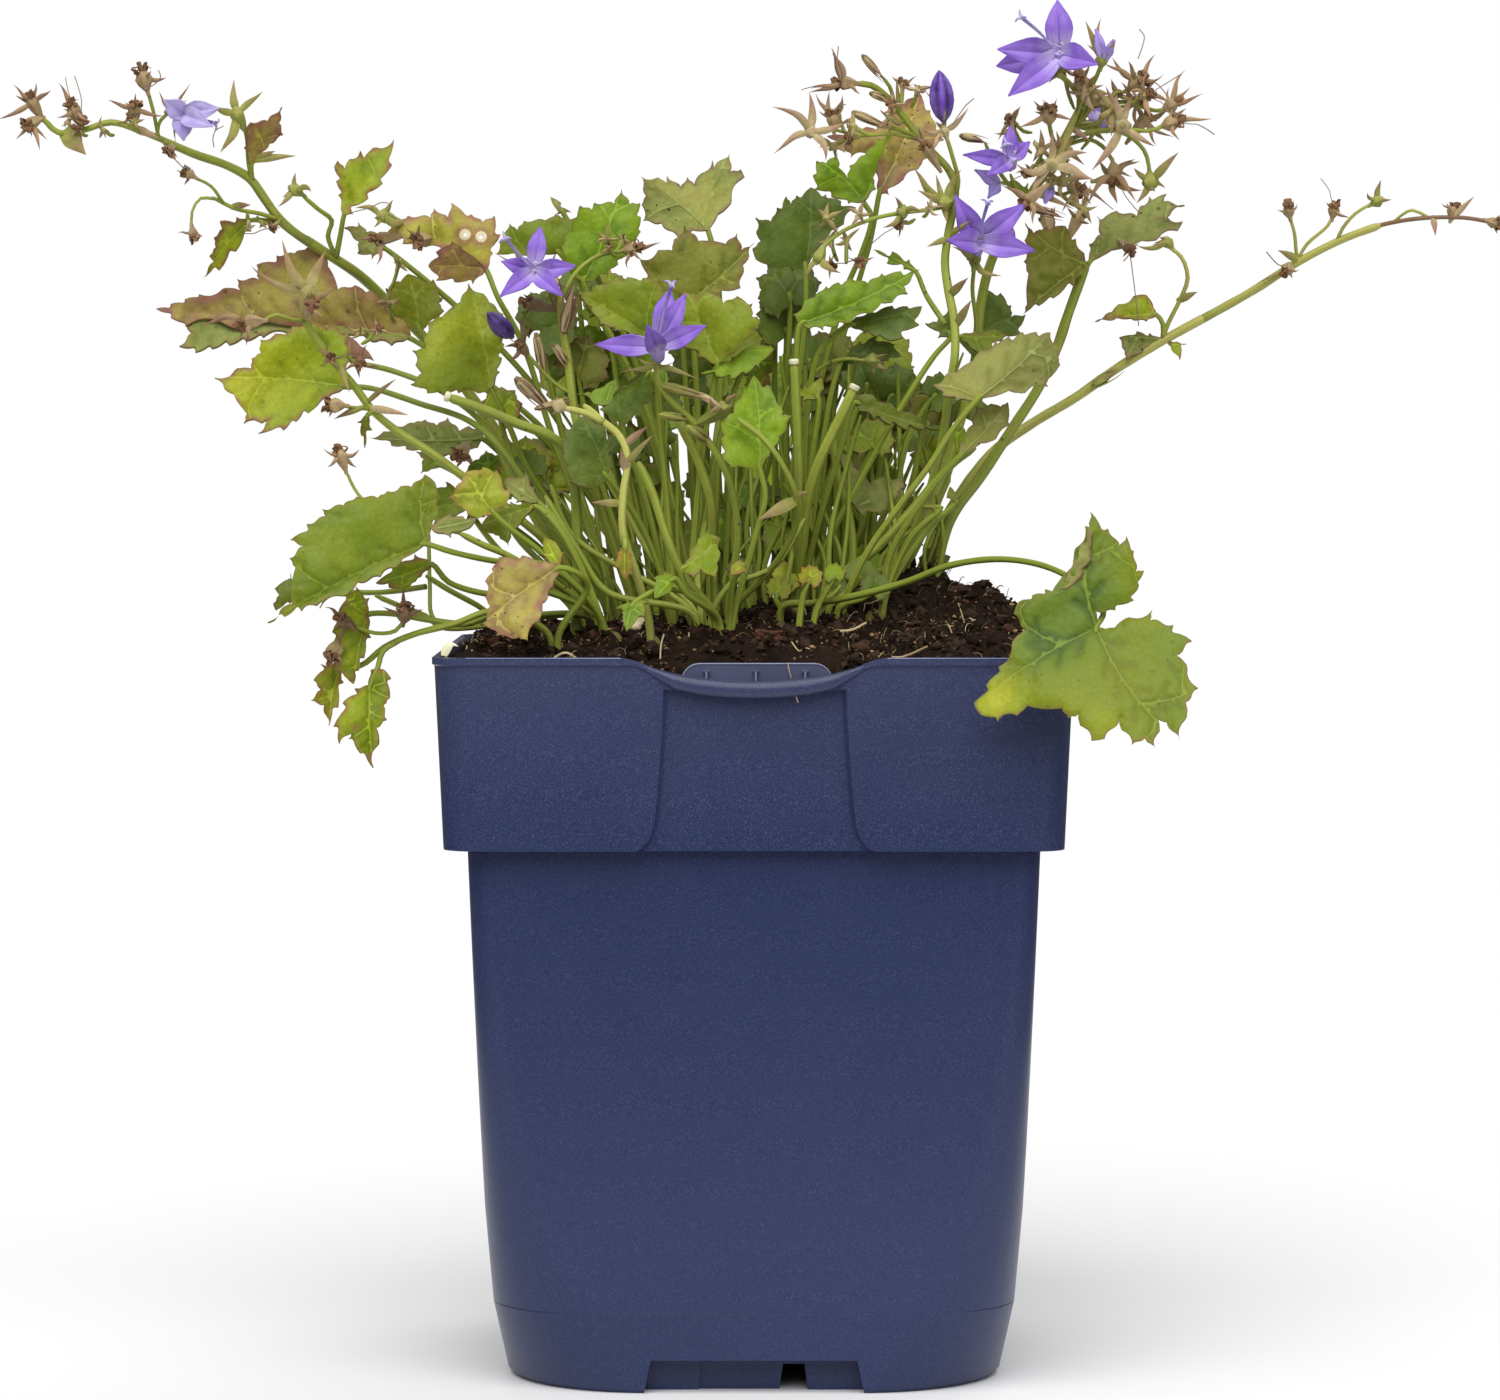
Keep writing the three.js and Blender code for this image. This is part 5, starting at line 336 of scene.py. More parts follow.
    a_leaf("green", (-12.8, 143, -43), (0, 0.5), -11.4, 145, -10, 148.6, -8, 150.1, -5.9, 148.4, -6.6, 144,
      -6.5, 141, -9.4, 143, -10.6, 141.4, way=[(-12, 139.4, -41)]),
    a_leaf("bright", (-14, 141.4, -46), (0.2, 0.5), -15.6, 142.8, -18, 141.4, -17.7, 137.8, -14.8, 138.4,
      way=[(-12, 138.6, -44)]),
    a_leaf("bright", (-21.6, 136.6, -49), (0, 0.5), -20.4, 137.6, -18.8, 137, -19.4, 134.6, -22.6, 132,
      -24.6, 136, -22.6, 137.6, way=[(-17, 139.4, -46), (-11, 138.6, -40)]),
    a_leaf("fresh", (-1.8, 143.8, -42), (0.2, 0.5), -1.4, 141.8, -4.1, 142, -4, 143.6, -2.4, 144.7,
      way=[(-3.6, 141, -40)])]),
  a_shoot("stem_front_pale", -20, (-17.5, -38), 1.8, stems=[
    a_stem(0.8, (-30, 172, -33), (-27, 169.4, -36), (-23.8, 166.6, -40), (-22.4, 163, -42.5),
      (-23.2, 156, -44.5), (-23.2, 149.4, -45), (-21, 142.6, -43), to_root=True),
    a_stem(0.7, (-33.6, 171.6, -36), (-29.6, 170.6, -36), (-26.6, 169, -37))], leaves=[
    a_leaf("yellow", (-22.8, 147.2, -47.5), (0, -0.2), -21.3, 145.4, -21.8, 143, -22.8, 141.2, -24.6, 143.4,
      -24.4, 145.8, way=[], joins=(-22.9, 148.6, -45.2))], calyces=[
    a_calyx("rosy", 1.4, (-34.4, 171.8, -36), (-33.2, 171.4, -36))], blades=[
    ((-22.8, 165, -41), (-18.8, 168.3, -44), 1.4), ((-22.7, 161.6, -42.9), (-17.8, 166.8, -46), 1.2),
      ((-22.6, 160.6, -43.4), (-23.6, 164, -46), 1.6), ((-23.6, 154.6, -44.6), (-28.8, 154.8, -47), 1.4)]),
  a_shoot("leaves_centre", -10, (-13, -20), 3, stems=[
    a_stem(1, (-13.6, 169.4, -28), (-10, 162, -28), (-7.6, 154, -27), (-8, 146, -24), to_root=True)],
    leaves=[
    a_leaf("green", (-18.4, 184, -25), (0.1, 0.3), -22, 184.6, -25, 186, -27.4, 186.4, -29, 189.6,
      -31.6, 192, -26, 194.2, -22.6, 194.8, -17, 194.7, -15.4, 192, -15.8, 187),
    a_leaf("green", (-6.6, 179.4, -27), (0.1, 0.25), -10, 180.6, -13.5, 183, -15, 186.5, -14, 189.5,
      -12.5, 192.7, -10.2, 191, -8, 192.8, -5.4, 190.2, -3, 191.5, -0.3, 190.2, -0.4, 187.8, 1.3, 187,
      -1.5, 183, -4.5, 181),
    a_leaf("dark", (-18.6, 178, -29), (0.1, -0.2), -20.6, 178.2, -22.6, 175.6, -27.6, 171.4, -25.6, 169.6,
      -23.4, 168.4, -20.4, 170, -17.6, 174.4),
    a_leaf("dark", (-26.4, 159.4, -30), (0.1, 0.3), -29, 156, -32.8, 158.4, -34.4, 163, -33.8, 168,
      -30.8, 170, -27.2, 169.4, -25.2, 165.6),
    a_leaf("bright", (-1, 182, -24), (0.2, 0.5), -4, 180.6, -9.6, 177.6, -4, 176.6, 1, 178.6, 3.6, 182,
      0.6, 183.6),
    a_leaf("bright", (-26.4, 172, -24), (0, 0.4), -31.6, 174, -29, 174.2, -26.4, 175.8, -24.6, 176.6,
      -23.8, 174)]),
  a_shoot("stem_centre_left", -10, (-20.5, -10), 2.2, stems=[
    a_stem(0.95, (-34.8, 192.6, -17), (-34.2, 186, -17.6), (-33.2, 180, -18), (-32.4, 173, -19),
      (-30.6, 164, -19), (-27, 152, -16), to_root=True),
    a_stem(0.5, (-41.6, 182.6, -23), (-38.6, 179, -21), (-35.6, 176, -19.6), (-32.6, 174, -19)),
    a_stem(0.6, (-37.6, 195, -19.4), (-36.4, 193.4, -18.4), (-34.6, 190.6, -17)),
    a_stem(0.5, (-23, 199.6, -12), (-28, 198.6, -14), (-32, 195.4, -16), (-34.4, 191, -17))], calyces=[
    a_calyx("dark", 1.2, (-41.4, 182.4, -23), (-40.4, 181, -22), (-42.7, 189.2, -27), (-38.8, 186.4, -25),
      (-43.6, 180.6, -26)),
    a_calyx("dark", 0.9, (-38, 195.3, -19.8), (-37.2, 194.6, -19), (-45.7, 197.3, -17), (-36, 199.4, -16),
      (-33.4, 194.2, -22)),
    a_calyx("dark", 1.4, (-39.6, 190.2, -20), (-35, 189, -17), (-41.2, 191.6, -21), (-39.6, 188.4, -23)),
    a_calyx("dried", 1.4, (-22, 199.8, -12), (-23.4, 199.6, -12), (-20.4, 197.6, -14), (-16.8, 201.6, -12),
      (-23.4, 197, -14))], husks=[
    ((-36.2, 195.4, -16), (-34.6, 189, -17), 1.8), ((-34, 184.6, -17.8), (-32.2, 193, -20.4), 1.9),
      ((-39, 185, -21), (-37.2, 177, -20), 1.2), ((-35.9, 183, -20), (-33.2, 179, -18.6), 1.1),
      ((-42.6, 177, -22), (-37.2, 171.8, -20.6), 1.7), ((-39.2, 171.4, -21.2), (-32.6, 173, -19), 0.9)]),
  a_shoot("stem_centre", -10, (-5, -22), 2.2, stems=[
    a_stem(0.75, (-17.2, 178.4, -34), (-17, 176, -33.6), (-14.6, 172.6, -32.8), (-10, 168, -32),
      (-5, 160, -31), (-3, 150, -28), to_root=True),
    a_stem(0.6, (-2.8, 169.6, -40.8), (1.4, 166.4, -42), (4.4, 162.6, -42.4), (7.4, 156.4, -39.5),
      (7.6, 151, -34), (5, 145.6, -30), (1, 140.6, -26), to_root=True)], calyces=[
    a_calyx("green", 0.9, (-17.2, 179, -34), (-17.1, 177.6, -34), (-24, 177.8, -37), (-9.8, 176.2, -37),
      (-14, 180, -29)),
    a_calyx("green", 1.6, (-5, 171.6, -35), (-10.6, 168.4, -32), (-2.6, 174, -37), (-7.6, 173.6, -38),
      (-2.6, 168.8, -33), (-8, 169.8, -38))], blades=[
    ((7.5, 155, -38.3), (0.6, 151.4, -41), 2.2), ((-9.4, 173.8, -35.7), (-5.4, 171.4, -37), 1.2),
      ((7.5, 155.8, -39), (9.8, 156.6, -42), 1.2)], husks=[
    ((-16.9, 175.8, -33.7), (-8.2, 173.4, -36), 1.3), ((-12, 168.4, -34.4), (-8, 165.2, -31.7), 1.2),
      ((-17, 170.4, -36), (-11.4, 169.4, -32.2), 1)]),
  a_shoot("leaves_centre_top", -10, (-9, 1), 3, leaves=[
    a_leaf("green", (-34.6, 199.2, -6), (0.1, 0.2), -38, 199, -42.4, 198.2, -46, 199, -44.6, 202,
      -43.6, 204.5, -42.2, 203.2, -41, 204.9, -37.3, 204.9, -31.3, 205.8, -30.8, 202.6),
    a_leaf("bright", (-30.4, 194.2, -9), (0.1, 0.2), -33.8, 196.5, -34.4, 200.6, -31, 207.6, -28.9, 206.8,
      -28.5, 208.1, -24.9, 207.9, -23.6, 210.5, -22.2, 207.8, -20.3, 208, -20.2, 203, -22.4, 199,
      -26, 195.4),
    a_leaf("under", (-8.2, 203.2, 2), (0.1, 0.3), -11, 203.2, -13.5, 201.8, -16.5, 204.5, -19.8, 204.8,
      -19.2, 209.4, -20.2, 212.9, -15.6, 211.6, -15.5, 212.8, -13, 210.8, -11.9, 212.6, -10.6, 211.2,
      -7.4, 215.6, -7.1, 214.3, -4.2, 217.1, -4.3, 213.6, -2.4, 214, -1.7, 212.6, -6.4, 206,
      way=[(-6.6, 196, 1), (-6, 180, 1)]),
    a_leaf("olive", (-11, 191, -10), (0.1, 0.2), -16, 192.5, -19.5, 194.5, -20.3, 198, -14.6, 199.6,
      -12.4, 204.1, -10, 201.3, -5, 200.8, -3, 202.7, -2.3, 199.6, 0, 200.9, -2, 197, -2.4, 193, -6, 191.2),
    a_leaf("under", (-34.2, 206.6, -1), (0, 0.4), -35.6, 205.8, -36.3, 209.1, -34.4, 208, -32.6, 206.4)]),
  a_shoot("leaves_right_top", 0, (1, 8), 2.6, leaves=[
    a_leaf("dark", (9.3, 196.8, 2), (0.1, 0.3), 7, 196.3, 2.5, 196.8, 0.4, 198.3, -0.2, 200.3, 1.3, 201.6,
      0.3, 205.8, 3.2, 204.9, 4.2, 207.6, 5.8, 209.6, 6.6, 208.2, 7.7, 209.8, 10.3, 211.2, 13, 210,
      18.4, 207.6, 14, 203.5, 10.8, 199.5, way=[(9.4, 190, 2), (8.4, 178, 3), (7, 160, 5)]),
    a_leaf("bright", (19.6, 208.8, 9), (0.1, 0.3), 17, 208.3, 14, 209.6, 11, 211, 10.7, 213.5, 11.3, 216,
      13, 215.5, 15.1, 217.4, 15.2, 214.8, 16.9, 212.9, 17.3, 215.2, 20, 217, 22.4, 220, 25.7, 223.1,
      23.6, 219, 22.2, 215.8, 21.4, 213, 22, 211, way=[(21.2, 206, 9), (19.4, 199.5, 9), (16.6, 193, 9),
      (12, 176, 9), (8, 156, 9)]),
    a_leaf("bronze", (22.6, 210.3, 17), (0.2, 0.3), 22, 214, 21.5, 218.6, 17.5, 216.6, 13.2, 220.5,
      17, 221.7, 22, 221.5, 24, 224.3, 27, 226.3, 29.8, 228.3, 31.8, 225, 32.7, 221.5, 34.2, 219.8,
      30.5, 216.2, 27, 212.7, 24.3, 210, way=[(21, 202, 16), (17, 188, 15), (11, 166, 12)])]),
  a_shoot("leaves_right_mid", 0, (7, -5), 3, stems=[
    a_stem(1.05, (7.2, 180, -20.4), (7.6, 172, -20), (8, 160, -18), (8, 148, -13), to_root=True, cut=True),
    a_stem(1.1, (18.2, 175.4, -20.4), (15.4, 169.6, -20), (12, 162.6, -19), (9.8, 156, -17),
      (8.6, 146.6, -12), to_root=True, cut=True)], leaves=[
    a_leaf("bright", (8.4, 186.8, -16), (0.1, 0.3), 7, 188.4, 11, 191.5, 13, 193.5, 17.5, 194.8, 20.5, 194,
      23, 195.8, 29.9, 196.5, 27, 193.5, 27.7, 192.1, 23, 190.5, 17.5, 187, 12.5, 185.6,
      way=[(7.6, 180, -15), (8, 166, -12)]),
    a_leaf("dark", (17.3, 186.6, -11), (0.1, 0.3), 21, 189.4, 25, 190, 30.3, 189.8, 29.8, 186.6,
      26.8, 184.2, 24.5, 183.7, 20, 185, way=[(12, 182, -10), (9.6, 170, -8)]),
    a_leaf("bright", (29.2, 196.2, -9), (-0.1, 0.3), 27, 196.6, 24, 197.6, 21.6, 200.1, 25, 199.8,
      28, 198.3, way=[(31, 192, -9), (33.6, 188, -9)], joins=(34.6, 186.6, -10)),
    a_leaf("dark", (35.6, 184.6, -10.5), (0, 0.4), 33.2, 184.2, 30.9, 186.8, 33, 187, 35, 189.1, 36, 187,
      way=[(32.6, 181, -10), (27, 172.4, -10), (20, 160, -9), (12.4, 145.6, -7)]),
    a_leaf("dark", (16.8, 181.6, -8), (0, 0.3), 19, 183.6, 22, 184.6, 25.4, 183, 26.6, 180.8, 22, 179.6,
      18.6, 179.8, way=[(14.4, 176, -8)]),
    a_leaf("green", (11.6, 173.4, -15), (0, 0.3), 9, 172.8, 6.8, 174.2, 9, 175.8, 12.2, 177, 12.6, 175,
      way=[(10.4, 162, -13)]),
    a_leaf("dark", (18.2, 172.6, -16), (0.2, 0.4), 18.8, 174.8, 21.6, 173.8, 26, 171, 33.5, 167.6,
      27.6, 167.6, 21.6, 169.4, way=[(15.6, 164, -14.6), (12, 152, -11)]),
    a_leaf("under", (16.2, 164.4, -3), (0.1, 0.3), 18, 161, 21, 158, 27.2, 159.6, 27.2, 157, 23.5, 153,
      20, 152, 17, 154, 15.5, 158.6, way=[(12.6, 156, -4)])]),
  a_shoot("stem_right_bud", 0, (19.5, -3), 2.2, stems=[
    a_stem(0.9, (34.6, 215, -8), (36, 212.6, -8), (36.1, 209, -8), (35, 203, -8.6), (34.4, 198, -9.4),
      (35, 193, -11), (36.1, 187, -14), (36.2, 181, -16.5), (35.2, 175, -16), (34, 166, -12),
      (30.5, 153, -8), (25.6, 143.4, -5), to_root=True),
    a_stem(0.7, (18, 229.9, -12), (21, 229.6, -11), (24, 227.4, -10), (27, 223.8, -9), (30.6, 219.2, -8.4),
      (34.6, 215, -8), (35.6, 213.4, -8)),
    a_stem(0.5, (34.4, 221.2, -13), (35.8, 216.6, -11.6), (36.8, 212.4, -9.6), (36.2, 209.4, -8)),
    a_stem(0.45, (22.8, 231.4, -13), (24.4, 229.4, -12), (25.4, 226, -10)),
    a_stem(0.5, (23.6, 222.2, -12), (26.2, 221.6, -10.6), (29.6, 220.2, -8.6)),
    a_stem(0.5, (11, 198, -15), (12.6, 200.6, -15), (16, 203.4, -14.6), (21.4, 205.6, -14),
      (26, 206.6, -12.6), (31, 207.2, -11), (35.6, 208, -8.4)),
    a_stem(0.4, (10, 221, -17), (14, 221.6, -15.6), (19, 220.6, -13), (25, 220.8, -11), (30, 219.8, -8.6))],
    calyces=[
    a_calyx("dried", 1.4, (16.2, 230, -12.4), (18.6, 229.9, -12), (9.8, 230.2, -14), (13.4, 235, -12),
      (15, 236.6, -16), (10.8, 229, -9), (18, 227.6, -15)),
    a_calyx("rosy", 1.0, (34.3, 221.4, -13.2), (34.7, 220.2, -12.8), (29.4, 228.2, -8), (38.8, 226.4, -9),
      (32.6, 217.6, -15)),
    a_calyx("green", 1.6, (34.2, 208.6, -11), (35.8, 209.4, -8.4), (33, 213.6, -11), (29.4, 211, -13),
      (37.6, 214, -14), (30.2, 215.6, -14)),
    a_calyx("green", 1.4, (26.8, 206.9, -13), (27.6, 206.9, -12), (25.4, 209.4, -15), (30.6, 206.2, -16),
      (23, 204.6, -15)),
    a_calyx("rosy", 1.3, (10.2, 221.2, -17), (11.6, 221.4, -16.4), (2.9, 225, -18), (9.8, 228.2, -18),
      (4.1, 216.2, -19), (12.5, 215.9, -20), (16.8, 223.4, -18)),
    a_calyx("green", 1.3, (11.6, 198.6, -15), (12.6, 200.6, -15), (15.8, 196, -17), (9.6, 194.6, -16)),
    a_calyx("dried", 1.2, (14.2, 223.6, -16), (14.4, 221.6, -15.5), (10.6, 226.8, -18),
      (14.1, 228.6, -16))],
    blades=[
    ((35, 202, -8.8), (31.2, 200.6, -12), 1.2), ((35.2, 202.6, -8.8), (39, 205.2, -12), 1.2),
      ((26.2, 224.8, -9.6), (25.6, 231, -12), 0.9), ((35.3, 191.8, -11.6), (38.6, 195, -15), 1.6),
      ((36.6, 186.6, -14.4), (39.2, 191, -17), 1.6)], husks=[
    ((19.4, 235, -14), (23, 231.2, -13), 1), ((17.6, 224.8, -13), (23.8, 222.2, -12), 1.2),
      ((20.8, 228.2, -12), (24.4, 227, -10), 1)]),
  a_shoot("stem_right_blooms", 0, (26, 6), 2.4, stems=[
    a_stem(1, (58.8, 225.4, 4), (56.6, 221.4, 4), (53.6, 215.8, 4), (50, 210.4, 4), (46, 204.6, 4),
      (42.6, 197.6, 4), (40.8, 190, 4), (40, 181, 4), (38, 172, 4), (35.4, 163.6, 5), (32.2, 154.8, 6),
      (29, 146.6, 6), to_root=True),
    a_stem(0.6, (54.8, 231.6, -2), (57.2, 229.4, 1), (58.6, 227.2, 3), (58.4, 224.6, 4)),
    a_stem(0.5, (62.6, 233.6, 0), (61.4, 230.6, 2), (59.6, 227.6, 4), (58, 224, 4)),
    a_stem(0.5, (68.6, 229.4, 2), (65.6, 228, 3), (61.6, 226.6, 4), (58, 223.6, 4)),
    a_stem(0.5, (74.6, 225.6, 4), (72.6, 225, 4), (66.6, 226.6, 4), (61, 225.6, 4), (57.4, 222.6, 4)),
    a_stem(0.5, (74.6, 222.6, 1), (71, 221.4, 0), (66.4, 221.8, 0), (60.6, 221.2, 2), (56, 219.4, 4)),
    a_stem(0.5, (71.4, 213.8, 3), (70.2, 218, 4), (66, 221.2, 5), (60.6, 221, 5), (56.4, 219.8, 4)),
    a_stem(0.5, (64.8, 215.4, 8), (63.4, 218, 8), (60.6, 219.8, 7), (56, 218.8, 4)),
    a_stem(0.5, (57.6, 212, 9), (56, 214.8, 7.6), (53.7, 215.9, 4)),
    a_stem(0.5, (39.8, 197.6, -4), (39.4, 193, -2), (40, 188, 1), (40.4, 183, 3.6)),
    a_stem(0.5, (46.2, 213.6, -2), (47, 211.6, 0), (48.6, 209, 3.6)),
    a_stem(0.5, (53, 223.6, -4), (53.6, 220.6, -1), (54.6, 218.4, 3.4)),
    a_stem(0.5, (41.6, 219.4, -5), (43, 216, -2.4), (46, 211.6, 0.4), (48.6, 209, 3.6))], leaves=[
    a_leaf("dark", (41, 184, 9), (0.1, 0.3), 40.2, 187.6, 41, 193.2, 44.5, 192.3, 46.4, 190, 46.4, 188,
      49, 188.4, 48.2, 185, 45, 183.2, way=[], joins=(40, 181.4, 5)),
    a_leaf("green", (49.4, 209.6, 1), (-0.2, 0.3), 46.6, 210.6, 43.8, 212.2, 46.4, 212.8, 49.4, 212, way=[],
      joins=(50, 210.4, 3.6))], calyces=[
    a_calyx("green", 1.1, (54.4, 232, -2.4), (55.4, 231, -1.4), (58.8, 232.6, -7), (52.6, 231, -8)),
    a_calyx("green", 1.3, (62.6, 234.2, 0), (62.4, 232.8, 0.4), (59.6, 241, -1), (62.7, 241.4, 2),
      (64.4, 238.2, -3)),
    a_calyx("dried", 1.4, (59, 230.4, -1), (59.8, 227.9, 3.6), (60.6, 233, -4), (56.8, 233.2, -5),
      (57.4, 226.4, -6)),
    a_calyx("dried", 1.7, (69, 230, 1), (67.4, 228.8, 2.4), (62.7, 232.2, -1), (65.2, 235, 0),
      (68, 234.6, -2), (71.4, 235.8, 2), (73.4, 229.8, -2)),
    a_calyx("dried", 1.5, (75, 226, 4), (73.6, 225.2, 4), (76, 232.6, 4), (80.3, 228.6, 2),
      (78.4, 228.4, 7)),
    a_calyx("dried", 1.6, (75.2, 222.8, 0), (73.4, 222.2, 0.6), (82.4, 222.4, -1), (78, 225.2, -2),
      (77.4, 219.8, -4)),
    a_calyx("rosy", 1.7, (66.4, 222.2, -1), (66.4, 221.8, 1), (60.8, 215.2, -4), (62.2, 228.6, -3),
      (68.6, 227.8, -3), (72, 218.8, -4)),
    a_calyx("green", 1.7, (71.4, 212.2, 3), (71.2, 214.2, 3.4), (76.4, 217.6, 2), (68.6, 214.8, 0),
      (68.8, 208.6, 2)),
    a_calyx("dried", 1.6, (64.9, 214, 8), (64.6, 215.8, 8), (60.4, 207.2, 7), (68.6, 207.8, 6),
      (69.6, 215, 6)),
    a_calyx("dried", 1.5, (57.7, 211, 9.4), (57.4, 212.6, 9), (50.6, 210.2, 8), (63, 207.4, 9),
      (58.8, 206.2, 7)),
    a_calyx("rosy", 1.6, (53.6, 215.4, -3), (53.4, 215.8, 3.4), (53, 221, -6), (47.2, 215.8, -6),
      (50.6, 210.4, -7), (60.2, 211.6, -7), (60, 217.2, -6)),
    a_calyx("dried", 1.7, (53, 224.4, -4.4), (53.2, 222.6, -3), (50.6, 227, -5), (48, 222.6, -7),
      (57, 223, -8), (54.8, 226.8, -3)),
    a_calyx("green", 1.2, (39.8, 198.2, -4.2), (39.6, 196.8, -4), (35.2, 200.4, -8), (45.6, 196.2, -9)),
    a_calyx("green", 1, (60.6, 222.2, 7.6), (57.8, 222.4, 4.6), (63.4, 219.8, 6.4), (59.2, 224.8, 8))],
    blades=[
    ((58.6, 226, 3.4), (52.6, 210.2, -2), 1.2), ((50, 210.4, 3.6), (57.6, 207.4, 0), 1.2),
      ((57, 222, 3.4), (60.6, 219.4, 0), 1.2)], husks=[
    ((37, 220.6, -6), (41.8, 219.4, -5), 1.1), ((48.4, 208.2, 3.8), (55.6, 206, -1), 1)]),
  a_shoot("stem_right_leafy", 0, (32, 16), 2.4, stems=[
    a_stem(1.1, (60, 198, 18), (58.6, 194, 18), (56.6, 188.4, 18), (54.6, 182.4, 18), (51.4, 175.4, 18),
      (46.4, 167.6, 18), (40.6, 158.8, 18), (35.4, 151.4, 17), to_root=True)], leaves=[
    a_leaf("olive", (59.6, 197.6, 16), (0.2, 0.3), 58, 202, 56, 204.3, 54, 204.1, 50.3, 203, 48.9, 204.8,
      49.6, 200, 48.7, 198, 49.5, 195.8, 49.3, 190.3, 48.7, 188.6, 54, 191.3, 57.8, 193.4, way=[],
      joins=(58.8, 194.6, 18)),
    a_leaf("under", (60.6, 198, 19), (0.2, 0.5), 60.4, 201, 62.6, 202.8, 61.8, 206.1, 65.3, 207, 69, 206,
      71.2, 209.6, 74.3, 210, 73.5, 208.6, 77.6, 208, 72.5, 205.6, 77.2, 205.2, 76.4, 203.5, 70, 201.7,
      64.5, 200, way=[], joins=(59.2, 195.4, 18))], calyces=[
    a_calyx("dried", 1.1, (67.7, 200.2, 15), (65.8, 201.8, 22.2), (67.2, 202, 13)),
    a_calyx("dried", 1.3, (58.4, 205.6, 20), (56.6, 201.8, 16.9), (61, 204.8, 17), (56.4, 208, 19)),
    a_calyx("dried", 1.5, (53, 205.4, 20), (53.4, 203, 16.4), (51, 203.4, 16.6), (53.8, 208, 18))]),
  a_shoot("stem_right_long", 0, (28.5, 27), 2.4, stems=[
    a_stem(1.05, (82, 188.2, 22), (74, 183.8, 24), (66, 179, 26), (58, 173.4, 28), (50, 168.6, 30),
      (43, 163.4, 31), (37, 155.6, 31), (32, 146.4, 30), to_root=True),
    a_stem(0.85, (113, 204.5, 10), (106, 201.9, 13), (98, 197.8, 16), (90, 192.7, 19), (82, 188.2, 22),
      (79, 186.6, 22.9)),
    a_stem(0.5, (133, 205, 4), (128, 205.8, 5), (120, 205.7, 7), (113, 204.5, 10), (110.6, 203.6, 11),
      dry=True),
    a_stem(0.4, (96.4, 206.4, 12), (97.4, 203, 14), (97.7, 200, 15.6), (98, 197.8, 16)),
    a_stem(0.4, (104.4, 206.4, 12), (103.4, 204.4, 12.6), (99.6, 201, 14.6), (97.8, 197.8, 16)),
    a_stem(0.4, (111.8, 208.6, 9), (108.4, 206.6, 10.6), (106, 203.8, 12), (105, 201.4, 13.4)),
    a_stem(0.5, (74.4, 200.8, 18), (77, 198.8, 18), (78.2, 195, 19), (76.8, 191, 20.6), (74.8, 187, 22.6),
      (73.6, 183.8, 24)),
    a_stem(0.35, (115, 205, 9.4), (118.6, 207.2, 7), (121.4, 205.9, 6.8))], leaves=[
    a_leaf("fresh", (72.6, 188.4, 21), (0.1, 0.5), 71.9, 190.2, 70.6, 191.9, 68.4, 191.6, 64.5, 188.8,
      61.5, 187.1, 65.5, 187.8, 68, 187.7, 70.8, 187.2, way=[(73.8, 186.6, 22.6)], joins=(73.8, 183.8, 24)),
    a_leaf("under", (73.6, 183.8, 24.6), (0, 0.5), 71.4, 185, 69, 185.3, 65.9, 184.3, 66.9, 182, 67.2, 180,
      70.6, 182.4, bare=True),
    a_leaf("fresh", (74.2, 183.8, 23.4), (0.1, 0.3), 75.6, 183.4, 78, 183.1, 76.8, 180.2, 75.2, 182.6,
      bare=True)], calyces=[
    a_calyx("dried", 1.2, (96.3, 207.1, 12), (96.6, 205.8, 12.4), (97, 208.6, 10)),
    a_calyx("dried", 1.2, (104.5, 207.2, 12), (104.2, 205.8, 12.2), (105.6, 209.4, 11), (108, 206.2, 9.6)),
    a_calyx("green", 1.2, (112.3, 208.8, 9), (111.2, 208.2, 9.4), (110.9, 210.4, 7), (114.6, 208.8, 7),
      (113.4, 212.4, 8)),
    a_calyx("dried", 1.4, (96.2, 196.6, 13.8), (96.8, 197.2, 16), (97.8, 195.4, 11), (95, 195.6, 11)),
    a_calyx("dried", 1.3, (126, 206.9, 6), (125.6, 205.6, 5.8), (123.6, 207.4, 4)),
    a_calyx("dried", 1.1, (133.3, 204.9, 3.6), (132, 205.3, 4.2), (133.9, 206.4, 2), (134, 203, 3)),
    a_calyx("green", 1.2, (74.6, 201.4, 18), (75.4, 200.4, 18), (71.6, 200.8, 15), (69, 201, 16))], blades=[
    ((76.8, 191, 20.6), (80, 192.5, 18), 1.5), ((98, 198.2, 15.6), (94.4, 200, 13), 1.5),
      ((97, 196.8, 16), (90.6, 194, 17), 0.9), ((126, 205.8, 5.6), (129.7, 209.6, 4), 1.1),
      ((122.4, 205.7, 6.4), (122.8, 202.6, 4), 1.2)], husks=[
    ((61, 175.6, 25.4), (65.4, 178.4, 25.2), 1.5)]),
  a_shoot("leaf_right_grey", 0, (14.5, -17), 2.2, leaves=[
    a_leaf("under", (40.3, 173.2, -24), (0.1, 0.25), 36.5, 172.8, 34, 173.8, 32.3, 175.7, 36.5, 178,
      39.5, 180, 43.5, 183.5, 48.5, 185.2, 53.5, 185.2, 54.7, 181, 55.2, 179.4, 53, 175.4, 46, 174.7,
      way=[(36, 168, -24), (31.8, 161.4, -23.6), (26.6, 154.4, -22.6), (20.4, 145.4, -20)])]),
  a_shoot("leaves_right_low", 0, (21.5, -14), 2.4, leaves=[
    a_leaf("under", (37.2, 163, -20), (0.1, 0.2), 37, 165.4, 39.6, 168.6, 40, 172, 44.5, 171.8, 45.8, 172.6,
      47.1, 168.5, 41, 165.2, way=[(33.4, 158.8, -19.6), (28.6, 152.2, -18.4), (24.4, 144.4, -16)]),
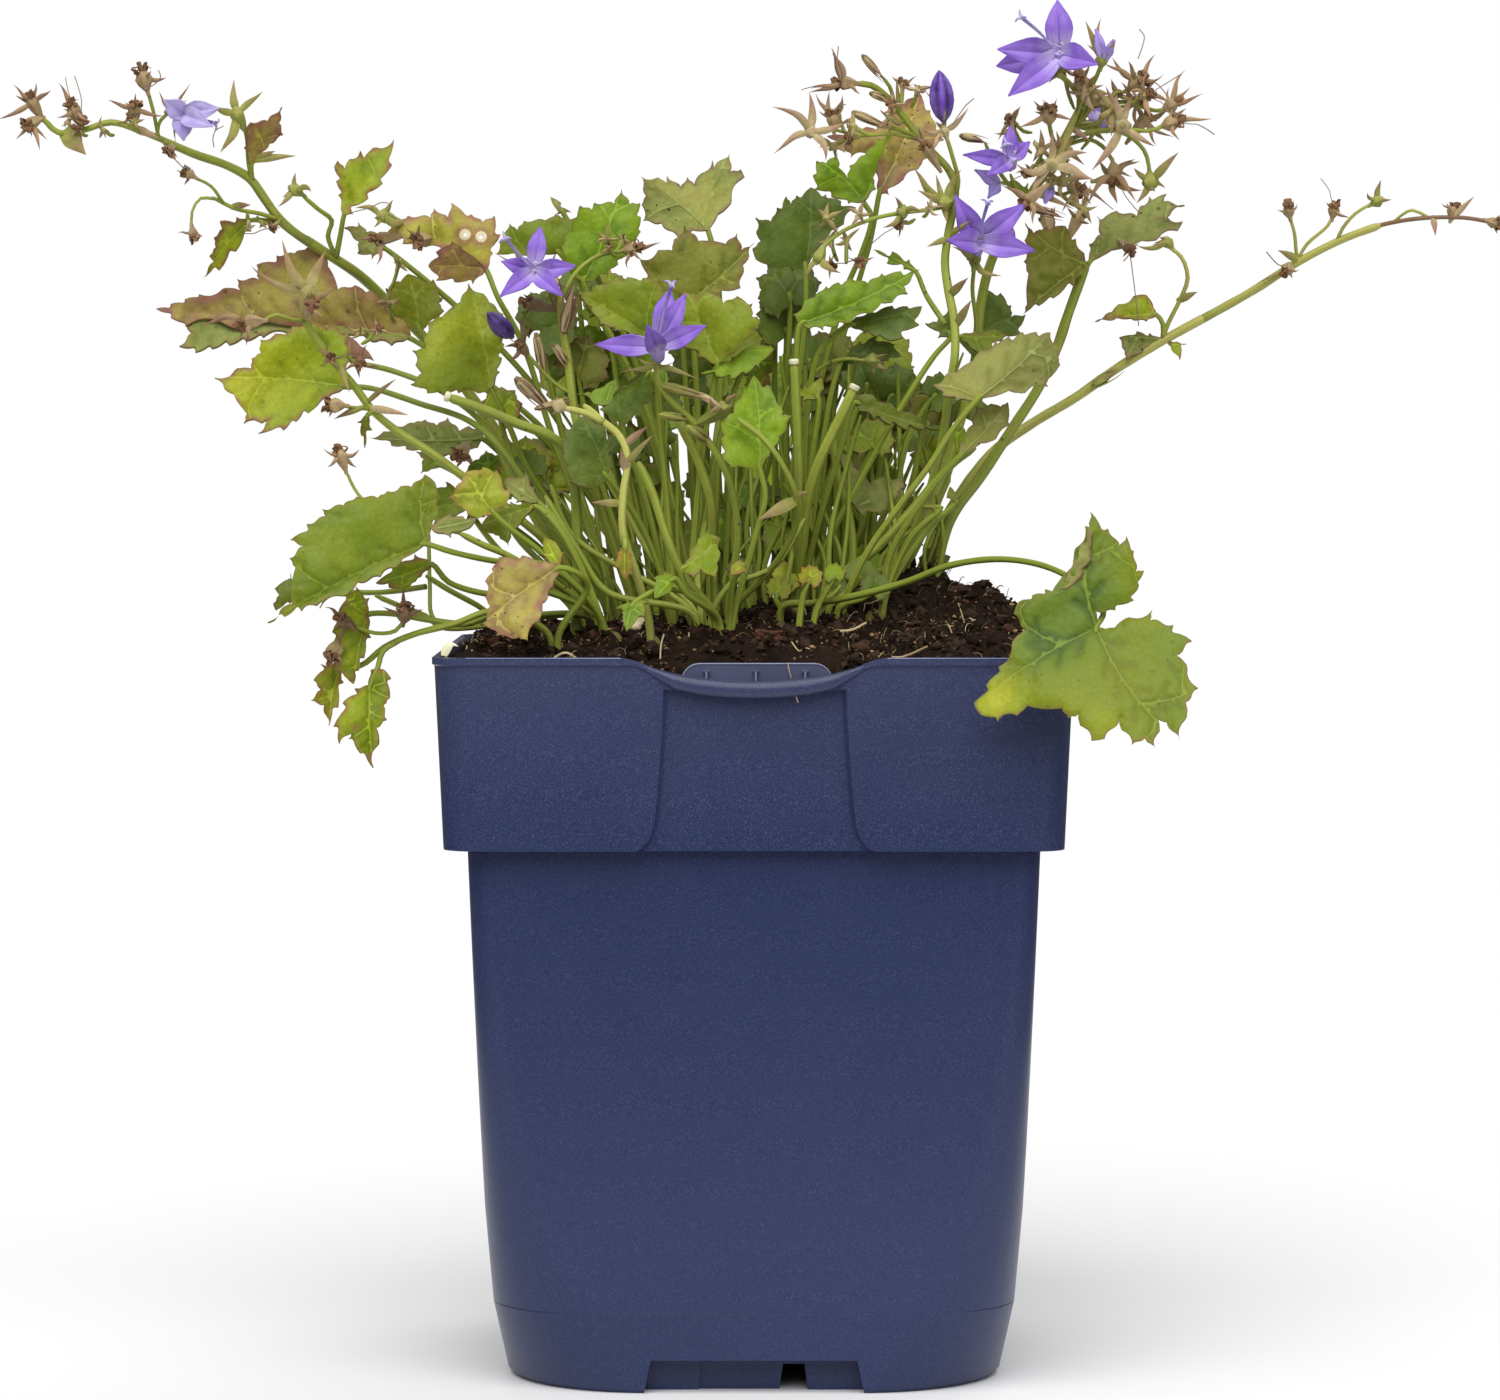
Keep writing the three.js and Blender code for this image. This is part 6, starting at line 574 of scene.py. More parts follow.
    a_leaf("bright", (36.8, 163.1, -20.1), (0, 0.2), 35.7, 166, 36.3, 168.3, 38.1, 167.8, 38.3, 165.6,
      37.2, 163.6, bare=True),
    a_leaf("green", (36.6, 154.6, -13), (0, 0.3), 34.8, 155.4, 35.4, 157.4, 36.6, 155.8, 37.4, 153,
      way=[(31.4, 149.6, -13)]),
    a_leaf("green", (33.8, 153.6, -16), (0, 0.5), 31.6, 154.8, 29.8, 153.9, 32.4, 152.6,
      way=[(28.4, 148.4, -16)])]),
  # The big leaf's negative tones darken it round its heart, a painted shade; its positive tones turn it
  # yellow towards its lobes.
  a_shoot("leaf_right_big", -50, (4, -17), 2, leaves=[
    a_leaf("green", (58.8, 133.8, -60.2), (-0.05, 0.35), 58.8, 136.6, 62, 136.8, 65.2, 138.5, 67, 143.7,
      65.5, 143.4, 65.2, 147, 63.9, 149.5, 62.8, 147.4, 60.8, 150.8, 57.7, 153.7, 57.7, 151, 56.8, 151.3,
      55, 144.5, 51.2, 140, 50, 140.4, 45.5, 138.3, 44.6, 136.2, 46.7, 133.4, 42, 127, 37.8, 120.7,
      39, 118.8, 41.8, 117.7, 47, 120.4, 53, 120, 54, 118.3, 55.8, 118.9, 58, 114.4, 60.3, 114.7, 62.8, 118,
      65, 113.7, 67.2, 114.8, 69, 113, 69.5, 118, 71, 117.5, 73.3, 114.2, 74.2, 121, 76.3, 123.4, 72.5, 129,
      75.2, 131.5, 72, 134.2, 68, 135, 68.4, 136.8, 62, 133.7, 60.4, 133.5, tones=[(56.5, 139, 6.5, -1),
      (50, 132, 7, -0.9), (60, 144, 5, -0.4), (40, 119.5, 4.5, 0.9), (45, 123, 5, 0.35), (53, 123, 4, 0.2),
      (66, 144, 4, 0.4), (67, 127, 7, -0.3), (57, 127, 5, -0.2), (60.5, 117, 3, 0.4)],
      way=[(60, 136.6, -56), (56, 141.2, -51), (50, 144.4, -45), (42.6, 145.6, -40), (34, 144.6, -34),
      (26, 141.6, -29), (18, 139.4, -25), (10, 138, -20)])]),
  a_shoot("leaves_back_left", 0, (-19, 30), 2.8, leaves=[
    a_leaf("green", (-30, 172, 42), (0.1, 0.4), -26, 174, -25, 178, -28, 182, -33, 184, -38, 181, -39, 176,
      -36, 172, -33, 170),
    a_leaf("bright", (-16, 168, 54), (0.1, 0.8), -12, 168, -9, 171, -11, 176, -16, 179, -21, 177, -23, 172,
      -20, 168),
    a_leaf("dark", (-34, 156, 54), (0.3, 0.8), -31, 158, -30, 162, -34, 166, -40, 166, -43, 161, -40, 156),
    a_leaf("green", (-20, 150, 55), (0.1, 1.2), -16, 150, -13, 154, -16, 160, -21, 161, -26, 158, -25,
      152)]),
  a_shoot("leaves_back_centre", 0, (0, 34), 2.8, leaves=[
    a_leaf("green", (-4, 178, 46), (0.1, 0.4), 0, 178, 4, 181, 3, 186, -2, 190, -8, 188, -11, 182, -8, 178),
    a_leaf("bright", (8, 170, 56), (-0.1, 0.7), 12, 171, 15, 175, 12, 181, 6, 182, 1, 178, 3, 171),
    a_leaf("fresh", (2, 154, 55), (0, 1.2), 7, 154, 9, 158, 6, 164, 0, 165, -6, 161, -4, 154),
    a_leaf("dark", (14, 160, 50), (0.2, 0.8), 19, 160, 22, 164, 19, 169, 13, 169, 9, 165, 10, 160)]),
  a_shoot("leaves_back_right", 0, (16, 36), 2.8, leaves=[
    a_leaf("green", (22, 176, 48), (0.1, 0.5), 26, 176, 29, 179, 28, 184, 23, 187, 17, 184, 17, 178),
    a_leaf("dark", (27, 164, 58), (-0.2, 0.8), 31, 164, 34, 167, 32, 173, 26, 174, 22, 170, 23, 165),
    a_leaf("green", (19, 152, 54), (0, 1.2), 24, 152, 26, 156, 22, 161, 16, 161, 13, 156, 15, 152)]),
]

BLOOMS = [
  a_bloom("bloom_star_left", -10, (-38.6, 195.6, -20.6), (-39.6, 196.3, -23.6), 3.4, (-44.2, 201.6, -33),
    (-38.1, 203.7, -23), (-32.1, 196.8, -25), (-44.8, 197.6, -27), (-44.9, 191.8, -29), (-34.6, 192, -29)),
  a_bloom("bloom_star_centre", -10, (-17, 179.8, -35), (-17.4, 183.6, -37.4), 3.8, (-14.8, 193.2, -44),
    (-27.8, 182.9, -41), (-8.9, 186.1, -41), (-15, 192.8, -34), (-12.2, 191.8, -38), (-19, 186, -47)),
  a_bloom("bloom_top", 0, (55.1, 232.9, -4), (54.9, 236, -6), 5, (48.3, 241.6, -16), (54.6, 244.7, -7),
    (44.4, 236, -10), (43.6, 233, -3), (46.2, 228, -12), (61.2, 233.6, -12)),
  a_bloom("bloom_low", 0, (40, 199, -5), (40.4, 202.4, -6.6), 4.4, (42, 208, -9), (36.6, 209.3, -12),
    (48.7, 208.1, -10), (50.4, 199.9, -12), (35.2, 201.8, -16), (47.6, 204, 2)),
  a_bloom("bloom_side", 0, (46.2, 214.4, -3), (45.8, 216.8, -5), 3, (45.4, 219, -13), (46.3, 222.1, -6),
    (38.2, 217.1, -9), (49.6, 219.4, -6), (42.3, 213.6, -11)),
  a_bloom("bloom_far", 0, (61.4, 222.3, 8.6), (62, 223.4, 10.4), 3.2, (63, 226, 16), (65.6, 225, 12),
    (60.4, 226, 12), (59.6, 221.6, 15), (64, 222.2, 15)),
  a_bloom("bloom_left", 2, (-103.6, 224.8, -10.4), (-102.6, 224.4, -12.4), 3.8, (-97.6, 223, -13),
    (-96.8, 225.6, -15), (-106.2, 227, -16), (-102.9, 220, -14), (-98.4, 222.6, -18), faded=0.7),
]

# Small growth that has no solid of its own: stalks and leaves deep in the plant, and dried bits.
EXTRAS = [
  a_shoot("extra_left", -22, (-27, -24), 2.2, stems=[
    a_stem(0.7, (-52, 149.5, -38), (-48, 147.5, -37), (-43, 145.3, -35), to_root=True),
    a_stem(0.6, (-58, 142, -36), (-54, 139.5, -35), (-49, 136.8, -34), (-46, 135, -32), to_root=True),
    a_stem(0.6, (-67, 138.5, -33), (-63, 136.8, -33), (-58, 134.8, -32), (-55, 132.8, -32), to_root=True),
    a_stem(0.4, (-72.1, 160.6, -30), (-70.6, 157.4, -30), (-68.8, 155.2, -31), (-62, 152, -34),
      (-52, 149.5, -38)),
    a_stem(0.5, (-57.5, 150, -26), (-57.3, 140, -27), (-57, 135, -29), (-55.5, 133.5, -30), to_root=True)],
    leaves=[
    a_leaf("dark", (-80, 138.6, -30), (0.2, 0.3), -82, 142.5, -84.7, 139.7, -83.9, 138.5, -85, 137,
      -84.5, 135.8, -82, 137, way=[(-74, 139, -30), (-66, 139, -31)], joins=(-58, 140, -35))], calyces=[
    a_calyx("dried", 1.3, (-72.9, 163.2, -30), (-72.1, 160.6, -30), (-76, 164.6, -31), (-70, 164.8, -31),
      (-75, 160.6, -32), (-70.6, 160.8, -29))]),
  a_shoot("extra_front", -20, (-9, -28), 2.2, stems=[
    a_stem(0.7, (-37, 156, -27), (-31, 146, -28), (-26, 139, -28), to_root=True),
    a_stem(0.6, (-36, 158, -22), (-32, 149, -23), to_root=True),
    a_stem(0.6, (9, 152, -26), (4, 144, -27), (0, 141.8, -28), (-4, 140.5, -28), to_root=True),
    a_stem(0.6, (-28, 166, -14), (-22, 152, -18), (-16, 142, -22), to_root=True),
    a_stem(0.7, (-6, 172, -16), (-8, 156, -20), (-10, 142, -24), to_root=True)]),
  a_shoot("extra_right", 0, (12, -9), 2.4, stems=[
    a_stem(0.9, (40, 164.5, -12), (36.5, 162, -12), (33, 158.5, -12), (28, 152.5, -12), (22, 146, -11),
      (15, 140.5, -10), to_root=True),
    a_stem(1.3, (35, 160, 12), (32, 153, 11), (29.5, 148, 10), (26.5, 142, 8)),
    a_stem(0.45, (20, 180.2, -9), (16, 180.4, -9), (12.6, 179.2, -8), (9.8, 176, -7), (9, 168, -6),
      (10, 156, -7), to_root=True),
    a_stem(0.9, (14, 169, -6), (15, 160, -6), (17, 153, -6), (17.8, 146, -6), (17.5, 143, -6),
      to_root=True)], leaves=[
    a_leaf("green", (37, 184.5, 1), (0.1, 0.3), 40, 185.5, 43.5, 185.8, 45.5, 184.5, 43, 182.5, 41, 181.3,
      39, 182.5, way=[], joins=(40, 181, 4))], calyces=[
    a_calyx("green", 1.5, (21.4, 180.2, -9), (20, 180.2, -9), (24.2, 181.2, -10), (24, 178.8, -10),
      (21.6, 177.4, -9)),
    a_calyx("dried", 1.3, (70.4, 223.4, 7), (67.4, 219.6, 6), (74.6, 226.8, 5), (76, 221, 6),
      (71.6, 218.4, 4), (67.6, 226.4, 8)),
    a_calyx("dried", 1.2, (49.6, 209, -8), (52.4, 211.4, -6), (44.8, 211, -10), (44.4, 206.8, -9),
      (48.4, 204.6, -11), (53.2, 206.4, -10)),
    a_calyx("bronze", 1.2, (64.6, 213, 9), (61.4, 212.4, 8), (68.8, 216, 8), (70, 211, 9), (66.4, 208.6, 7),
      (62.6, 216.4, 10)),
    a_calyx("dried", 1.1, (31.4, 218, -12), (33.4, 214.6, -12), (27.6, 220.4, -13), (30, 222.6, -12),
      (34.4, 220.6, -14))]),
]

# Closed buds: name, plane, foot, tip and width.
BUDS = [
  ("bud_right", 0, (34.2, 222.9, -13.6), (33.3, 232.3, -14), 4.1),
  ("bud_left", -10, (-43, 184.1, -25), (-47.6, 188.6, -29), 3.3)
]

# Thin dried styles and rootlets seen against the white: each a route on its plane.
THREADS = [
  (-5, [(-95, 222, -8), (-96.4, 221.2, -8.4), (-96.9, 219.8, -8.6), (-96.7, 218.2, -8.6)]),
  (-5, [(-109, 228.6, -8), (-107.4, 229.4, -8.5), (-106.2, 230.8, -9), (-106.6, 232, -9)]),
  (-5, [(-72, 206.6, -10), (-69, 207.4, -11), (-66.4, 208.4, -12), (-65.3, 208, -12), (-65.6, 207, -12)]),
  (0, [(15.6, 231, -17), (15, 233.4, -17), (15.2, 236.6, -17)]),
  (0, [(35.8, 222.6, -14), (37, 224.4, -15), (38.2, 226, -15), (39.6, 227.2, -15)]),
  (0, [(69.1, 234.3, -2), (69.9, 236.6, -3), (70.2, 238.4, -3), (69.3, 239.6, -3)]),
  (0, [(67.4, 201.6, 14), (68.2, 196.4, 16), (69, 190, 18), (69.4, 186.4, 20)])
]

# Where leaves fill the plant between the measured ones: x, z and depth from and to, size and how many.
CANOPY = [
  (-40, -14, 176, 193, 4, 22, 6.6, 12), (-14, 8, 172, 194, 6, 24, 6.6, 9), (8, 38, 168, 184, 6, 28, 6.0, 9),
  (6, 24, 150, 168, 6, 28, 6.0, 5), (-52, -30, 150, 180, 2, 18, 5.6, 8),
  (-16, 22, 137, 147, -30, -10, 3.3, 10)
]

# Dried flowers that crowd round the stems: plane, the stretch they spring from, how many, how long their
# stalks and sepals are, and which way they lean in x and z.
SPRAYS = [
  (0, (66, 226.6, 4), (57, 220, 4), 8, 7, 5.2, (0.7, 0.5)),
  (0, (64, 218.4, 7), (50, 209, 4), 6, 6, 4.8, (0.5, -0.3)),
  (0, (58, 224, 4), (50, 212, 4), 5, 5, 4.4, (-0.6, 0.3)),
  (0, (24, 227.4, -10), (30.6, 219.2, -8.4), 4, 4, 3.4, (-0.5, 0.3)),
  (0, (14, 221.6, -15.6), (27, 220.5, -11), 4, 4, 3.8, (-0.2, -0.2)),
  (0, (14, 202, -15), (33, 207.5, -10), 4, 3, 3, (0, -0.2)),
  (2, (-126, 221.4, -7), (-108, 220.6, -4), 7, 2.6, 2.2, (-0.2, 0.5)),
  (-5, (-79, 184, -17), (-69, 172, -15.5), 3, 3.2, 3.2, (0.2, 0.3)),
  (-5, (-68, 192.6, 8), (-60, 184, 8), 4, 5, 3, (-0.1, 0.7)),
  (-10, (-28, 198.6, -14), (-23, 199.6, -12), 3, 2.4, 2.6, (0, 0.3)),
  (2, (-92, 213, -2), (-85, 205.4, 1), 3, 2.4, 1.6, (-0.3, -0.4)),
  (0, (22, 203, -8), (8, 194, -6), 4, 3.4, 2.8, (0.1, 0.2))
]

# Loose and faded petals: plane, foot, tip and width.
PETAL_BITS = [
  (0, (44, 212, 0), (40.2, 214.3, -3), 2.2), (0, (44, 212, 0), (42.3, 209.6, -3), 2),
  (0, (53.6, 211.6, 2), (52.5, 208.6, 0), 1.8), (0, (62.8, 234, 0), (61.5, 239.5, -2), 1.8),
  (0, (63, 234, 0), (64.7, 237.6, -3), 1.6), (0, (36.4, 210.4, -6), (34.6, 206.6, -8), 1.6)
]

# Strips of leaf turned over to show their under side: the plane, then the strip.
FOLDS = [
  (-50, a_leaf("under", (51.4, 140.2, -58.2), (-0.5, 0.43), 53.6, 142.4, 54.8, 145.4, 56.2, 148.4,
    57.6, 151.2, 58.2, 150, 57.6, 147.4, 57.9, 145.6, 56.6, 143.4, 55.2, 141.6, 53.4, 140.4, bare=True))
]

# Rootlets that lie on the soil as the photo shows them: x, y and how high each point is raised.
SEEN_ROOTLETS = [
  [(20, -44, 0.4), (25, -45, 0.9), (30, -44, 0.4)], [(15, -38, 0.3), (17, -37, 1.8), (19.6, -36, 2.6)],
  [(-35, -47, 0.3), (-32.4, -48, 0.8), (-29.6, -47, 0.2)]
]

# Hairs that hang over the rim and down the tongue: their radius, then their route as x, y and z.
HAIRS = [
  (0.15, [(-15.6, -44, 132.4), (-16, -48, 130.8), (-16.1, -52.6, 128.6)]),
  (0.09, [(5.8, -49.9, 127.8), (6, -50.3, 126.6), (6.4, -50.5, 125.2)]),
  (0.09, [(6.9, -55.4, 123.2), (7.2, -55.2, 122.2), (7.5, -55, 121.2)])
]

# A pale scrap of straw on the left-hand corner of the rim.
SCRAP = [(-53.2, -51.6, 129), (-52.8, -51, 130.2), (-51.8, -50.4, 131), (-50.8, -50.4, 130.6)]

# Lumps in the soil: name, place, size, turn, finish, slot, roughness, how far they stand out, crease angle.
LUMPS = [
  ("pebble", (-20.8, -26.4), (5.2, 4, 3.6), 0.3, "stone", "pebble", 0.35, -0.5, 80),
  ("bark_chip_left", (-46, -30), (4.4, 2.6, 2.2), 0.5, "chip", "bark", 0.7, 0.3, 30),
  ("bark_chip_middle", (2.6, -41), (5, 3, 2.4), 0.1, "chip", "bark", 0.7, 0.3, 30)
]

# Colours of each kind of leaf: blade, second colour, margin, how far in the margin's colour reaches, spots.
LEAF_TINTS = {
    "fresh": [(152, 166, 22), (114, 138, 18), (140, 106, 58), 1.0, 0.35],
    "bright": [(120, 148, 18), (92, 124, 16), (118, 130, 32), 0.6, 0.15],
    "green": [(106, 128, 22), (130, 142, 26), (126, 118, 46), 0.7, 0.3],
    "dark": [(78, 98, 26), (96, 116, 28), (102, 100, 44), 0.5, 0.25],
    "olive": [(132, 134, 44), (108, 116, 34), (124, 100, 58), 1.1, 0.4],
    "yellow": [(162, 172, 40), (140, 152, 36), (156, 122, 62), 1.1, 0.35],
    "bronze": [(168, 156, 64), (142, 114, 76), (142, 98, 78), 2.2, 0.6],
    "rosy": [(178, 174, 58), (154, 152, 56), (154, 106, 84), 1.4, 0.5],
    "dried": [(154, 120, 76), (124, 98, 60), (132, 90, 68), 3.0, 0.5],
    "under": [(146, 152, 82), (120, 132, 62), (138, 122, 80), 0.8, 0.7],
    "under_bronze": [(152, 146, 94), (134, 124, 80), (144, 108, 88), 2.6, 0.8],
}

# The finish on the back of a leaf, where it isn't leaf_under.
LEAF_BACKS = {"under": "leaf_green", "under_bronze": "leaf_bronze", "bronze": "leaf_under_bronze",
              "rosy": "leaf_under_bronze", "dried": "leaf_under_bronze"}

# Colours of stalks: upper end, lower end, streaks and painted shade in the grooves, blotches, and how many
# specks of dirt.
STALK_TINTS = {
    "leaf_stalk": [(168, 176, 74), (146, 160, 50), (94, 114, 32), (140, 130, 60)],
    "green_stalk": [(164, 172, 74), (160, 168, 64), (112, 130, 44), (138, 120, 62)],
    "pale_stalk": [(166, 172, 80), (194, 190, 104), (152, 156, 72), (174, 160, 90), 0.3],
    "dry_stalk": [(156, 132, 82), (140, 106, 88), (112, 84, 62), (118, 88, 70), 0.3],
    "rib": [(156, 170, 92), (150, 166, 84), (122, 144, 62), (144, 142, 82), 0.3],
}

# Colours of calyces: ovary and sepal foot, then sepal tip.
CALYX_TINTS = {
    "green": [(152, 156, 74), (150, 116, 88)],
    "rosy": [(188, 172, 126), (154, 106, 94)],
    "bronze": [(164, 154, 94), (150, 104, 90)],
    "dried": [(168, 144, 104), (144, 102, 84)],
    "dark": [(128, 106, 76), (110, 76, 64)],
}

# Other small parts: the colour at the foot, the colour at the tip and the roughness, and for some of them
# where the one turns into the other, and how much they shine.
ALL_ALONG = (0.1, 0.8)
TWO_TONES = {
    "crown": [(116, 112, 54), (92, 84, 44), 0.7],
    "husk": [(130, 112, 76), (112, 80, 68), 0.66],
    "withered": [(150, 114, 78), (112, 78, 54), 0.75],
    "pith": [(206, 204, 160), (232, 228, 204), 0.8],
    "scar": [(176, 170, 112), (140, 126, 72), 0.65],
    "thread": [(150, 138, 120), (140, 110, 90), 0.6],
    "rootlet": [(196, 178, 140), (170, 146, 104), 0.65],
    "funnel": [(150, 130, 200), (196, 184, 232), 0.5],
    "style": [(198, 186, 232), (120, 90, 190), 0.5, (0.4, 1.0)],
    "stamen": [(226, 220, 240), (214, 200, 178), 0.55],
    # The tongue's lines down its ribs and along its top edge are a painted highlight.
    "tongue_edge": [(120, 124, 152), (134, 138, 164), 0.35, ALL_ALONG, 0.5],
    # The rim's line is a painted highlight.
    "rim_edge": [(84, 96, 136), (124, 134, 166), 0.4, ALL_ALONG, 0.5],
}

# Crumbs, chips and the pebble: a lighter colour and a darker one.
LUMP_TINTS = {
    "crumb_brown": [(68, 48, 34), (38, 27, 20)],
    "crumb_tan": [(176, 146, 100), (120, 88, 56)],
    "crumb_red": [(88, 54, 40), (58, 36, 28)],
    "chip": [(100, 64, 46), (64, 42, 32)],
    "stone": [(214, 202, 166), (176, 158, 116)],
}

# The values that a mesh carries for its finish.
PAINTED = ("vein", "rim", "along", "across", "shade", "spot", "tone")

# Where the plastic changes from the body's look to the collar's: heights in metres.
AT_LEDGE = (0.0952, 0.0958)

# How the flowers and leaves are made
SEPALS = 5
RIBS = 11
PALE_STEMS = ("stem_right_long", "stem_front_pale")
FRESH_HUSKS = ("stem_front_pale", "stem_right_long", "stem_centre")
PETAL_PROFILE = [(0, 0.46), (0.2, 0.66), (0.38, 0.89), (0.5, 0.97), (0.62, 0.91), (0.76, 0.67), (0.9, 0.31),
                 (1, 0.02)]
BUD_PROFILE = [(0, 0.2), (0.04, 0.28), (0.12, 0.6), (0.25, 0.86), (0.4, 1.0), (0.55, 0.98), (0.68, 0.88),
               (0.8, 0.68), (0.9, 0.42), (0.96, 0.22), (1, 0.03)]
FUNNEL_RADII = [0.5, 0.95, 1.12, 1.2, 1.26, 1.36, 1.5, 1.66, 1.85]
FIBRE_RADII = (0.12, 0.13, 0.11, 0.08, 0.04)

# Angles, in degrees, from which an edge stays sharp, and the angle from which it is bevelled.
PLANT_CREASE = 62
FLOWER_CREASE = 60
BEVEL_FROM = math.radians(34)

# The studio, in metres and degrees: the floor, and each light's name, place and width.
FLOOR_PLACE = (0, 1.18, 0)
FLOOR_SIZE = (0.56, 3.0, 1)
LIGHTS = [("key", (-0.25, -1.5, 1.8), 60), ("fill", (1.6, -1.3, 0.9), 50), ("back", (0.5, 1.4, 1.5), 60)]


class LeafSettings(bpy.types.PropertyGroup):
    """Sizes of the leaves and stalks."""

    thickness: FloatProperty(name="Leaf thickness", description="Thickness of a blade", default=0.42 * MM,
                             unit="LENGTH", precision=5)
    mesh_step: FloatProperty(name="Leaf mesh step", description="Distance between points of a blade",
                             default=0.8 * MM, unit="LENGTH", precision=5)
    vein_depth: FloatProperty(name="Vein depth", description="How far the blade swells between its veins",
                              default=0.42 * MM, unit="LENGTH", precision=5)
    margin_curl: FloatProperty(name="Margin curl", description="How far the margin turns down",
                               default=0.8 * MM, unit="LENGTH", precision=5)
    waviness: FloatProperty(name="Waviness", description="Height of the slow waves of a blade",
                            default=1.5 * MM, unit="LENGTH", precision=5)
    stalk_ridges: IntProperty(name="Stalk ridges", description="Ridges round a stalk", default=5)
    inner_stalks: IntProperty(name="Inner stalks", description="Stalks added deep in the plant", default=76)
    inner_leaves: IntProperty(name="Inner leaves", description="Small leaves added deep in the plant",
                              default=44)


class FlowerSettings(bpy.types.PropertyGroup):
    """Sizes and colours of the flowers."""

    petal: FloatVectorProperty(name="Petal", description="Colour of a petal", subtype="COLOR",
                               default=srgb(156, 122, 212))
    petal_edge: FloatVectorProperty(name="Petal edge", description="Colour at the tip and along the edges",
                                    subtype="COLOR", default=srgb(118, 78, 190))
    throat: FloatVectorProperty(name="Throat", description="Colour deep in the flower", subtype="COLOR",
                                default=srgb(208, 196, 228))
    vein: FloatVectorProperty(name="Petal vein", description="Colour of the lines on a petal",
                              subtype="COLOR", default=srgb(84, 44, 150))
    bud: FloatVectorProperty(name="Bud", description="Colour of a closed bud", subtype="COLOR",
                             default=srgb(92, 62, 150))
    thickness: FloatProperty(name="Petal thickness", description="Thickness of a petal", default=0.3 * MM,
                             unit="LENGTH", precision=5)


class PotSettings(bpy.types.PropertyGroup):
    """Sizes and colours of the pot."""

    plastic: FloatVectorProperty(name="Plastic", description="Colour of the pot", subtype="COLOR",
                                 default=srgb(33, 43, 79))
    tongue: FloatVectorProperty(name="Label tongue", description="Colour of the thin tongue for the label",
                                subtype="COLOR", default=srgb(80, 84, 112))
    edge_radius: FloatProperty(name="Edge radius", description="Radius of the moulded edges",
                               default=0.2 * MM, unit="LENGTH", precision=5)
    arc_points: IntProperty(name="Corner points", description="Points round each corner", default=14)


class SoilSettings(bpy.types.PropertyGroup):
    """Sizes and colours of the soil."""

    peat: FloatVectorProperty(name="Peat", description="Colour of the soil", subtype="COLOR",
                              default=srgb(42, 30, 21))
    cells: IntProperty(name="Cells", description="Cells of the soil's surface along one side", default=250)
    relief: FloatProperty(name="Relief", description="Height of the crumbly relief", default=2.1 * MM,
                          unit="LENGTH", precision=5)
    crumbs: IntProperty(name="Crumbs", description="Loose crumbs on the soil", default=1150)
    grains: IntProperty(name="Grains", description="Fine grains and splinters on the soil", default=3600)
    rootlets: IntProperty(name="Rootlets", description="Thin pale rootlets on the soil", default=44)
    fibres: IntProperty(name="Fibres", description="Short brown fibres that stand up from the soil",
                        default=1700)


class StudioSettings(bpy.types.PropertyGroup):
    """The floor and the lights."""

    floor: FloatVectorProperty(name="Floor", description="Colour of the floor", subtype="COLOR",
                               default=(0.8, 0.8, 0.8))
    surround: FloatProperty(name="Surround", description="Light that comes in from all round", default=0.35)
    reflected: FloatProperty(name="Reflected", description="How bright the surroundings are in reflections",
                             default=0.12)
    key: FloatProperty(name="Key light", description="Strength of the light from the left front",
                       default=3.0)
    fill: FloatProperty(name="Fill light", description="Strength of the light from the right front",
                        default=0.45)
    back: FloatProperty(name="Back light", description="Strength of the light from behind", default=0.9)


# Measuring

def on_sight(point, plane):
    """The place of (x, z, depth), with x and z as read on the plane: it lies on that line of sight."""
    if isinstance(point, Vector):
        return point
    x, z, depth = point
    reach = (depth - EYE.y) / (plane - EYE.y)
    return Vector((EYE.x + (x - EYE.x) * reach, depth, EYE.z + (z - EYE.z) * reach))


def soil_height(x, y):
    spread = min(1.0, (x * x + y * y) / (RIM_HALF * RIM_HALF))
    height = SOIL_AT_WALL + SOIL_DOME * (1 - spread)
    for heap_x, heap_y, wide, deep, rise in SOIL_HEAPS:
        across = (x - heap_x) / wide
        along = (y - heap_y) / deep
        height += rise * math.exp(-(across * across + along * along) / 2)
    return height


def crown_top(shoot, came_from, spread=0.7):
    """Where a stalk that comes in from a point meets the crown of its shoot."""
    x, y = shoot["root"]
    side = Vector((came_from.x - x, came_from.y - y))
    side = side.normalized() * spread * shoot["stump"]
    return Vector((x + side.x, y + side.y, soil_height(x, y) + STALK_RISE))


def smooth_route(points, step=1.2):
    """A smooth curve through the points, with a point about every step."""
    ends = [2 * points[0] - points[1], *points, 2 * points[-1] - points[-2]]
    route = []
    for before, start, end, after in zip(ends, ends[1:], ends[2:], ends[3:]):
        spans = [max(1e-4, (b - a).length) ** 0.5 for a, b in ((before, start), (start, end), (end, after))]
        go = (start - before) / spans[0] - (end - before) / (spans[0] + spans[1]) + (end - start) / spans[1]
        come = (end - start) / spans[1] - (after - start) / (spans[1] + spans[2]) + (after - end) / spans[2]
        go *= spans[1]
        come *= spans[1]
        count = max(2, round((end - start).length / step))
        for k in range(count):
            t = k / count
            route.append(start * (2 * t**3 - 3 * t**2 + 1) + go * (t**3 - 2 * t**2 + t)
                         + end * (3 * t**2 - 2 * t**3) + come * (t**3 - t**2))
    route.append(points[-1].copy())
    return route


# Shaping

